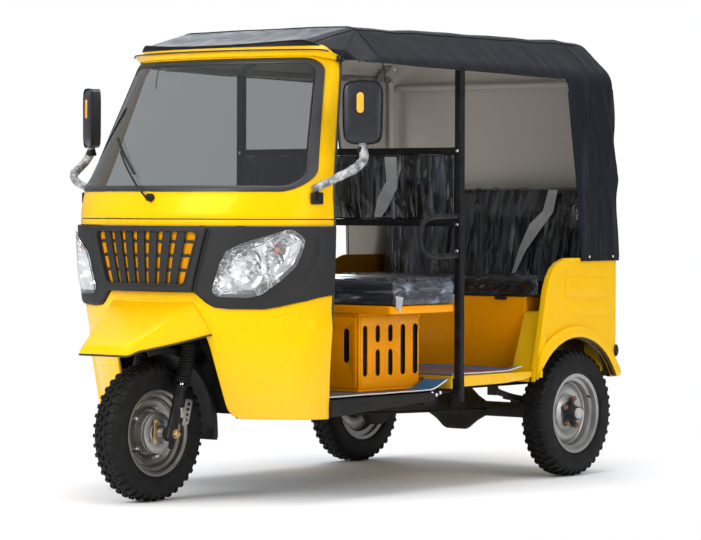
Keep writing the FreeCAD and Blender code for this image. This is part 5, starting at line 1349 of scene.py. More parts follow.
def valve(at_radius, x, turn):
    stem = turned("valve", [(0.0, 0.0), (0.0, 0.0045), (0.018, 0.0042), (0.020, 0.0032), (0.036, 0.0030),
                            (0.037, 0.0)], 16)
    stem.data.transform(Matrix.Rotation(turn, 4,
                                        "X") @ Matrix.Translation((x, 0,
                                                                   at_radius)) @ Matrix.Rotation(math.radians(28), 4, "Y"))
    return smooth(stem, 40)


def build_rear_wheel(side, body, suffix):
    centre = Vector((side * 0.575, 1.98, 0.266))
    disc = -0.004
    barrel = turned("barrel", rim_profile(disc) + [
        (disc, 0.1290), (disc + 0.004, 0.1240), (disc + 0.012, 0.1120), (disc + 0.014, 0.0950),
        (disc + 0.010, 0.0840),
        (disc + 0.008, 0.0780), (disc + 0.016, 0.0680), (disc + 0.020, 0.0640), (disc + 0.020, 0.040),
        (disc + 0.012, 0.0395), (-0.020, 0.0395)], 96)
    back = turned("back", [(-0.0480, 0.1680), (-0.0500, 0.1672), (-0.0488, 0.1590), (-0.0470, 0.1530),
                           (-0.0310, 0.1515), (-0.0250, 0.1420),
                           (-0.0250, 0.1340), (0.0250, 0.1340)], 96)
    silver = join([smooth(barrel, 35), smooth(back, 35)], "rim_" + suffix)
    hub = turned("hub", [(-0.030, 0.0), (-0.030, 0.050), (0.016, 0.0505), (0.0185, 0.0360), (0.0300, 0.0330),
                         (0.0400, 0.0310),
                         (0.0560, 0.0290), (0.0600, 0.0260), (0.0610, 0.0)], 56)
    ribs = []
    for index in range(5):
        turn = -math.radians(8) - math.tau * index / 5
        rib = primitive("cube", "rib", size=1, location=(0, 0, 0))
        reshape(rib, lambda p: Vector((0.020 + p.x * 0.016, p.y * 0.022, 0.046 + p.z * 0.034)))
        rib.data.transform(Matrix.Rotation(turn, 4, "X"))
        ribs.append(soften(rib, 0.002, 2))
    cap = turned("cap", [(0.058, 0.0235), (0.0680, 0.0225), (0.0725, 0.0190), (0.0735, 0.010), (0.0718, 0.0075),
                         (0.0715, 0.0)], 40)
    nuts = join(nuts_ring(5, 0.0615, disc + 0.034, 0.0118, math.radians(8)), "nuts_" + suffix)
    stem = valve(0.146, 0.012, math.radians(-62))
    hub = join([smooth(hub, 35)] + ribs, "hub_" + suffix)
    pieces = [(silver, "rim_silver", "rim_silver"), (hub, "black_paint", "hub_black"),
              (smooth(cap, 40), "rim_silver", "cap_white"),
              (nuts, "spring_steel", "rusty_zinc"), (stem, "black_paint", "black_paint")]
    for index, (piece, slot, finish) in enumerate(pieces):
        if side < 0:
            reshape(piece, lambda p: Vector((-p.x, p.y, p.z)))
            piece.data.flip_normals()
        piece.data.transform(Matrix.Translation(centre))
        if piece.name.startswith(("cap", "valve")):
            piece.name = piece.name.split(".")[0] + "_" + suffix
        place_on(piece, body, slot, material(finish), *(["rear_rim_" + suffix] if index == 0 else []))
    build_tyre("tyre_" + suffix, centre, body, "rear_tyre_" + suffix)


def build_front_wheel(context):
    centre = Vector((0, 0, 0.266))
    disc = 0.012
    barrel = turned("barrel", rim_profile(disc) + [
        (disc, 0.1290), (disc + 0.002, 0.1240), (disc - 0.002, 0.1130), (disc - 0.003, 0.1050), (-0.004, 0.0905),
        (-0.006, 0.0860),
        (-0.004, 0.0700), (-0.002, 0.0300)], 96)
    other = turned("other", [(-0.0480, 0.1680), (-0.0500, 0.1672), (-0.0488, 0.1590), (-0.0470, 0.1530),
                             (-0.0310, 0.1515), (-0.0250, 0.1420),
                             (-0.0250, 0.1340), (0.0240, 0.1340)], 96)
    silver = join([smooth(barrel, 35), smooth(other, 35)], "rim_front")
    drum = turned("drum", [(-0.036, 0.0095), (-0.036, 0.030), (-0.020, 0.034), (-0.0075, 0.060), (-0.0065, 0.078),
                           (0.020, 0.0795), (0.0375, 0.0805),
                           (0.0390, 0.0780), (0.0390, 0.0095)], 72)
    bolts = join(nuts_ring(5, 0.098, 0.010, 0.0088, 0.3) + nuts_ring(5, 0.098, -0.006, 0.0088, 0.3), "bolts_front")
    stem = valve(0.146, 0.020, math.radians(118))
    stem.name = "valve_front"
    for index, (piece, slot, finish) in enumerate(((silver, "rim_silver", "rim_dull"),
                                                   (smooth(drum, 35), "rim_silver", "cast_alloy"),
                                                   (bolts, "spring_steel", "bright_steel"),
                                                   (stem, "black_paint", "black_paint"))):
        piece.data.transform(Matrix.Translation(centre))
        if piece.name.startswith("drum"):
            piece.name = "brake_hub_front"
        place_on(piece, "front_wheel", slot, material(finish), *(["front_rim"] if index == 0 else []))
    build_tyre("tyre_front", centre, "front_wheel", "front_tyre")


def build_rear_wheels(context):
    build_rear_wheel(1, "rear_wheel_left", "left")
    build_rear_wheel(-1, "rear_wheel_right", "right")


# Front fork, which turns with the handlebar

RAKE = math.radians(18)


def up_steering(distance, across=0.0, x=0.0):
    """A point up the steering axis from the axle's level, moved back across it."""
    back = 0.043 + across
    return Vector((x, distance * math.sin(RAKE) + back * math.cos(RAKE),
                   0.266 + distance * math.cos(RAKE) - back * math.sin(RAKE)))


def tilted(piece, x=0.0, across=-0.043):
    """Stands a shape turned about Z on the fork's axis."""
    piece.data.transform(Matrix.Translation(up_steering(0, across, x)) @ Matrix.Rotation(-RAKE, 4, "X"))
    return piece


def build_fork(context):
    dark, bright, cast, coils = [], [], [], []
    for side in (-1, 1):
        slider = turned("slider", [
            (-0.030, 0.0), (-0.030, 0.018), (-0.024, 0.0245), (0.020, 0.0250), (0.024, 0.0220), (0.120, 0.0205),
            (0.124, 0.0225),
            (0.150, 0.0225), (0.153, 0.0210), (0.176, 0.0215), (0.180, 0.0245), (0.188, 0.0245), (0.190, 0.0225),
            (0.190, 0.0)],
            40, axis="Z")
        dark.append(tilted(smooth(slider, 35), side * 0.117))
        rod = turned("rod", [(0.186, 0.0), (0.186, 0.0125), (0.372, 0.0125), (0.372, 0.0)], 28, axis="Z")
        bright.append(tilted(smooth(rod, 35), side * 0.117))
        seat = turned("spring_seat", [(0.338, 0.012), (0.338, 0.033), (0.349, 0.033), (0.349, 0.012)], 36, axis="Z")
        dark.append(tilted(smooth(seat, 35), side * 0.117))
        helix = []
        for k in range(12 * 18 + 1):
            turn = math.tau * k / 18
            helix.append(Vector((0.0250 * math.cos(turn), 0.0250 * math.sin(turn), 0.1975 + 0.137 * k / 216)))
        coil = pipe("coil", helix, 0.0062, 10, steps=2)
        coils.append(tilted(coil, side * 0.117))
        nut = primitive("cylinder", "nut", vertices=6, radius=0.0150, depth=0.012,
                        location=(side * 0.149, 0, 0.266), rotation=(0, math.pi / 2, 0))
        coils_nut = soften(nut, 0.0016, 2, 30)
        washer = primitive("cylinder", "washer", vertices=40, radius=0.0185, depth=0.003,
                           location=(side * 0.1435, 0, 0.266), rotation=(0, math.pi / 2, 0))
        stud = primitive("cylinder", "stud", vertices=20, radius=0.0072, depth=0.010,
                         location=(side * 0.1535, 0, 0.266), rotation=(0, math.pi / 2, 0))
        for piece in (coils_nut, soften(washer, 0.0006, 1), soften(stud, 0.001, 1)):
            piece["gilt"] = True
            bright.append(piece)
    axle = primitive("cylinder", "axle", vertices=28, radius=0.0078, depth=0.26, location=(0, 0, 0.266),
                     rotation=(0, math.pi / 2, 0))
    bright.append(axle)
    yoke = []
    for low, reach in ((0.350, 0.024),):
        outline = rounded([(-0.142, -0.068), (0.142, -0.068), (0.142, -0.010), (0.048, 0.045), (-0.048, 0.045),
                           (-0.142, -0.010)],
                          [0.028, 0.028, 0.024, 0.03, 0.03, 0.024], 6)
        plate = prism("yoke", outline, "Z", low, low + reach)
        soften(plate, 0.004, 3, 40)
        yoke.append(tilted(plate, 0.0, 0.0))
    column = turned("column", [(0.374, 0.0), (0.374, 0.0235), (0.575, 0.0235), (0.580, 0.030), (0.596, 0.030),
                               (0.600, 0.017),
                               (0.768, 0.017), (0.768, 0.0)], 36, axis="Z")
    yoke.append(tilted(smooth(column, 35), 0.0, 0.0))
    plate = turned("brake_plate", [
        (0.0413, 0.0), (0.0413, 0.0790), (0.0440, 0.0800), (0.0500, 0.0785), (0.0525, 0.0700), (0.0530, 0.0480),
        (0.0570, 0.0440),
        (0.0575, 0.0300), (0.0640, 0.0260), (0.0930, 0.0230), (0.0930, 0.0)], 64, centre=(0, 0, 0.266))
    cast.append(smooth(plate, 35))
    arm = prism("torque_arm", rounded([(0.020, 0.200), (0.045, 0.205), (0.078, 0.395), (0.055, 0.400)], 0.009), "X",
                0.082, 0.092)
    dark.append(soften(arm, 0.002, 2))
    lever = prism("cam_lever", rounded([(-0.040, 0.318), (-0.022, 0.322), (-0.030, 0.222), (-0.046, 0.226)], 0.007),
                  "X", 0.0645, 0.0705)
    soften(lever, 0.0015, 2)
    pivot = primitive("cylinder", "pivot", vertices=6, radius=0.0085, depth=0.018, location=(0.066, -0.030, 0.312),
                      rotation=(0, math.pi / 2, 0))
    soften(pivot, 0.001, 2)
    gilt = join([lever, pivot], "brake_lever")
    ladder = prism("leg_bracket", rounded([(0.036, 0.292), (0.072, 0.300), (0.098, 0.392), (0.058, 0.398)], 0.008),
                   "X", 0.139, 0.1425)
    for k in range(4):
        z = 0.316 + 0.020 * k
        y = 0.057 + 0.006 * k
        cut(ladder, prism("hole", rounded([(y - 0.010, z - 0.005), (y + 0.010, z - 0.005), (y + 0.012, z + 0.006),
                                           (y - 0.008, z + 0.006)],
                                          0.004), "X", 0.12, 0.16))
    soften(ladder, 0.0008, 1)
    bridge = primitive("cube", "bracket_foot", size=1, location=(0, 0, 0))
    reshape(bridge, lambda p: Vector((0.1375 + p.x * 0.008, 0.046 + p.y * 0.030, 0.345 + p.z * 0.040)))
    cast.append(join([ladder, soften(bridge, 0.002, 2)], "leg_bracket"))
    gilt_parts = [piece for piece in bright if piece.get("gilt")]
    bright = [piece for piece in bright if not piece.get("gilt")]
    for piece, slot, finish, nodes in (
            (join(yoke + dark, "fork_yoke"), "fork_steel", "black_paint", ["fork"]),
            (join(cast, "fork_sliders"), "fork_steel", "cast_alloy", []),
            (join(bright, "fork_rods"), "fork_steel", "bright_steel", []),
            (join(gilt_parts + [gilt], "axle_nuts"), "fork_steel", "gold_zinc", []),
            (join(coils, "fork_coils"), "spring_steel", "black_paint", ["fork_springs"])):
        place_on(piece, "steering", slot, material(finish), *nodes)


def build_handlebar(context):
    seat = up_steering(0.770)
    bars = []
    route = [(-0.330, 0.070, 0.020), (-0.250, 0.052, 0.014), (-0.185, 0.012, 0.002), (-0.165, 0.0, 0.0),
             (0.165, 0.0, 0.0),
             (0.185, 0.012, 0.002), (0.250, 0.052, 0.014), (0.330, 0.070, 0.020)]
    bars.append(pipe("bar", [seat + Vector(p) for p in route], 0.0108, 20, steps=10))
    pod = primitive("cube", "pod", size=1, location=(0, 0, 0))
    reshape(pod, lambda p: seat + Vector((p.x * 0.140, p.y * 0.060, p.z * 0.060)))
    soften(pod, 0.014, 5)
    bars.append(pod)
    for side in (-1, 1):
        lever = [seat + Vector((side * x, y, z)) for x, y, z in ((0.205, -0.004, -0.004), (0.25, 0.012, 0.0),
                                                                 (0.32, 0.034, 0.006))]
        bars.append(pipe("lever", lever, 0.0048, 12))
    place_on(join(bars, "handlebar_set"), "steering", "black_paint", material("black_paint"), "handlebar")
    grips = []
    for side in (-1, 1):
        end = seat + Vector((side * 0.330, 0.070, 0.020))
        start = seat + Vector((side * 0.165, 0.0, 0.0))
        outward = (end - start).normalized()
        profile = [(-0.120, 0.0112), (-0.120, 0.0165)]
        for k in range(14):
            profile += [(-0.112 + k * 0.008, 0.0168), (-0.109 + k * 0.008, 0.0155), (-0.106 + k * 0.008, 0.0155)]
        profile += [(0.002, 0.0168), (0.012, 0.0165), (0.016, 0.012), (0.0165, 0.0)]
        grip = turned("grip", profile, 28)
        turn = Vector((1, 0, 0)).rotation_difference(outward).to_matrix().to_4x4()
        grip.data.transform(Matrix.Translation(end) @ turn)
        grips.append(smooth(grip, 35))
    place_on(join(grips, "handle_grips"), "steering", "grip_rubber", material("seal_rubber"), "handlebar_grips")


def build_mudguard(context):
    """A folded guard with rolled sides, a mud flap with a cut edge and a collar on the steering axis."""
    section = [(-0.0665, 0.3030), (-0.0695, 0.3040), (-0.0695, 0.3200), (-0.0660, 0.3290), (-0.0560, 0.3330),
               (0.0, 0.3332),
               (0.0560, 0.3330), (0.0660, 0.3290), (0.0695, 0.3200), (0.0695, 0.3040), (0.0665, 0.3030),
               (0.0660, 0.3190),
               (0.0620, 0.3265), (0.0550, 0.3295), (0.0, 0.3300), (-0.0550, 0.3295), (-0.0620, 0.3265),
               (-0.0660, 0.3190)]
    stations = 72
    points, faces = [], []
    size = len(section)
    for k in range(stations + 1):
        turn = math.radians(-8 + 112 * k / stations)
        for x, r in section:
            points.append((x, r * math.cos(turn), 0.266 + r * math.sin(turn)))
    for a in range(stations):
        for b in range(size):
            c = (b + 1) % size
            faces.append((a * size + b, a * size + c, (a + 1) * size + c, (a + 1) * size + b))
    faces.append(tuple(range(size)))
    faces.append(tuple(stations * size + b for b in reversed(range(size))))
    guard = mesh_piece("guard", points, faces)
    face_outwards(guard)
    smooth(guard, 40)
    edge = [(-0.064, 0.262)]
    teeth = 11
    for k in range(teeth):
        left = -0.064 + 0.128 * k / teeth
        edge += [(left, 0.2245 if k % 2 else 0.2290), (left + 0.128 / teeth, 0.2245 if k % 2 else 0.2290)]
    edge.append((0.064, 0.262))
    flap = prism("flap", edge, "Y", 0.3285, 0.3325)
    stand = turned("stand", [(0.326, 0.0), (0.326, 0.030), (0.331, 0.024), (0.349, 0.024), (0.349, 0.0)], 36,
                   axis="Z")
    tilted(smooth(stand, 35))
    place_on(join([guard, smooth(flap, 30), stand], "inner_guard"), "steering", "guard_plastic",
             material("guard_plastic"),
             "front_mudguard")


# Driver's seat

def build_seat_box(context):
    def slot(middle, low, high, axis, start, end):
        outline = [(middle - 0.0150, low), (middle + 0.0150, low), (middle + 0.0150, high), (middle - 0.0150, high)]
        return prism("slot", rounded(outline, 0.0147, 8), axis, start, end)

    def slots():
        """The side walls' and the front's slots, all in one cutter."""
        cutters = []
        for k in range(5):
            for low, high in ([(0.459, 0.566), (0.594, 0.663)] if k in (1, 2) else [(0.459, 0.663)]):
                cutters.append(slot(0.833 + 0.081 * k, low, high, "X", -0.45, 0.45))
        cutters += [slot(side * 0.341, 0.514, 0.651, "Y", 0.75, 0.7945) for side in (-1, 1)]
        return join(cutters, "slots")
    body = prism("box", rounded([(-0.400, 0.790), (0.400, 0.790), (0.400, 1.1915), (-0.400, 1.1915)], 0.012, 5),
                 "Z", 0.3932, 0.7125)
    cut(body, prism("inner", [(-0.3975, 0.7925), (0.3975, 0.7925), (0.3975, 1.189), (-0.3975, 1.189)], "Z", 0.38,
                    0.73))
    panels = []
    for side in (-1, 1):
        panel = prism("panel", rounded([(0.803, 0.412), (1.181, 0.412), (1.181, 0.698), (0.803, 0.698)], 0.006, 4),
                      "X",
                      min(side * 0.3995, side * 0.4022), max(side * 0.3995, side * 0.4022))
        panels.append(panel)
    front = prism("panel", rounded([(-0.388, 0.412), (0.388, 0.412), (0.388, 0.698), (-0.388, 0.698)], 0.006, 4),
                  "Y", 0.7878, 0.7905)
    panels.append(front)
    for piece in [body] + panels:
        cut(piece, slots())
    body = join([body] + panels, "seat_box_walls")
    apply_modifier(body, "BEVEL", width=0.0011, segments=2, limit_method="ANGLE", angle_limit=math.radians(40))
    smooth(body, 35)
    foot = prism("foot", rounded([(-0.409, 0.781), (0.409, 0.781), (0.409, 1.1915), (-0.409, 1.1915)], 0.010, 4),
                 "Z", 0.4002, 0.4085)
    cut(foot, prism("inner", [(-0.390, 0.80), (0.390, 0.80), (0.390, 1.18), (-0.390, 1.18)], "Z", 0.38, 0.43))
    soften(foot, 0.0025, 3, 50)
    pan = prism("pan", rounded([(-0.5780, 0.7785), (0.5780, 0.7785), (0.5780, 1.1955), (-0.5780, 1.1955)], 0.020,
                               6), "Z", 0.7122, 0.7450)
    soften(pan, 0.008, 4, 50)
    hinges = []
    for z in (0.648, 0.700):
        hinges.append(primitive("cylinder", "hinge", vertices=16, radius=0.0045, depth=0.020,
                                location=(0.4045, 1.176, z)))
    # The box's deeper orange enamel and its dark inside are painted shade
    whole = join([body, foot, pan], "seat_box_shell")
    place_on(whole, "root", "body_paint", material("inner_paint"), "seat_box")
    pins = both_sides(smooth(join(hinges, "box_hinges"), 30))
    place_on(pins, "root", "body_paint", material("yellow_paint"))
    # Black plates just inside the walls, behind the slots: painted shade
    shade_plates = [block("liner", (-0.385, 0.7975, 0.412), (0.385, 0.8000, 0.700), 0.0004, 1)]
    for side in (-1, 1):
        low, high = sorted((side * 0.3900, side * 0.3925))
        shade_plates.append(block("liner", (low, 0.806, 0.412), (high, 1.180, 0.700), 0.0004, 1))
    place_on(join(shade_plates, "seat_box_shade_plates"), "root", "black_paint", material("black_paint"))


# Foam pads in clear wrapping

def swell(piece, pressure, reach, pinned):
    """Blows a pad up a little as cloth, held where it rests, and never by more than reach."""
    start = [vertex.co.copy() for vertex in piece.data.vertices]
    group = piece.vertex_groups.new(name="held")
    group.add([index for index, place in enumerate(start) if pinned(place)], 1.0, "REPLACE")
    activate(piece)
    modifier = piece.modifiers.new("swell", "CLOTH")
    settings = modifier.settings
    settings.quality = 5
    settings.mass = 0.3
    settings.tension_stiffness = 15
    settings.compression_stiffness = 15
    settings.bending_stiffness = 0.5
    settings.use_pressure = True
    settings.uniform_pressure_force = pressure
    settings.effector_weights.gravity = 0
    settings.vertex_group_mass = "held"
    modifier.collision_settings.use_collision = False
    for step in range(1, 21):
        bpy.context.scene.frame_set(step)
    bpy.ops.object.modifier_apply(modifier=modifier.name)
    for vertex, place in zip(piece.data.vertices, start):
        shift = vertex.co - place
        if shift.length > reach:
            vertex.co = place + shift.normalized() * reach
    bpy.context.scene.frame_set(1)
    piece.vertex_groups.clear()
    return piece


def block(name, low, high, radius, steps=5):
    """A box between two corners with rounded edges."""
    piece = primitive("cube", name, size=1, location=(0, 0, 0))
    low, high = Vector(low), Vector(high)
    middle, size = (low + high) / 2, high - low
    reshape(piece, lambda p: Vector(m + q * s for m, q, s in zip(middle, p, size)))
    apply_modifier(piece, "BEVEL", width=radius, segments=steps, limit_method="ANGLE", angle_limit=math.radians(40))
    return piece


def wrinkled(piece, amount):
    """Pushes each point along its normal by amount(point, normal)."""
    normals = [vertex.normal.copy() for vertex in piece.data.vertices]
    for vertex, normal in zip(piece.data.vertices, normals):
        vertex.co = vertex.co + normal * amount(vertex.co.copy(), normal)
    piece.data.update()
    return smooth(piece, 75)


def ridge(place, sharp=4.0):
    """Narrow ridges, from 0 to 1, along a noise field's middle level."""
    return max(0.0, 1 - abs(noise.noise(place)) * sharp)


def pad(name, low, high, radius, reach, pinned, amount, voxel=0.008):
    piece = block(name, low, high, radius)
    apply_modifier(piece, "REMESH", mode="VOXEL", voxel_size=voxel)
    swell(piece, 4.0, reach, pinned)
    apply_modifier(piece, "SUBSURF", levels=1, render_levels=1)
    return wrinkled(piece, amount)


def build_driver_cushion(context):
    low, high = Vector((-0.588, 0.786, 0.7455)), Vector((0.588, 1.192, 0.846))

    def folds(p, normal):
        long_folds = ridge(Vector((p.x * 1.6, p.y * 9, p.z * 42 + p.x * 1.4)), 3.2) * 0.0040
        fine = ridge(Vector((p.x * 7, p.y * 22, p.z * 60 + 5)), 3.0) * 0.0014
        tuck = -0.0030 * math.exp(-((p.z - 0.792) / 0.006) ** 2) if abs(normal.z) < 0.6 else 0.0
        top = 1.0 if p.z > 0.752 else 0.0
        return (long_folds + fine + tuck) * top
    piece = pad("driver_seat_cushion", low, high, 0.018, 0.007, lambda p: p.z < 0.752, folds)
    place_on(piece, "root", "seat_vinyl", material("wrapped_vinyl"), "driver_cushion")
    outline = [(0.786, 0.786), (0.834, 0.779), (0.826, 0.744), (0.812, 0.716), (0.800, 0.742), (0.789, 0.730)]
    flap = prism("cushion_flap", outline, "X", 0.5925, 0.5933)
    place_on(flap, "root", "seat_vinyl", material("film_fold"))


def build_bench_cushion(context):
    low, high = Vector((-0.553, 1.799, 0.7585)), Vector((0.553, 2.092, 0.836))

    def folds(p, normal):
        creases = ridge(Vector((p.x * 9, p.y * 9, p.z * 12)), 3.4) * 0.0024
        fine = ridge(Vector((p.x * 20, p.y * 20, p.z * 26 + 3)), 3.0) * 0.0010
        return (creases + fine) if p.z > 0.766 else 0.0
    piece = pad("bench_seat_cushion", low, high, 0.016, 0.008, lambda p: p.z < 0.765, folds)
    place_on(piece, "bench_lid", "seat_vinyl", material("wrapped_vinyl_small"), "bench_cushion")


def build_backrest(context):
    low, high = Vector((-0.540, 2.112, 0.7600)), Vector((0.540, 2.180, 1.2200))

    def folds(p, normal):
        pleats = ridge(Vector((p.x * 8.5, p.y * 4, p.z * 1.1)), 3.0) * 0.0052
        hang = ridge(Vector((p.x * 3.0 + p.z * 2.6, p.y * 4, p.z * 3.4 + 9)), 3.2) * 0.0030
        return (pleats + hang) if normal.y < 0.3 else 0.0
    piece = pad("bench_back_pad", low, high, 0.014, 0.010, lambda p: p.y > 2.172, folds)
    reshape(piece, lambda p: p + Vector((0, 0.070 * (p.z - 0.7573) / 0.4677, 0)))
    place_on(piece, "root", "seat_vinyl", material("wrapped_vinyl_tall"), "bench_backrest")
    fold = film_band("backrest_fold", [
        (0.352, 1.209), (0.400, 1.209), (0.386, 1.112), (0.338, 1.052), (0.262, 0.949), (0.214, 0.849),
        (0.196, 0.849), (0.226, 0.962),
        (0.268, 1.062), (0.332, 1.118)], lambda x, z: 2.092 + 0.070 * (z - 0.7573) / 0.4677)
    place_on(fold, "root", "seat_vinyl", material("film_fold"))


def film_band(name, outline, depth):
    """A doubled strip of film lying over a pad, at depth(x, z)."""
    piece = prism(name, outline, "Y", -0.0004, 0.0004)
    grid_cut(piece, 0.02, 0.02)
    reshape(piece, lambda p: Vector((p.x, p.y + depth(p.x, p.z), p.z)))
    return smooth(piece, 40)


def build_partition(context):
    frame_parts = []
    for side in (-1, 1):
        frame_parts.append(block("post", (side * 0.583 - 0.016, 1.199, 0.350),
                                 (side * 0.583 + 0.016, 1.229, 1.7030), 0.004, 3))
    for z in (1.071, 1.362):
        frame_parts.append(block("bar", (-0.568, 1.199, z - 0.014), (0.568, 1.227, z + 0.014), 0.004, 3))
    for side in (-1, 1):
        frame_parts.append(block("foot", (side * 0.580 - 0.020, 1.196, 0.360), (side * 0.580 + 0.020, 1.230, 0.392),
                                 0.005, 3))
    posts = smooth(join(frame_parts, "partition_posts"), 40)
    place_on(posts, "root", "black_paint", material("black_paint"), "partition_frame")
    loops = []
    for side in (-1, 1):
        x = side * 0.580
        route = [Vector((x, y, z)) for y, z in (
            (1.206, 1.098), (1.120, 1.098), (1.030, 1.096), (0.985, 1.084), (0.961, 1.055), (0.956, 1.018),
            (0.961, 0.981), (0.985, 0.951),
            (1.030, 0.938), (1.120, 0.937), (1.206, 0.937))]
        loops.append(pipe("loop", route, 0.0122, 24, steps=10))
    place_on(join(loops, "grab_handles"), "root", "black_paint", material("gloss_black"), "grab_loops")

    def folds(p, normal):
        drape = ridge(Vector((p.x * 4.5 + p.z * 4.5, p.y * 3, p.z * 3.0)), 3.0) * 0.0042
        fine = ridge(Vector((p.x * 13, p.y * 9, p.z * 9 + 4)), 3.0) * 0.0016
        return (drape + fine) if abs(normal.y) > 0.3 else 0.0
    piece = pad("partition_cushion", (-0.566, 1.196, 1.0860), (0.566, 1.230, 1.3470), 0.008, 0.007,
                lambda p: abs(p.z - 1.2165) > 0.124 or abs(p.x) > 0.556, folds)
    place_on(piece, "root", "seat_vinyl", material("wrapped_vinyl_tall"), "partition_pad")
    fold = film_band("partition_fold", [
        (0.222, 1.339), (0.284, 1.339), (0.288, 1.214), (0.238, 1.130), (0.205, 1.093), (0.168, 1.093),
        (0.186, 1.170), (0.232, 1.240)],
        lambda x, z: 1.1815)
    place_on(fold, "root", "seat_vinyl", material("film_fold"))
    screws = []
    for side in (-1, 1):
        for z in (1.362, 1.098, 1.065, 0.957):
            screws.append(primitive("uv_sphere", "screw", segments=18, ring_count=10, radius=0.0072,
                                    location=(side * 0.581, 1.1988, z)))
            reshape(screws[-1], lambda p: Vector((p.x, 1.1988 + (p.y - 1.1988) * 0.45, p.z)))
    place_on(smooth(join(screws, "post_screws"), 60), "root", "spring_steel", material("bright_steel"))


# Passenger bench and floors

def build_bench(context):
    body = prism("bin", rounded([(-0.482, 1.812), (0.482, 1.812), (0.482, 2.188), (-0.482, 2.188)], 0.012, 5), "Z",
                 0.4525, 0.7570)
    cut(body, prism("hollow", [(-0.470, 1.824), (0.470, 1.824), (0.470, 2.100), (-0.470, 2.100)], "Z", 0.465, 0.80))
    body.name = "bench_bin"
    apply_modifier(body, "BEVEL", width=0.003, segments=3, limit_method="ANGLE", angle_limit=math.radians(40))
    smooth(body, 35)
    # The bin's deeper orange enamel and its shaded inward faces are painted shade
    place_on(body, "root", "body_paint", material("bench_enamel_painted_shade"), "bench_box")
    hinges = []
    for side in (-1, 1):
        barrel = primitive("cylinder", "barrel", vertices=28, radius=0.0058, depth=0.058,
                           location=(side * 0.356, 1.8057, 0.7510),
                           rotation=(0, math.pi / 2, 0))
        soften(barrel, 0.0012, 2)
        leaf = block("leaf", (side * 0.356 - 0.028, 1.8095, 0.743), (side * 0.356 + 0.028, 1.8120, 0.753), 0.001, 2)
        hinges += [barrel, leaf]
    place_on(smooth(join(hinges, "bench_lid_hinges"), 35), "root", "black_paint", material("black_paint"),
             "bench_hinges")


def build_floors(context):
    """Floor pans with rolled edges, the black sills and the yellow skirt under the rear door."""
    plate = prism("plate", [(-0.600, 1.192), (0.600, 1.192), (0.600, 1.690), (0.4857, 1.690), (0.4857, 2.270),
                            (-0.4857, 2.270),
                            (-0.4857, 1.690), (-0.600, 1.690)], "Z", 0.444, 0.452)
    for side in (-1, 1):
        cut(plate, prism("notch", [(side * 0.580 - 0.0145, 1.180), (side * 0.580 + 0.040, 1.180),
                                   (side * 0.580 + 0.040, 1.2275),
                                   (side * 0.580 - 0.0145, 1.2275)] if side > 0 else
                         [(side * 0.580 - 0.040, 1.180), (side * 0.580 + 0.0145, 1.180),
                          (side * 0.580 + 0.0145, 1.2275),
                          (side * 0.580 - 0.040, 1.2275)], "Z", 0.40, 0.48))
    soften(plate, 0.0015, 2, 50)
    skirts = []
    for side in (-1, 1):
        outline = rounded([(1.2280, 0.4105), (1.500, 0.4120), (1.640, 0.4195), (1.6965, 0.432), (1.6965, 0.4525),
                           (1.2280, 0.4525)],
                          [0.004, 0.2, 0.08, 0.004, 0.004, 0.004], 6)
        skirt = prism("skirt", outline, "X", min(side * 0.586, side * 0.601), max(side * 0.586, side * 0.601))
        skirts.append(soften(skirt, 0.005, 4, 50))
    step = block("step", (-0.562, 1.1920, 0.4010), (0.562, 1.1998, 0.4522), 0.003, 3)
    floor = join([plate, step] + skirts, "rear_floor_pan")
    place_on(floor, "root", "body_paint", material("yellow_paint"), "rear_floor")
    sills = []
    for side in (-1, 1):
        outline = rounded([(0.396, 0.329), (1.040, 0.363), (1.040, 0.3927), (0.396, 0.3927)], 0.006, 4)
        sill = prism("sill", outline, "X", min(side * 0.5603, side * 0.5983), max(side * 0.5603, side * 0.5983))
        sills.append(soften(sill, 0.005, 3, 50))
    place_on(join(sills, "sill_channels"), "root", "black_paint", material("worn_black"), "sill_beams")
    clips = []
    for y, z in ((1.058, 0.402), (1.085, 0.394), (1.110, 0.402)):
        for side in (-1, 1):
            clips.append(primitive("uv_sphere", "clip", segments=16, ring_count=8, radius=0.008,
                                   location=(side * 0.566, y, z - 0.012)))
    place_on(smooth(join(clips, "sill_bolts"), 60), "root", "spring_steel", material("bright_steel"))


def curled_mat(name, left, right, front, rear, low, lift, holes):
    """A floor mat, cut round its holes, that lift turns up towards its rear corners."""
    outline = rounded([(left, front), (right, front), (right, rear), (left, rear)], 0.012, 4)
    mat = prism(name, outline, "Z", low + 0.0002, low + 0.0045)
    for hole in holes:
        cut(mat, prism("hole", hole, "Z", low - 0.02, low + 0.03))
    activate(mat)
    bpy.ops.object.mode_set(mode="EDIT")
    for axis, start, end in ((0, left, right), (1, front, rear)):
        count = int((end - start) / 0.02)
        for index in range(1, count):
            place = start + (end - start) * index / count
            bpy.ops.mesh.select_all(action="SELECT")
            bpy.ops.mesh.bisect(plane_co=(place, 0, 0) if axis == 0 else (0, place, 0),
                                plane_no=(1, 0, 0) if axis == 0 else (0, 1, 0))
    bpy.ops.object.mode_set(mode="OBJECT")

    def rise(p):
        return p + Vector((0, 0, lift(p)))
    reshape(mat, rise)
    return smooth(mat, 40)


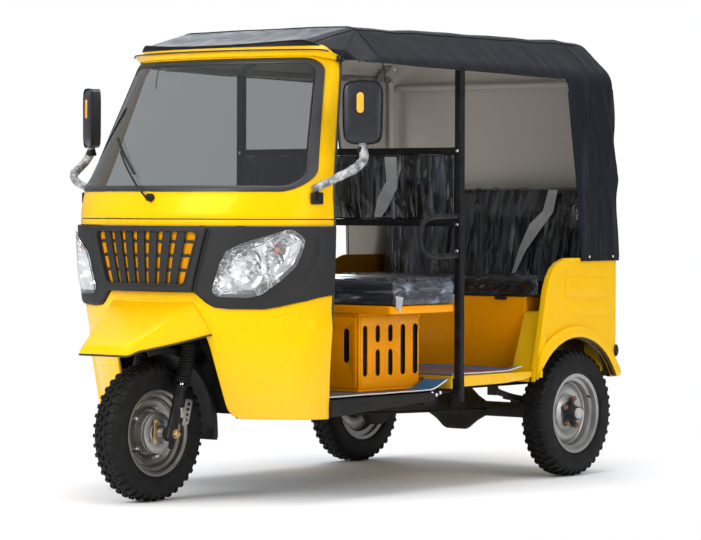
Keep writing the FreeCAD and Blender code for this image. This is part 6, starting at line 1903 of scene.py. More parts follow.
def build_mats(context):
    tunnel = [(-0.4065, 0.7835), (0.4065, 0.7835), (0.4065, 1.30), (-0.4065, 1.30)]

    def front_lift(p):
        side = step_up(abs(p.x), 0.47, 0.556)
        wave = 0.0016 * noise.noise(Vector((p.x * 7, p.y * 7, 0))) + 0.0016
        curl = 0.044 * step_up(abs(p.x), 0.405, 0.43) * step_up(p.y, 1.06, 1.21)
        return side * 0.005 + curl + wave
    front = curled_mat("front_floor_mat", -0.554, 0.554, 0.402, 1.182, 0.393, front_lift, [tunnel])

    def rear_lift(p):
        side = step_up(abs(p.x), 0.44, 0.556) * (1 - step_up(abs(p.x), 0.60, 0.61))
        wave = 0.0014 * noise.noise(Vector((p.x * 6, p.y * 6, 4))) + 0.0014
        return side * (0.002 + 0.016 * step_up(p.y, 1.56, 1.70)) + wave
    corners = [[(side * 0.4797, 1.684), (side * 0.70, 1.684), (side * 0.70, 1.85), (side * 0.4797, 1.85)]
               for side in (-1, 1)]
    rear = curled_mat("rear_floor_mat", -0.560, 0.560, 1.198, 1.806, 0.452, rear_lift, corners)
    edges = []
    for side in (-1, 1):
        line = [Vector((side * 0.554, 0.41 + 0.76 * k / 30, 0.0)) for k in range(31)]
        edges.append(pipe("edge", [Vector((p.x, p.y, 0.3960 + front_lift(p))) for p in line], 0.0030, 8))
        line = [Vector((side * 0.560, 1.20 + 0.478 * k / 22, 0.0)) for k in range(23)]
        edges.append(pipe("edge", [Vector((p.x, p.y, 0.4550 + rear_lift(p))) for p in line], 0.0030, 8))
    place_on(front, "root", "floor_mat", material("front_mat"), "front_mat")
    place_on(rear, "root", "floor_mat", material("rear_mat"), "rear_mat")
    place_on(join(edges, "mat_edging"), "root", "floor_mat", material("mat_white"))


def build_wheel_boxes(context):
    boxes = []
    for side in (-1, 1):
        outline = rounded([(1.6905, 0.409), (1.800, 0.699), (2.236, 0.699), (2.236, 0.409)],
                          [0.004, 0.03, 0.02, 0.004], 6)
        inner, outer = sorted((side * 0.4865, side * 0.5885))
        body = prism("wheel_box", outline, "X", inner, outer)
        hollow = rounded([(1.702, 0.380), (1.8065, 0.693), (2.230, 0.693), (2.230, 0.380)],
                         [0.004, 0.03, 0.02, 0.004], 6)
        low, high = sorted((side * 0.4925, side * 0.640))
        cut(body, prism("hollow", hollow, "X", low, high))
        boxes.append(soften(body, 0.003, 3, 40))
    place_on(join(boxes, "wheel_box_panels"), "root", "body_paint", material("wheel_box_paint"), "wheel_boxes")


DRESSING = {
    "grille_back": "yellow_paint", "wheelhouse": "worn_black", "dashboard": "dash_plastic",
    "chassis_frame": "worn_black",
    "steering_head": "worn_black", "front_floor": "worn_black", "engine_block": "cast_iron",
    "rear_axle": "cast_iron",
    "leaf_springs": "spring_dark", "prop_shaft": "spring_dark", "muffler": "muffler_steel",
    "brake_rod": "worn_black"}


def dress_nodes(context):
    """Gives each part that is still shown as packed its own worked finish."""
    for name, finish in DRESSING.items():
        node = frame["nodes"][name]
        for slot in node.material_slots:
            slot.material = material(finish)
        if not node.material_slots:
            node.data.materials.append(material(finish))


def build_trim(context):
    """The rubber down each door edge of the cab, the roof's corner brackets and the rear side markers."""
    lines = []
    for side in (-1, 1):
        levels = [0.335 + (1.745 - 0.335) * k / 60 for k in range(61)]
        route = [on_skin(side * DOOR_EDGE, z, -0.0005) + Vector((0, 0.0035, 0)) for z in levels]
        lines.append(pipe("trim", route, 0.0060, 10))
    place_on(join(lines, "door_edge_rubber"), "root", "rubber_seal", material("seal_rubber"))
    brackets = []
    for side in (-1, 1):
        low, high = sorted((side * 0.500, side * 0.524))
        brackets.append(block("bracket", (low, 0.522, 1.698), (high, 0.552, 1.722), 0.003, 2))
        brackets.append(primitive("uv_sphere", "screw", segments=14, ring_count=8, radius=0.006,
                                  location=(side * 0.525, 0.537, 1.706)))
    place_on(smooth(join(brackets, "roof_corner_brackets"), 40), "root", "black_paint", material("gloss_black"))
    markers = []
    for side in (-1, 1):
        markers.append(primitive("uv_sphere", "marker", segments=20, ring_count=12, radius=0.01,
                                 location=(side * 0.6165, 2.292, 0.520)))
        reshape(markers[-1], lambda p, x=side * 0.6165: Vector((x + (p.x - x) * 0.9, 2.292 + (p.y - 2.292) * 1.4,
                                                                0.520 + (p.z - 0.520) * 2.6)))
    place_on(smooth(join(markers, "side_markers"), 60), "root", "black_paint", material("gloss_black"))


# Materials

class Nodes:
    """A short way to write a material's nodes."""

    def __init__(self, name):
        self.material = bpy.data.materials.new(name)
        self.material.use_nodes = True
        self.tree = self.material.node_tree
        self.shader = self.tree.nodes["Principled BSDF"]
        self.place = self.add("ShaderNodeTexCoord").outputs["Object"]

    def add(self, kind, **settings):
        node = self.tree.nodes.new(kind)
        for key, value in settings.items():
            setattr(node, key, value)
        return node

    def link(self, source, target):
        self.tree.links.new(source, target)

    def stretched(self, scale=(1, 1, 1), turn=(0, 0, 0)):
        node = self.add("ShaderNodeMapping")
        node.inputs["Scale"].default_value = scale
        node.inputs["Rotation"].default_value = turn
        self.link(self.place, node.inputs["Vector"])
        return node.outputs["Vector"]

    def noise(self, scale, detail=3.0, rough=0.5, place=None, distortion=0.0):
        node = self.add("ShaderNodeTexNoise")
        node.inputs["Scale"].default_value = scale
        node.inputs["Detail"].default_value = detail
        node.inputs["Roughness"].default_value = rough
        node.inputs["Distortion"].default_value = distortion
        self.link(place or self.place, node.inputs["Vector"])
        return node.outputs["Fac"]

    def voronoi(self, scale, place=None, feature="F1"):
        node = self.add("ShaderNodeTexVoronoi", feature=feature)
        node.inputs["Scale"].default_value = scale
        self.link(place or self.place, node.inputs["Vector"])
        return node.outputs["Distance"]

    def wave(self, scale, direction="X", profile="SIN", place=None, distortion=0.0):
        node = self.add("ShaderNodeTexWave", bands_direction=direction, wave_profile=profile)
        node.inputs["Scale"].default_value = scale
        node.inputs["Distortion"].default_value = distortion
        self.link(place or self.place, node.inputs["Vector"])
        return node.outputs["Fac"]

    def ramp(self, source, stops, interpolation="LINEAR"):
        node = self.add("ShaderNodeValToRGB")
        node.color_ramp.interpolation = interpolation
        elements = node.color_ramp.elements
        while len(elements) < len(stops):
            elements.new(0.5)
        for element, (position, colour) in zip(elements, stops):
            element.position = position
            element.color = (*colour, 1) if len(colour) == 3 else colour
        self.link(source, node.inputs["Fac"])
        return node.outputs["Color"]

    def levels(self, source, low, high, out_low=0.0, out_high=1.0):
        node = self.add("ShaderNodeMapRange")
        for key, value in (("From Min", low), ("From Max", high), ("To Min", out_low), ("To Max", out_high)):
            node.inputs[key].default_value = value
        self.link(source, node.inputs["Value"])
        return node.outputs["Result"]

    def maths(self, operation, a, b=None):
        node = self.add("ShaderNodeMath", operation=operation)
        for index, value in enumerate((a, b)):
            if value is None:
                continue
            if isinstance(value, (int, float)):
                node.inputs[index].default_value = value
            else:
                self.link(value, node.inputs[index])
        return node.outputs["Value"]

    def mix(self, share, first, second, blend="MIX"):
        node = self.add("ShaderNodeMix", data_type="RGBA", blend_type=blend)
        for name, value in (("Factor", share), ("A", first), ("B", second)):
            socket = next(s for s in node.inputs if s.name == name and s.enabled)
            if isinstance(value, (int, float)):
                socket.default_value = value
            elif isinstance(value, tuple):
                socket.default_value = (*value, 1) if len(value) == 3 else value
            else:
                self.link(value, socket)
        return next(s for s in node.outputs if s.name == "Result" and s.enabled)

    def split(self, place=None):
        node = self.add("ShaderNodeSeparateXYZ")
        self.link(place or self.place, node.inputs["Vector"])
        return node.outputs

    def bump(self, height, strength, distance, under=None, target="Normal"):
        node = self.add("ShaderNodeBump")
        node.inputs["Strength"].default_value = strength
        node.inputs["Distance"].default_value = distance
        self.link(height, node.inputs["Height"])
        if under is not None:
            self.link(under, node.inputs["Normal"])
        if target:
            self.link(node.outputs["Normal"], self.shader.inputs[target])
        return node.outputs["Normal"]

    def set(self, **values):
        for key, value in values.items():
            socket = self.shader.inputs[key.replace("_", " ")]
            if hasattr(value, "is_linked") or hasattr(value, "links"):
                self.link(value, socket)
            else:
                socket.default_value = (*value, 1) if isinstance(value, tuple) and len(value) == 3 else value
        return self.material


def gloss_paint(name, colour):
    """Sprayed enamel under a clear coat, with faint orange peel and a little dust low down."""
    n = Nodes(name)
    cloud = n.noise(2.2, 4)
    low = n.levels(n.split()["Z"], 0.30, 0.62, 1.0, 0.0)
    dust = n.maths("MULTIPLY", n.maths("MULTIPLY", low, n.noise(26, 6, 0.65)), 0.35)
    base = n.mix(cloud, colour, tuple(c * 0.93 for c in colour))
    base = n.mix(dust, base, (0.42, 0.33, 0.18))
    n.bump(n.noise(240, 2), 0.05, 0.0004)
    rough = n.levels(n.noise(9, 4), 0.3, 0.7, 0.24, 0.32)
    return n.set(Base_Color=base, Roughness=rough, Coat_Weight=0.06, Coat_Roughness=0.06, Specular_IOR_Level=0.50,
                 Specular_Tint=(1.0, 0.72, 0.03))


def inner_paint(name, colour, dark, centre, near=0.0, reach=9.0, around=(1, 1, 1), sides=(-0.30, -0.20, 1.0, 0.0),
                shade=(0.085, 0.036, 0.001)):
    """Enamel with painted shade: faces that look back at the centre within reach take the dark colour, and faces
    picked by sides from their place across X times their normal's X take the shade colour. This puts painted shade
    on the inward faces of the tub's sides, the seat box and the bench bin, and makes the wheel arches dark inside.
    """
    n = Nodes(name)
    place = n.add("ShaderNodeTexCoord")
    away = n.add("ShaderNodeVectorMath", operation="SUBTRACT")
    n.link(place.outputs["Object"], away.inputs[0])
    away.inputs[1].default_value = centre
    flat = n.add("ShaderNodeVectorMath", operation="MULTIPLY")
    n.link(away.outputs["Vector"], flat.inputs[0])
    flat.inputs[1].default_value = around
    facing = n.add("ShaderNodeVectorMath", operation="DOT_PRODUCT")
    n.link(flat.outputs["Vector"], facing.inputs[0])
    n.link(place.outputs["Normal"], facing.inputs[1])
    distance = n.add("ShaderNodeVectorMath", operation="LENGTH")
    n.link(flat.outputs["Vector"], distance.inputs[0])
    # Painted shade inside the seat box; on the tub, the wheel arches' inner faces are darkened
    inside = n.maths("MULTIPLY", n.levels(facing.outputs["Value"], near - 0.05, near, 1.0, 0.0),
                     n.levels(distance.outputs["Value"], reach, reach + 0.02, 1.0, 0.0))
    base = n.mix(n.noise(2.2, 4), colour, tuple(c * 0.92 for c in colour))
    base = n.mix(inside, base, dark)
    # Painted shade on the inward faces of the tub, seat box and bench; on the wheel boxes, the faces towards the
    # wheels are darkened
    sideways = n.maths("MULTIPLY", n.split()["X"], n.split(place.outputs["Normal"])["X"])
    base = n.mix(n.levels(sideways, *sides), base, shade)
    n.bump(n.noise(240, 2), 0.05, 0.0004)
    return n.set(Base_Color=base, Roughness=n.levels(n.noise(9, 4), 0.3, 0.7, 0.24, 0.32), Coat_Weight=0.06,
                 Coat_Roughness=0.06, Specular_IOR_Level=0.50, Specular_Tint=(1.0, 0.72, 0.03))


def satin_black(name, colour=(0.006, 0.006, 0.0065), rough=0.38):
    n = Nodes(name)
    base = n.mix(n.levels(n.noise(30, 5), 0.35, 0.75), colour, tuple(c * 2.2 + 0.004 for c in colour))
    n.bump(n.noise(420, 2), 0.08, 0.0003)
    return n.set(Base_Color=base, Roughness=n.levels(n.noise(14, 4), 0.3, 0.7, rough, rough + 0.14),
                 Specular_IOR_Level=0.14)


def moulded_plastic(name, colour, rough=0.55, grain=900):
    """Grained plastic with a fine leathery texture and slight clouding."""
    n = Nodes(name)
    base = n.mix(n.noise(6, 4), colour, tuple(c * 1.35 + 0.004 for c in colour))
    n.bump(n.voronoi(grain), 0.22, 0.0003)
    return n.set(Base_Color=base, Roughness=n.levels(n.noise(20, 4), 0.3, 0.7, rough - 0.05, rough + 0.08),
                 Specular_IOR_Level=0.22)


MATERIALS = {}


def material(name):
    """Each finish is made once, from the colours in the sidebar."""
    if name not in MATERIALS:
        MATERIALS[name] = FINISHES[name](bpy.context.scene.rickshaw_colours)
    return MATERIALS[name]


def seal_rubber(name, colour=(0.010, 0.010, 0.011)):
    n = Nodes(name)
    n.bump(n.noise(300, 3), 0.10, 0.0003)
    base = n.mix(n.noise(18, 4), colour, tuple(c * 2.4 for c in colour))
    return n.set(Base_Color=base, Roughness=n.levels(n.noise(12, 4), 0.3, 0.7, 0.36, 0.5))


def tinted_glass(name, colour):
    n = Nodes(name)
    return n.set(Base_Color=colour, Roughness=0.02, Transmission_Weight=1.0, IOR=1.45)


def thin_film(name):
    """Crumpled clear wrapping: bright creases on a nearly clear sheet."""
    n = Nodes(name)
    crumple = n.noise(24, 4, 0.6, distortion=1.4)
    ridge = n.maths("ABSOLUTE", n.maths("SUBTRACT", crumple, 0.5))
    crease = n.maths("MULTIPLY", n.levels(ridge, 0.0, 0.018, 1.0, 0.0), n.levels(n.noise(9, 2), 0.42, 0.56))
    n.bump(crumple, 0.8, 0.004)
    return n.set(Base_Color=(0.93, 0.95, 0.97), Roughness=0.14, Alpha=n.levels(crease, 0, 1, 0.05, 0.62))


def chrome(name):
    n = Nodes(name)
    n.bump(n.noise(40, 2), 0.04, 0.001)
    return n.set(Base_Color=n.mix(n.noise(14), (0.66, 0.67, 0.68), (0.80, 0.81, 0.82)), Metallic=1.0,
                 Roughness=n.levels(n.noise(30), 0.3, 0.7, 0.05, 0.12))


def clear_plastic(name, colour, rough=0.08):
    n = Nodes(name)
    n.bump(n.noise(120, 2), 0.03, 0.0004)
    return n.set(Base_Color=n.mix(n.noise(25), colour, tuple(min(1, c * 1.15) for c in colour)), Roughness=rough,
                 Coat_Weight=0.5)


def wrap_silver(name):
    """An arm wound in shiny crumpled plastic."""
    n = Nodes(name)
    place = n.stretched((1, 1, 1))
    crumple = n.noise(70, 8, 0.7, place, 1.2)
    n.bump(crumple, 0.8, 0.004)
    base = n.ramp(n.noise(38, 6, 0.65), [(0.34, (0.07, 0.072, 0.075)), (0.50, (0.24, 0.245, 0.25)),
                                         (0.70, (0.60, 0.61, 0.62))])
    return n.set(Base_Color=base, Roughness=n.levels(crumple, 0.3, 0.7, 0.20, 0.42), Metallic=0.1)


def coated_cloth(name, colour):
    """Vinyl-coated roofing cloth with a fine pebble grain and faint creases, and painted highlights along the folds
    of the rear quarters.
    """
    n = Nodes(name)
    base = n.mix(n.noise(5, 5, 0.6), colour, tuple(c * 1.5 + 0.002 for c in colour))
    place = n.split()
    rear = n.maths("MULTIPLY", n.levels(place["Y"], along(1.90), along(2.06)),
                   n.levels(place["Z"], 1.58, 1.72, 1.0, 0.0))
    hang = n.noise(6.5, 1.5, 0.5, n.stretched((2.4, 2.4, 0.30)), 0.25)
    # Lighter colour along the rear quarters' folds: painted highlight
    fold = n.maths("MULTIPLY", n.levels(hang, 0.54, 0.68), rear)
    base = n.mix(fold, base, (0.024, 0.027, 0.034))
    drape = n.bump(n.maths("MULTIPLY", hang, rear), 0.7, 0.030, target=None)
    grain = n.bump(n.voronoi(1300), 0.12, 0.0003, under=drape, target=None)
    n.bump(n.noise(11, 5, 0.6, distortion=0.6), 0.22, 0.006, under=grain)
    return n.set(Base_Color=base, Roughness=n.levels(n.noise(16, 5), 0.3, 0.7, 0.36, 0.48), Specular_IOR_Level=0.11)


def woven_lining(name):
    n = Nodes(name)
    base = n.mix(n.noise(3.5, 5), (0.52, 0.485, 0.435), (0.60, 0.565, 0.515))
    weave = n.maths("MULTIPLY", n.wave(420, "X"), n.wave(420, "Z"))
    under = n.bump(weave, 0.15, 0.0003, target=None)
    n.bump(n.noise(7, 4), 0.25, 0.008, under=under)
    return n.set(Base_Color=base, Roughness=0.82)


def wrapped_vinyl(name, stretch, turn=(0, 0, 0), share=0.45, deep=(0.006, 0.0065, 0.008)):
    """Black vinyl inside clear film, with a bluish painted sheen and pale streaks along creases that run one way,
    partly whitened film and partly painted highlight.
    """
    n = Nodes(name)
    place = n.stretched(stretch, turn)
    crumple = n.noise(2.6, 2.5, 0.55, place, 0.8)
    fine = n.noise(5.5, 1.2, 0.5, place, 0.35)
    crease = n.levels(fine, 0.585, 0.66)
    patch = n.levels(n.noise(1.5, 2, 0.5, place), 0.48, 0.60)
    crease_and_painted_highlight = n.maths("MULTIPLY", crease, patch)
    # A bluish painted sheen over broad patches of the crumple, and pale streaks along the creases: partly whitened
    # film, partly painted highlight
    painted_sheen = n.levels(crumple, 0.52, 0.72)
    base = n.mix(n.maths("MULTIPLY", painted_sheen, share), deep, (0.14, 0.165, 0.22))
    base = n.mix(n.maths("MULTIPLY", crease_and_painted_highlight, share * 0.6), base, (0.50, 0.54, 0.62))
    under = n.bump(crumple, 0.85, 0.030, target=None)
    n.bump(fine, 0.55, 0.010, under=under)
    return n.set(Base_Color=base, Roughness=n.levels(fine, 0.35, 0.65, 0.14, 0.26), Coat_Weight=0.35,
                 Coat_Roughness=0.06,
                 Specular_IOR_Level=0.45)


def doubled_film(name):
    n = Nodes(name)
    cloud = n.noise(14, 4)
    return n.set(Base_Color=n.mix(cloud, (0.42, 0.43, 0.44), (0.58, 0.59, 0.60)), Roughness=0.3,
                 Alpha=n.levels(cloud, 0.3, 0.7, 0.55, 0.72))


def painted_steel(name, colour, metal=0.55, rough=0.32, marks=0.5):
    n = Nodes(name)
    stain = n.levels(n.noise(26, 6, 0.65), 0.42, 0.74)
    base = n.mix(n.maths("MULTIPLY", stain, marks), colour, tuple(c * 0.55 for c in colour))
    n.bump(n.noise(150, 3), 0.06, 0.0005)
    return n.set(Base_Color=base, Metallic=metal, Roughness=n.levels(n.noise(18, 4), 0.3, 0.7, rough, rough + 0.14))


def dusty(name, colour, rough=0.55, dust=0.4):
    """A dark finish with patches of road dust."""
    n = Nodes(name)
    cloud = n.levels(n.noise(17, 6, 0.65), 0.42, 0.72)
    base = n.mix(n.noise(40, 4), colour, tuple(c * 1.8 + 0.003 for c in colour))
    base = n.mix(n.maths("MULTIPLY", cloud, dust), base, (0.085, 0.077, 0.066))
    n.bump(n.noise(190, 4), 0.16, 0.0006)
    return n.set(Base_Color=base, Roughness=n.levels(cloud, 0, 1, rough, 0.85), Specular_IOR_Level=0.15)


def worn_tyre(name):
    n = Nodes(name)
    base = n.mix(n.noise(60, 5), (0.005, 0.005, 0.0055), (0.012, 0.012, 0.012))
    dust = n.maths("MULTIPLY", n.levels(n.noise(22, 6, 0.7), 0.45, 0.75), 0.18)
    base = n.mix(dust, base, (0.060, 0.055, 0.048))
    n.bump(n.noise(380, 3), 0.20, 0.0004)
    return n.set(Base_Color=base, Roughness=n.levels(n.noise(30, 4), 0.3, 0.7, 0.42, 0.60), Specular_IOR_Level=0.11)


def striped_mat(name, bands):
    """A rubber mat in bands across the floor: (how far behind the front axle each ends, colour)."""
    n = Nodes(name)
    along_y = n.split()["Y"]
    colour = bands[0][1]
    for (end, _), (_, after) in zip(bands, bands[1:]):
        edge = n.levels(along_y, along(end) - 0.0008, along(end) + 0.0008)
        colour = n.mix(edge, colour, after)
    colour = n.mix(n.levels(n.noise(120, 4), 0.3, 0.9, 0.0, 0.16), colour, (0.30, 0.30, 0.30))
    n.bump(n.wave(260, "Y"), 0.25, 0.0006)
    return n.set(Base_Color=colour, Roughness=n.levels(n.noise(25), 0.3, 0.7, 0.46, 0.62), Specular_IOR_Level=0.25)


def floor_finish():
    """A pale floor that keeps the shadow and goes over into the white ground away from it."""
    n = Nodes("floor")
    n.set(Base_Color=n.mix(n.noise(3, 3), (0.86, 0.86, 0.86), (0.88, 0.88, 0.88)), Roughness=0.9)
    distance = n.add("ShaderNodeVectorMath", operation="LENGTH")
    n.link(n.stretched((1.0, 0.72, 1.0)), distance.inputs[0])
    far = n.levels(distance.outputs["Value"], 1.05, 2.1)
    path = n.add("ShaderNodeLightPath")
    seen = n.maths("MAXIMUM", path.outputs["Is Camera Ray"], path.outputs["Is Transmission Ray"])
    white = n.add("ShaderNodeEmission")
    white.inputs["Color"].default_value = (1, 1, 1, 1)
    mixed = n.add("ShaderNodeMixShader")
    n.link(n.maths("MULTIPLY", far, seen), mixed.inputs["Fac"])
    n.link(n.shader.outputs["BSDF"], mixed.inputs[1])
    n.link(white.outputs["Emission"], mixed.inputs[2])
    n.link(mixed.outputs["Shader"], n.tree.nodes["Material Output"].inputs["Surface"])
    return n.material


FINISHES = {
    "yellow_paint": lambda c: gloss_paint("yellow_paint", tuple(c.body)[:3]),
    # The tub's inward side faces carry painted shade, and its wheel arches are dark inside
    "tub_paint": lambda c: inner_paint("tub_paint", tuple(c.body)[:3], (0.020, 0.012, 0.006),
                                       (0.0, along(1.975), 0.266),
                                       -0.10, 0.375, (0, 1, 1)),
    # A deeper orange copy of the body enamel, dark inside: painted shade on the seat box
    "inner_paint": lambda c: inner_paint("inner_paint", (0.98, 0.335, 0.001), (0.012, 0.008, 0.004),
                                         (0.0, along(0.95), 0.55),
                                         -0.02),
    # Dark on the faces of the wheel boxes that are turned towards the wheels
    "wheel_box_paint": lambda c: inner_paint("wheel_box_paint", tuple(c.body)[:3], (0.020, 0.012, 0.006),
                                             (0.0, along(1.975), 0.266),
                                             -5.0, 0.375, (0, 1, 1), (0.10, 0.20, 0.0, 1.0), (0.020, 0.012, 0.006)),
    # A darker orange copy of the body enamel: painted shade
    "grille_enamel_painted_shade": lambda c: gloss_paint("grille_enamel_painted_shade", (0.62, 0.235, 0.001)),
    # A deeper orange copy of the body enamel with shaded inward faces: painted shade on the bench bin
    "bench_enamel_painted_shade": lambda c: inner_paint("bench_enamel_painted_shade", (0.98, 0.36, 0.001), (0.012, 0.008, 0.004),
                                          (0.0, along(1.9), 0.5),
                                          -5.0),
    "black_paint": lambda c: satin_black("black_paint"),
    "charcoal": lambda c: moulded_plastic("charcoal", tuple(c.panel)[:3]),
    "seal_rubber": lambda c: seal_rubber("seal_rubber"),
    "screen_tint": lambda c: tinted_glass("screen_tint", tuple(c.glass)[:3]),
    "lens_clear": lambda c: tinted_glass("lens_clear", (0.96, 0.97, 0.98)),
    "film": lambda c: thin_film("film"),
    "chrome": lambda c: chrome("chrome"),
    "amber_glass": lambda c: clear_plastic("amber_glass", (0.55, 0.10, 0.03)),
    "mirror_plastic": lambda c: moulded_plastic("mirror_plastic", (0.016, 0.017, 0.020), 0.27, 1100),
    "mirror_glass": lambda c: chrome("mirror_glass"),
    "marker_orange": lambda c: clear_plastic("marker_orange", (0.90, 0.36, 0.03), 0.2),
    "wrap_silver": lambda c: wrap_silver("wrap_silver"),
    "canopy_cloth": lambda c: coated_cloth("canopy_cloth", tuple(c.roof)[:3]),
    "piping": lambda c: coated_cloth("piping", (0.006, 0.006, 0.007)),
    "lining": lambda c: woven_lining("lining"),
    "bright_steel": lambda c: painted_steel("bright_steel", (0.72, 0.73, 0.74), 1.0, 0.16, 0.3),
    "cast_alloy": lambda c: painted_steel("cast_alloy", (0.34, 0.33, 0.315), 0.85, 0.30),
    "rim_silver": lambda c: painted_steel("rim_silver", (0.36, 0.355, 0.345), 0.75, 0.28, 0.4),
    "rim_dull": lambda c: painted_steel("rim_dull", (0.25, 0.235, 0.21), 0.85, 0.24, 0.5),
    "hub_black": lambda c: dusty("hub_black", (0.016, 0.016, 0.017), 0.4, 0.25),
    "cap_white": lambda c: dusty("cap_white", (0.34, 0.33, 0.33), 0.5, 0.3),
    "rusty_zinc": lambda c: painted_steel("rusty_zinc", (0.30, 0.17, 0.10), 0.7, 0.38),
    "gold_zinc": lambda c: painted_steel("gold_zinc", (0.52, 0.37, 0.17), 0.95, 0.28, 0.5),
    "guard_plastic": lambda c: moulded_plastic("guard_plastic", (0.012, 0.012, 0.013), 0.42, 700),
    "tyre_rubber": lambda c: worn_tyre("tyre_rubber"),
    # The driver's cushion is a lighter copy with a stronger painted sheen: painted light on the same black vinyl
    "wrapped_vinyl": lambda c: wrapped_vinyl("wrapped_vinyl", (1.1, 3.2, 6.5), share=0.85,
                                             deep=(0.028, 0.033, 0.043)),
    "wrapped_vinyl_small": lambda c: wrapped_vinyl("wrapped_vinyl_small", (1.8, 4.0, 4.0)),
    "wrapped_vinyl_tall": lambda c: wrapped_vinyl("wrapped_vinyl_tall", (6.5, 3.0, 1.0), (0, math.radians(22), 0),
                                                  0.5),
    "film_fold": lambda c: doubled_film("film_fold"),
    "tube_grey": lambda c: satin_black("tube_grey", (0.15, 0.142, 0.130), 0.26),
    "gloss_black": lambda c: satin_black("gloss_black", (0.010, 0.010, 0.011), 0.10),
    "worn_black": lambda c: dusty("worn_black", (0.006, 0.006, 0.006), 0.5, 0.22),
    "dash_plastic": lambda c: moulded_plastic("dash_plastic", (0.020, 0.020, 0.021), 0.5),
    "cast_iron": lambda c: dusty("cast_iron", (0.020, 0.019, 0.018), 0.6, 0.5),
    "spring_dark": lambda c: dusty("spring_dark", (0.022, 0.021, 0.020), 0.5, 0.4),
    "muffler_steel": lambda c: painted_steel("muffler_steel", (0.10, 0.09, 0.085), 0.6, 0.5, 0.8),
    "red_lens": lambda c: clear_plastic("red_lens", (0.42, 0.010, 0.010), 0.12),
    "amber_lens": lambda c: clear_plastic("amber_lens", (0.75, 0.22, 0.02), 0.12),
    "plate_white": lambda c: clear_plastic("plate_white", (0.62, 0.62, 0.60), 0.35),
    "mat_white": lambda c: clear_plastic("mat_white", (0.66, 0.66, 0.66), 0.4),
    "front_mat": lambda c: striped_mat("front_mat", [
        (1.000, (0.115, 0.115, 0.125)), (1.050, (0.27, 0.045, 0.06)), (1.30, (0.012, 0.15, 0.36))]),
    "rear_mat": lambda c: striped_mat("rear_mat", [
        (1.480, (0.130, 0.110, 0.105)), (1.620, (0.22, 0.045, 0.06)), (1.90, (0.02, 0.15, 0.33))]),
}


class RickshawColours(bpy.types.PropertyGroup):
    body: bpy.props.FloatVectorProperty(
        name="Body paint", description="Enamel of the bodywork", subtype="COLOR", size=4,
        default=(0.86, 0.485, 0.002, 1.0), min=0, max=1)
    panel: bpy.props.FloatVectorProperty(
        name="Nose panel", description="Moulded plastic of the nose panel", subtype="COLOR", size=4,
        default=(0.0125, 0.0125, 0.0130, 1.0), min=0, max=1)
    glass: bpy.props.FloatVectorProperty(
        name="Windscreen", description="Tint of the windscreen glass", subtype="COLOR", size=4,
        default=(0.22, 0.235, 0.235, 1.0), min=0, max=1)
    roof: bpy.props.FloatVectorProperty(
        name="Roof cloth", description="Coated cloth of the roof", subtype="COLOR", size=4,
        default=(0.0075, 0.0080, 0.0110, 1.0), min=0, max=1)


class RickshawSizes(bpy.types.PropertyGroup):
    camera_distance: bpy.props.FloatProperty(
        name="Camera distance", description="From the camera to the vehicle's middle",
        default=12.57, unit="LENGTH")


# The camera's fitted angles and its lens
CAMERA_AZIMUTH = math.radians(38.951)
CAMERA_ELEVATION = math.radians(1.243)
CAMERA_ROLL = math.radians(-0.137)
CAMERA_FOCAL_SHARE = 3095.6 / 701
CAMERA_TARGET = (0.1908, 1.0, 0.8785)


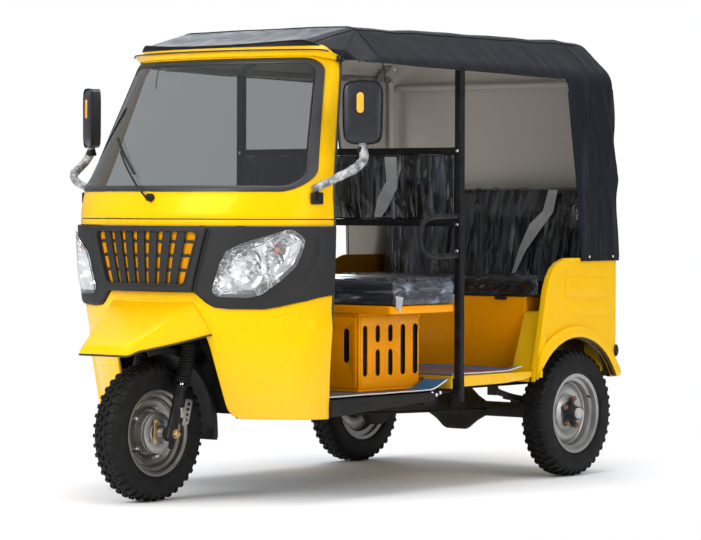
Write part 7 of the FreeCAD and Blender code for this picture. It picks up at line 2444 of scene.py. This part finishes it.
def build_stage(scene):
    sizes = scene.rickshaw_sizes
    camera = bpy.data.cameras.new("camera")
    holder = bpy.data.objects.new("camera", camera)
    scene.collection.objects.link(holder)
    away = Vector((
        math.sin(CAMERA_AZIMUTH) * math.cos(CAMERA_ELEVATION),
        -math.cos(CAMERA_AZIMUTH) * math.cos(CAMERA_ELEVATION), math.sin(CAMERA_ELEVATION)))
    target = Vector((CAMERA_TARGET[0], along(CAMERA_TARGET[1]), CAMERA_TARGET[2]))
    holder.location = target + away * sizes.camera_distance
    holder.rotation_mode = "QUATERNION"
    holder.rotation_quaternion = (-away).to_track_quat("-Z", "Y") @ Quaternion((0, 0, 1), -CAMERA_ROLL)
    camera.sensor_width = 36
    camera.lens = CAMERA_FOCAL_SHARE * camera.sensor_width
    scene.camera = holder

    floor = primitive("grid", "floor", x_subdivisions=2, y_subdivisions=2, size=60)
    floor.data.materials.append(floor_finish())

    world = bpy.data.worlds.new("studio")
    scene.world = world
    world.use_nodes = True
    tree = world.node_tree
    sky = tree.nodes["Background"]
    path = tree.nodes.new("ShaderNodeLightPath")
    white = tree.nodes.new("ShaderNodeBackground")
    white.inputs["Color"].default_value = (1, 1, 1, 1)
    white.inputs["Strength"].default_value = 1.0
    sky.inputs["Color"].default_value = (0.80, 0.82, 0.86, 1)
    direction = tree.nodes.new("ShaderNodeTexCoord")
    parts = tree.nodes.new("ShaderNodeSeparateXYZ")
    height = tree.nodes.new("ShaderNodeMapRange")
    for key, value in (("From Min", 0.02), ("From Max", 0.70), ("To Min", 0.26), ("To Max", 0.92)):
        height.inputs[key].default_value = value
    tree.links.new(direction.outputs["Generated"], parts.inputs["Vector"])
    tree.links.new(parts.outputs["Z"], height.inputs["Value"])
    tree.links.new(height.outputs["Result"], sky.inputs["Strength"])
    seen = tree.nodes.new("ShaderNodeMath")
    seen.operation = "MAXIMUM"
    tree.links.new(path.outputs["Is Camera Ray"], seen.inputs[0])
    tree.links.new(path.outputs["Is Transmission Ray"], seen.inputs[1])
    choose = tree.nodes.new("ShaderNodeMixShader")
    tree.links.new(seen.outputs[0], choose.inputs["Fac"])
    tree.links.new(sky.outputs[0], choose.inputs[1])
    tree.links.new(white.outputs[0], choose.inputs[2])
    tree.links.new(choose.outputs[0], tree.nodes["World Output"].inputs["Surface"])

    lamps = [
        ("key", (-0.6, -6.0, 3.4), (0.0, -0.6, 0.9), 3.4, 290),
        ("side", (6.5, -0.5, 3.6), (0.3, 0.2, 0.9), 4.0, 140),
        ("top", (0.0, 0.4, 6.5), (0.0, 0.2, 0.8), 5.0, 270),
        ("low", (5.6, -2.2, 0.9), (0.0, 0.4, 1.7), 2.4, 42),
        ("back", (-6.2, 6.8, 4.3), (0.0, 0.0, 1.6), 3.0, 120)]
    for name, place, aim, size, power in lamps:
        light = bpy.data.lights.new(name, "AREA")
        light.size = size
        light.energy = power
        light.color = (0.86, 0.93, 1.0) if name == "back" else (1.0, 1.0, 1.0)
        lamp = bpy.data.objects.new(name, light)
        scene.collection.objects.link(lamp)
        lamp.location = place
        lamp.rotation_mode = "QUATERNION"
        lamp.rotation_quaternion = (Vector(aim) - Vector(place)).to_track_quat("-Z", "Y")
    scene.view_settings.view_transform = "Standard"


class RICKSHAW_OT_stage(bpy.types.Operator):
    """Floor, light and camera"""
    bl_idname = "rickshaw.stage"
    bl_label = "Stage"

    def execute(self, context):
        build_stage(context.scene)
        return {"FINISHED"}


class RICKSHAW_OT_cab_front(bpy.types.Operator):
    """Leg shields, cowl and screen surround"""
    bl_idname = "rickshaw.cab_front"
    bl_label = "Cab front"

    def execute(self, context):
        build_cab_front(context)
        return {"FINISHED"}


class RICKSHAW_OT_nose_panel(bpy.types.Operator):
    """Charcoal panel with its grille"""
    bl_idname = "rickshaw.nose_panel"
    bl_label = "Nose panel"

    def execute(self, context):
        build_nose_panel(context)
        return {"FINISHED"}


class RICKSHAW_OT_fairing(bpy.types.Operator):
    """Fairing over the front wheel"""
    bl_idname = "rickshaw.fairing"
    bl_label = "Nose fairing"

    def execute(self, context):
        build_beak(context)
        return {"FINISHED"}


class RICKSHAW_OT_screen(bpy.types.Operator):
    """Glass and its rubber"""
    bl_idname = "rickshaw.screen"
    bl_label = "Windscreen"

    def execute(self, context):
        build_screen(context)
        return {"FINISHED"}


class RICKSHAW_OT_visor(bpy.types.Operator):
    """Peak over the windscreen"""
    bl_idname = "rickshaw.visor"
    bl_label = "Peak"

    def execute(self, context):
        build_visor(context)
        return {"FINISHED"}


class RICKSHAW_OT_headlamps(bpy.types.Operator):
    """Reflectors, bulbs and lenses"""
    bl_idname = "rickshaw.headlamps"
    bl_label = "Headlamps"

    def execute(self, context):
        build_headlamps(context)
        return {"FINISHED"}


class RICKSHAW_OT_wiper(bpy.types.Operator):
    """Wiper arm and blade"""
    bl_idname = "rickshaw.wiper"
    bl_label = "Wiper"

    def execute(self, context):
        build_wiper(context)
        return {"FINISHED"}


class RICKSHAW_OT_mirrors(bpy.types.Operator):
    """Mirror heads on wrapped arms"""
    bl_idname = "rickshaw.mirrors"
    bl_label = "Mirrors"

    def execute(self, context):
        build_mirrors(context)
        return {"FINISHED"}


class RICKSHAW_OT_tub(bpy.types.Operator):
    """Tub with its arches, pressings and lamps"""
    bl_idname = "rickshaw.tub"
    bl_label = "Rear body"

    def execute(self, context):
        build_tub(context)
        return {"FINISHED"}


class RICKSHAW_OT_wheel_boxes(bpy.types.Operator):
    """Inner boxes over the rear wheels"""
    bl_idname = "rickshaw.wheel_boxes"
    bl_label = "Wheel boxes"

    def execute(self, context):
        build_wheel_boxes(context)
        return {"FINISHED"}


class RICKSHAW_OT_roof_tubes(bpy.types.Operator):
    """Side rails and bows"""
    bl_idname = "rickshaw.roof_tubes"
    bl_label = "Roof frame"

    def execute(self, context):
        build_roof_tubes(context)
        return {"FINISHED"}


class RICKSHAW_OT_canopy(bpy.types.Operator):
    """Cloth, piping, hems and studs"""
    bl_idname = "rickshaw.canopy"
    bl_label = "Roof cloth"

    def execute(self, context):
        build_canopy(context)
        return {"FINISHED"}


class RICKSHAW_OT_floors(bpy.types.Operator):
    """Rear floor, sills and their bolts"""
    bl_idname = "rickshaw.floors"
    bl_label = "Floors"

    def execute(self, context):
        build_floors(context)
        return {"FINISHED"}


class RICKSHAW_OT_mats(bpy.types.Operator):
    """Striped floor mats"""
    bl_idname = "rickshaw.mats"
    bl_label = "Mats"

    def execute(self, context):
        build_mats(context)
        return {"FINISHED"}


class RICKSHAW_OT_seat_box(bpy.types.Operator):
    """Slotted box and pan"""
    bl_idname = "rickshaw.seat_box"
    bl_label = "Driver's seat box"

    def execute(self, context):
        build_seat_box(context)
        return {"FINISHED"}


class RICKSHAW_OT_driver_cushion(bpy.types.Operator):
    """Wrapped cushion"""
    bl_idname = "rickshaw.driver_cushion"
    bl_label = "Driver's cushion"

    def execute(self, context):
        build_driver_cushion(context)
        return {"FINISHED"}


class RICKSHAW_OT_partition(bpy.types.Operator):
    """Posts, bars, handles and the pad"""
    bl_idname = "rickshaw.partition"
    bl_label = "Partition"

    def execute(self, context):
        build_partition(context)
        return {"FINISHED"}


class RICKSHAW_OT_bench(bpy.types.Operator):
    """Bin and lid hinges"""
    bl_idname = "rickshaw.bench"
    bl_label = "Bench"

    def execute(self, context):
        build_bench(context)
        return {"FINISHED"}


class RICKSHAW_OT_bench_cushion(bpy.types.Operator):
    """Wrapped cushion on the lid"""
    bl_idname = "rickshaw.bench_cushion"
    bl_label = "Bench cushion"

    def execute(self, context):
        build_bench_cushion(context)
        return {"FINISHED"}


class RICKSHAW_OT_backrest(bpy.types.Operator):
    """Wrapped back pad"""
    bl_idname = "rickshaw.backrest"
    bl_label = "Backrest"

    def execute(self, context):
        build_backrest(context)
        return {"FINISHED"}


class RICKSHAW_OT_rear_wheels(bpy.types.Operator):
    """Tyres, rims, hubs and nuts"""
    bl_idname = "rickshaw.rear_wheels"
    bl_label = "Rear wheels"

    def execute(self, context):
        build_rear_wheels(context)
        return {"FINISHED"}


class RICKSHAW_OT_front_wheel(bpy.types.Operator):
    """Tyre, rim and brake hub"""
    bl_idname = "rickshaw.front_wheel"
    bl_label = "Front wheel"

    def execute(self, context):
        build_front_wheel(context)
        return {"FINISHED"}


class RICKSHAW_OT_fork(bpy.types.Operator):
    """Legs, springs, yoke and brake plate"""
    bl_idname = "rickshaw.fork"
    bl_label = "Fork"

    def execute(self, context):
        build_fork(context)
        return {"FINISHED"}


class RICKSHAW_OT_handlebar(bpy.types.Operator):
    """Bar, pod, levers and grips"""
    bl_idname = "rickshaw.handlebar"
    bl_label = "Handlebar"

    def execute(self, context):
        build_handlebar(context)
        return {"FINISHED"}


class RICKSHAW_OT_mudguard(bpy.types.Operator):
    """Guard that turns with the wheel"""
    bl_idname = "rickshaw.mudguard"
    bl_label = "Inner guard"

    def execute(self, context):
        build_mudguard(context)
        return {"FINISHED"}


class RICKSHAW_OT_trim(bpy.types.Operator):
    """Rubber down the door edges"""
    bl_idname = "rickshaw.trim"
    bl_label = "Edge rubber"

    def execute(self, context):
        build_trim(context)
        return {"FINISHED"}


class RICKSHAW_OT_dressing(bpy.types.Operator):
    """Finishes of the parts shown as packed"""
    bl_idname = "rickshaw.dressing"
    bl_label = "Dressing"

    def execute(self, context):
        dress_nodes(context)
        return {"FINISHED"}


OPERATORS = [
    RICKSHAW_OT_stage,
    RICKSHAW_OT_cab_front,
    RICKSHAW_OT_nose_panel,
    RICKSHAW_OT_fairing,
    RICKSHAW_OT_screen,
    RICKSHAW_OT_visor,
    RICKSHAW_OT_headlamps,
    RICKSHAW_OT_wiper,
    RICKSHAW_OT_mirrors,
    RICKSHAW_OT_tub,
    RICKSHAW_OT_wheel_boxes,
    RICKSHAW_OT_roof_tubes,
    RICKSHAW_OT_canopy,
    RICKSHAW_OT_floors,
    RICKSHAW_OT_mats,
    RICKSHAW_OT_seat_box,
    RICKSHAW_OT_driver_cushion,
    RICKSHAW_OT_partition,
    RICKSHAW_OT_bench,
    RICKSHAW_OT_bench_cushion,
    RICKSHAW_OT_backrest,
    RICKSHAW_OT_rear_wheels,
    RICKSHAW_OT_front_wheel,
    RICKSHAW_OT_fork,
    RICKSHAW_OT_handlebar,
    RICKSHAW_OT_mudguard,
    RICKSHAW_OT_trim,
    RICKSHAW_OT_dressing,
]


class RICKSHAW_PT_panel(bpy.types.Panel):
    """Sizes, colours and steps of the three-wheeler"""
    bl_idname = "RICKSHAW_PT_panel"
    bl_label = "Three-wheeler"
    bl_space_type = "VIEW_3D"
    bl_region_type = "UI"
    bl_category = "Three-wheeler"

    def draw(self, context):
        for group in (context.scene.rickshaw_sizes, context.scene.rickshaw_colours):
            for name in group.bl_rna.properties.keys():
                if name not in ("rna_type", "name"):
                    self.layout.prop(group, name)
        for operator in OPERATORS:
            self.layout.operator(operator.bl_idname)


CLASSES = [RickshawColours, RickshawSizes] + OPERATORS + [RICKSHAW_PT_panel]


def register():
    for kind in CLASSES:
        bpy.utils.register_class(kind)
    bpy.types.Scene.rickshaw_colours = bpy.props.PointerProperty(type=RickshawColours)
    bpy.types.Scene.rickshaw_sizes = bpy.props.PointerProperty(type=RickshawSizes)


def unregister():
    del bpy.types.Scene.rickshaw_sizes
    del bpy.types.Scene.rickshaw_colours
    for kind in reversed(CLASSES):
        bpy.utils.unregister_class(kind)


def main():
    register()
    for operator in OPERATORS:
        getattr(bpy.ops.rickshaw, operator.bl_idname.split(".")[1])()
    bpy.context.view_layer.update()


if __name__ == "__main__":
    main()
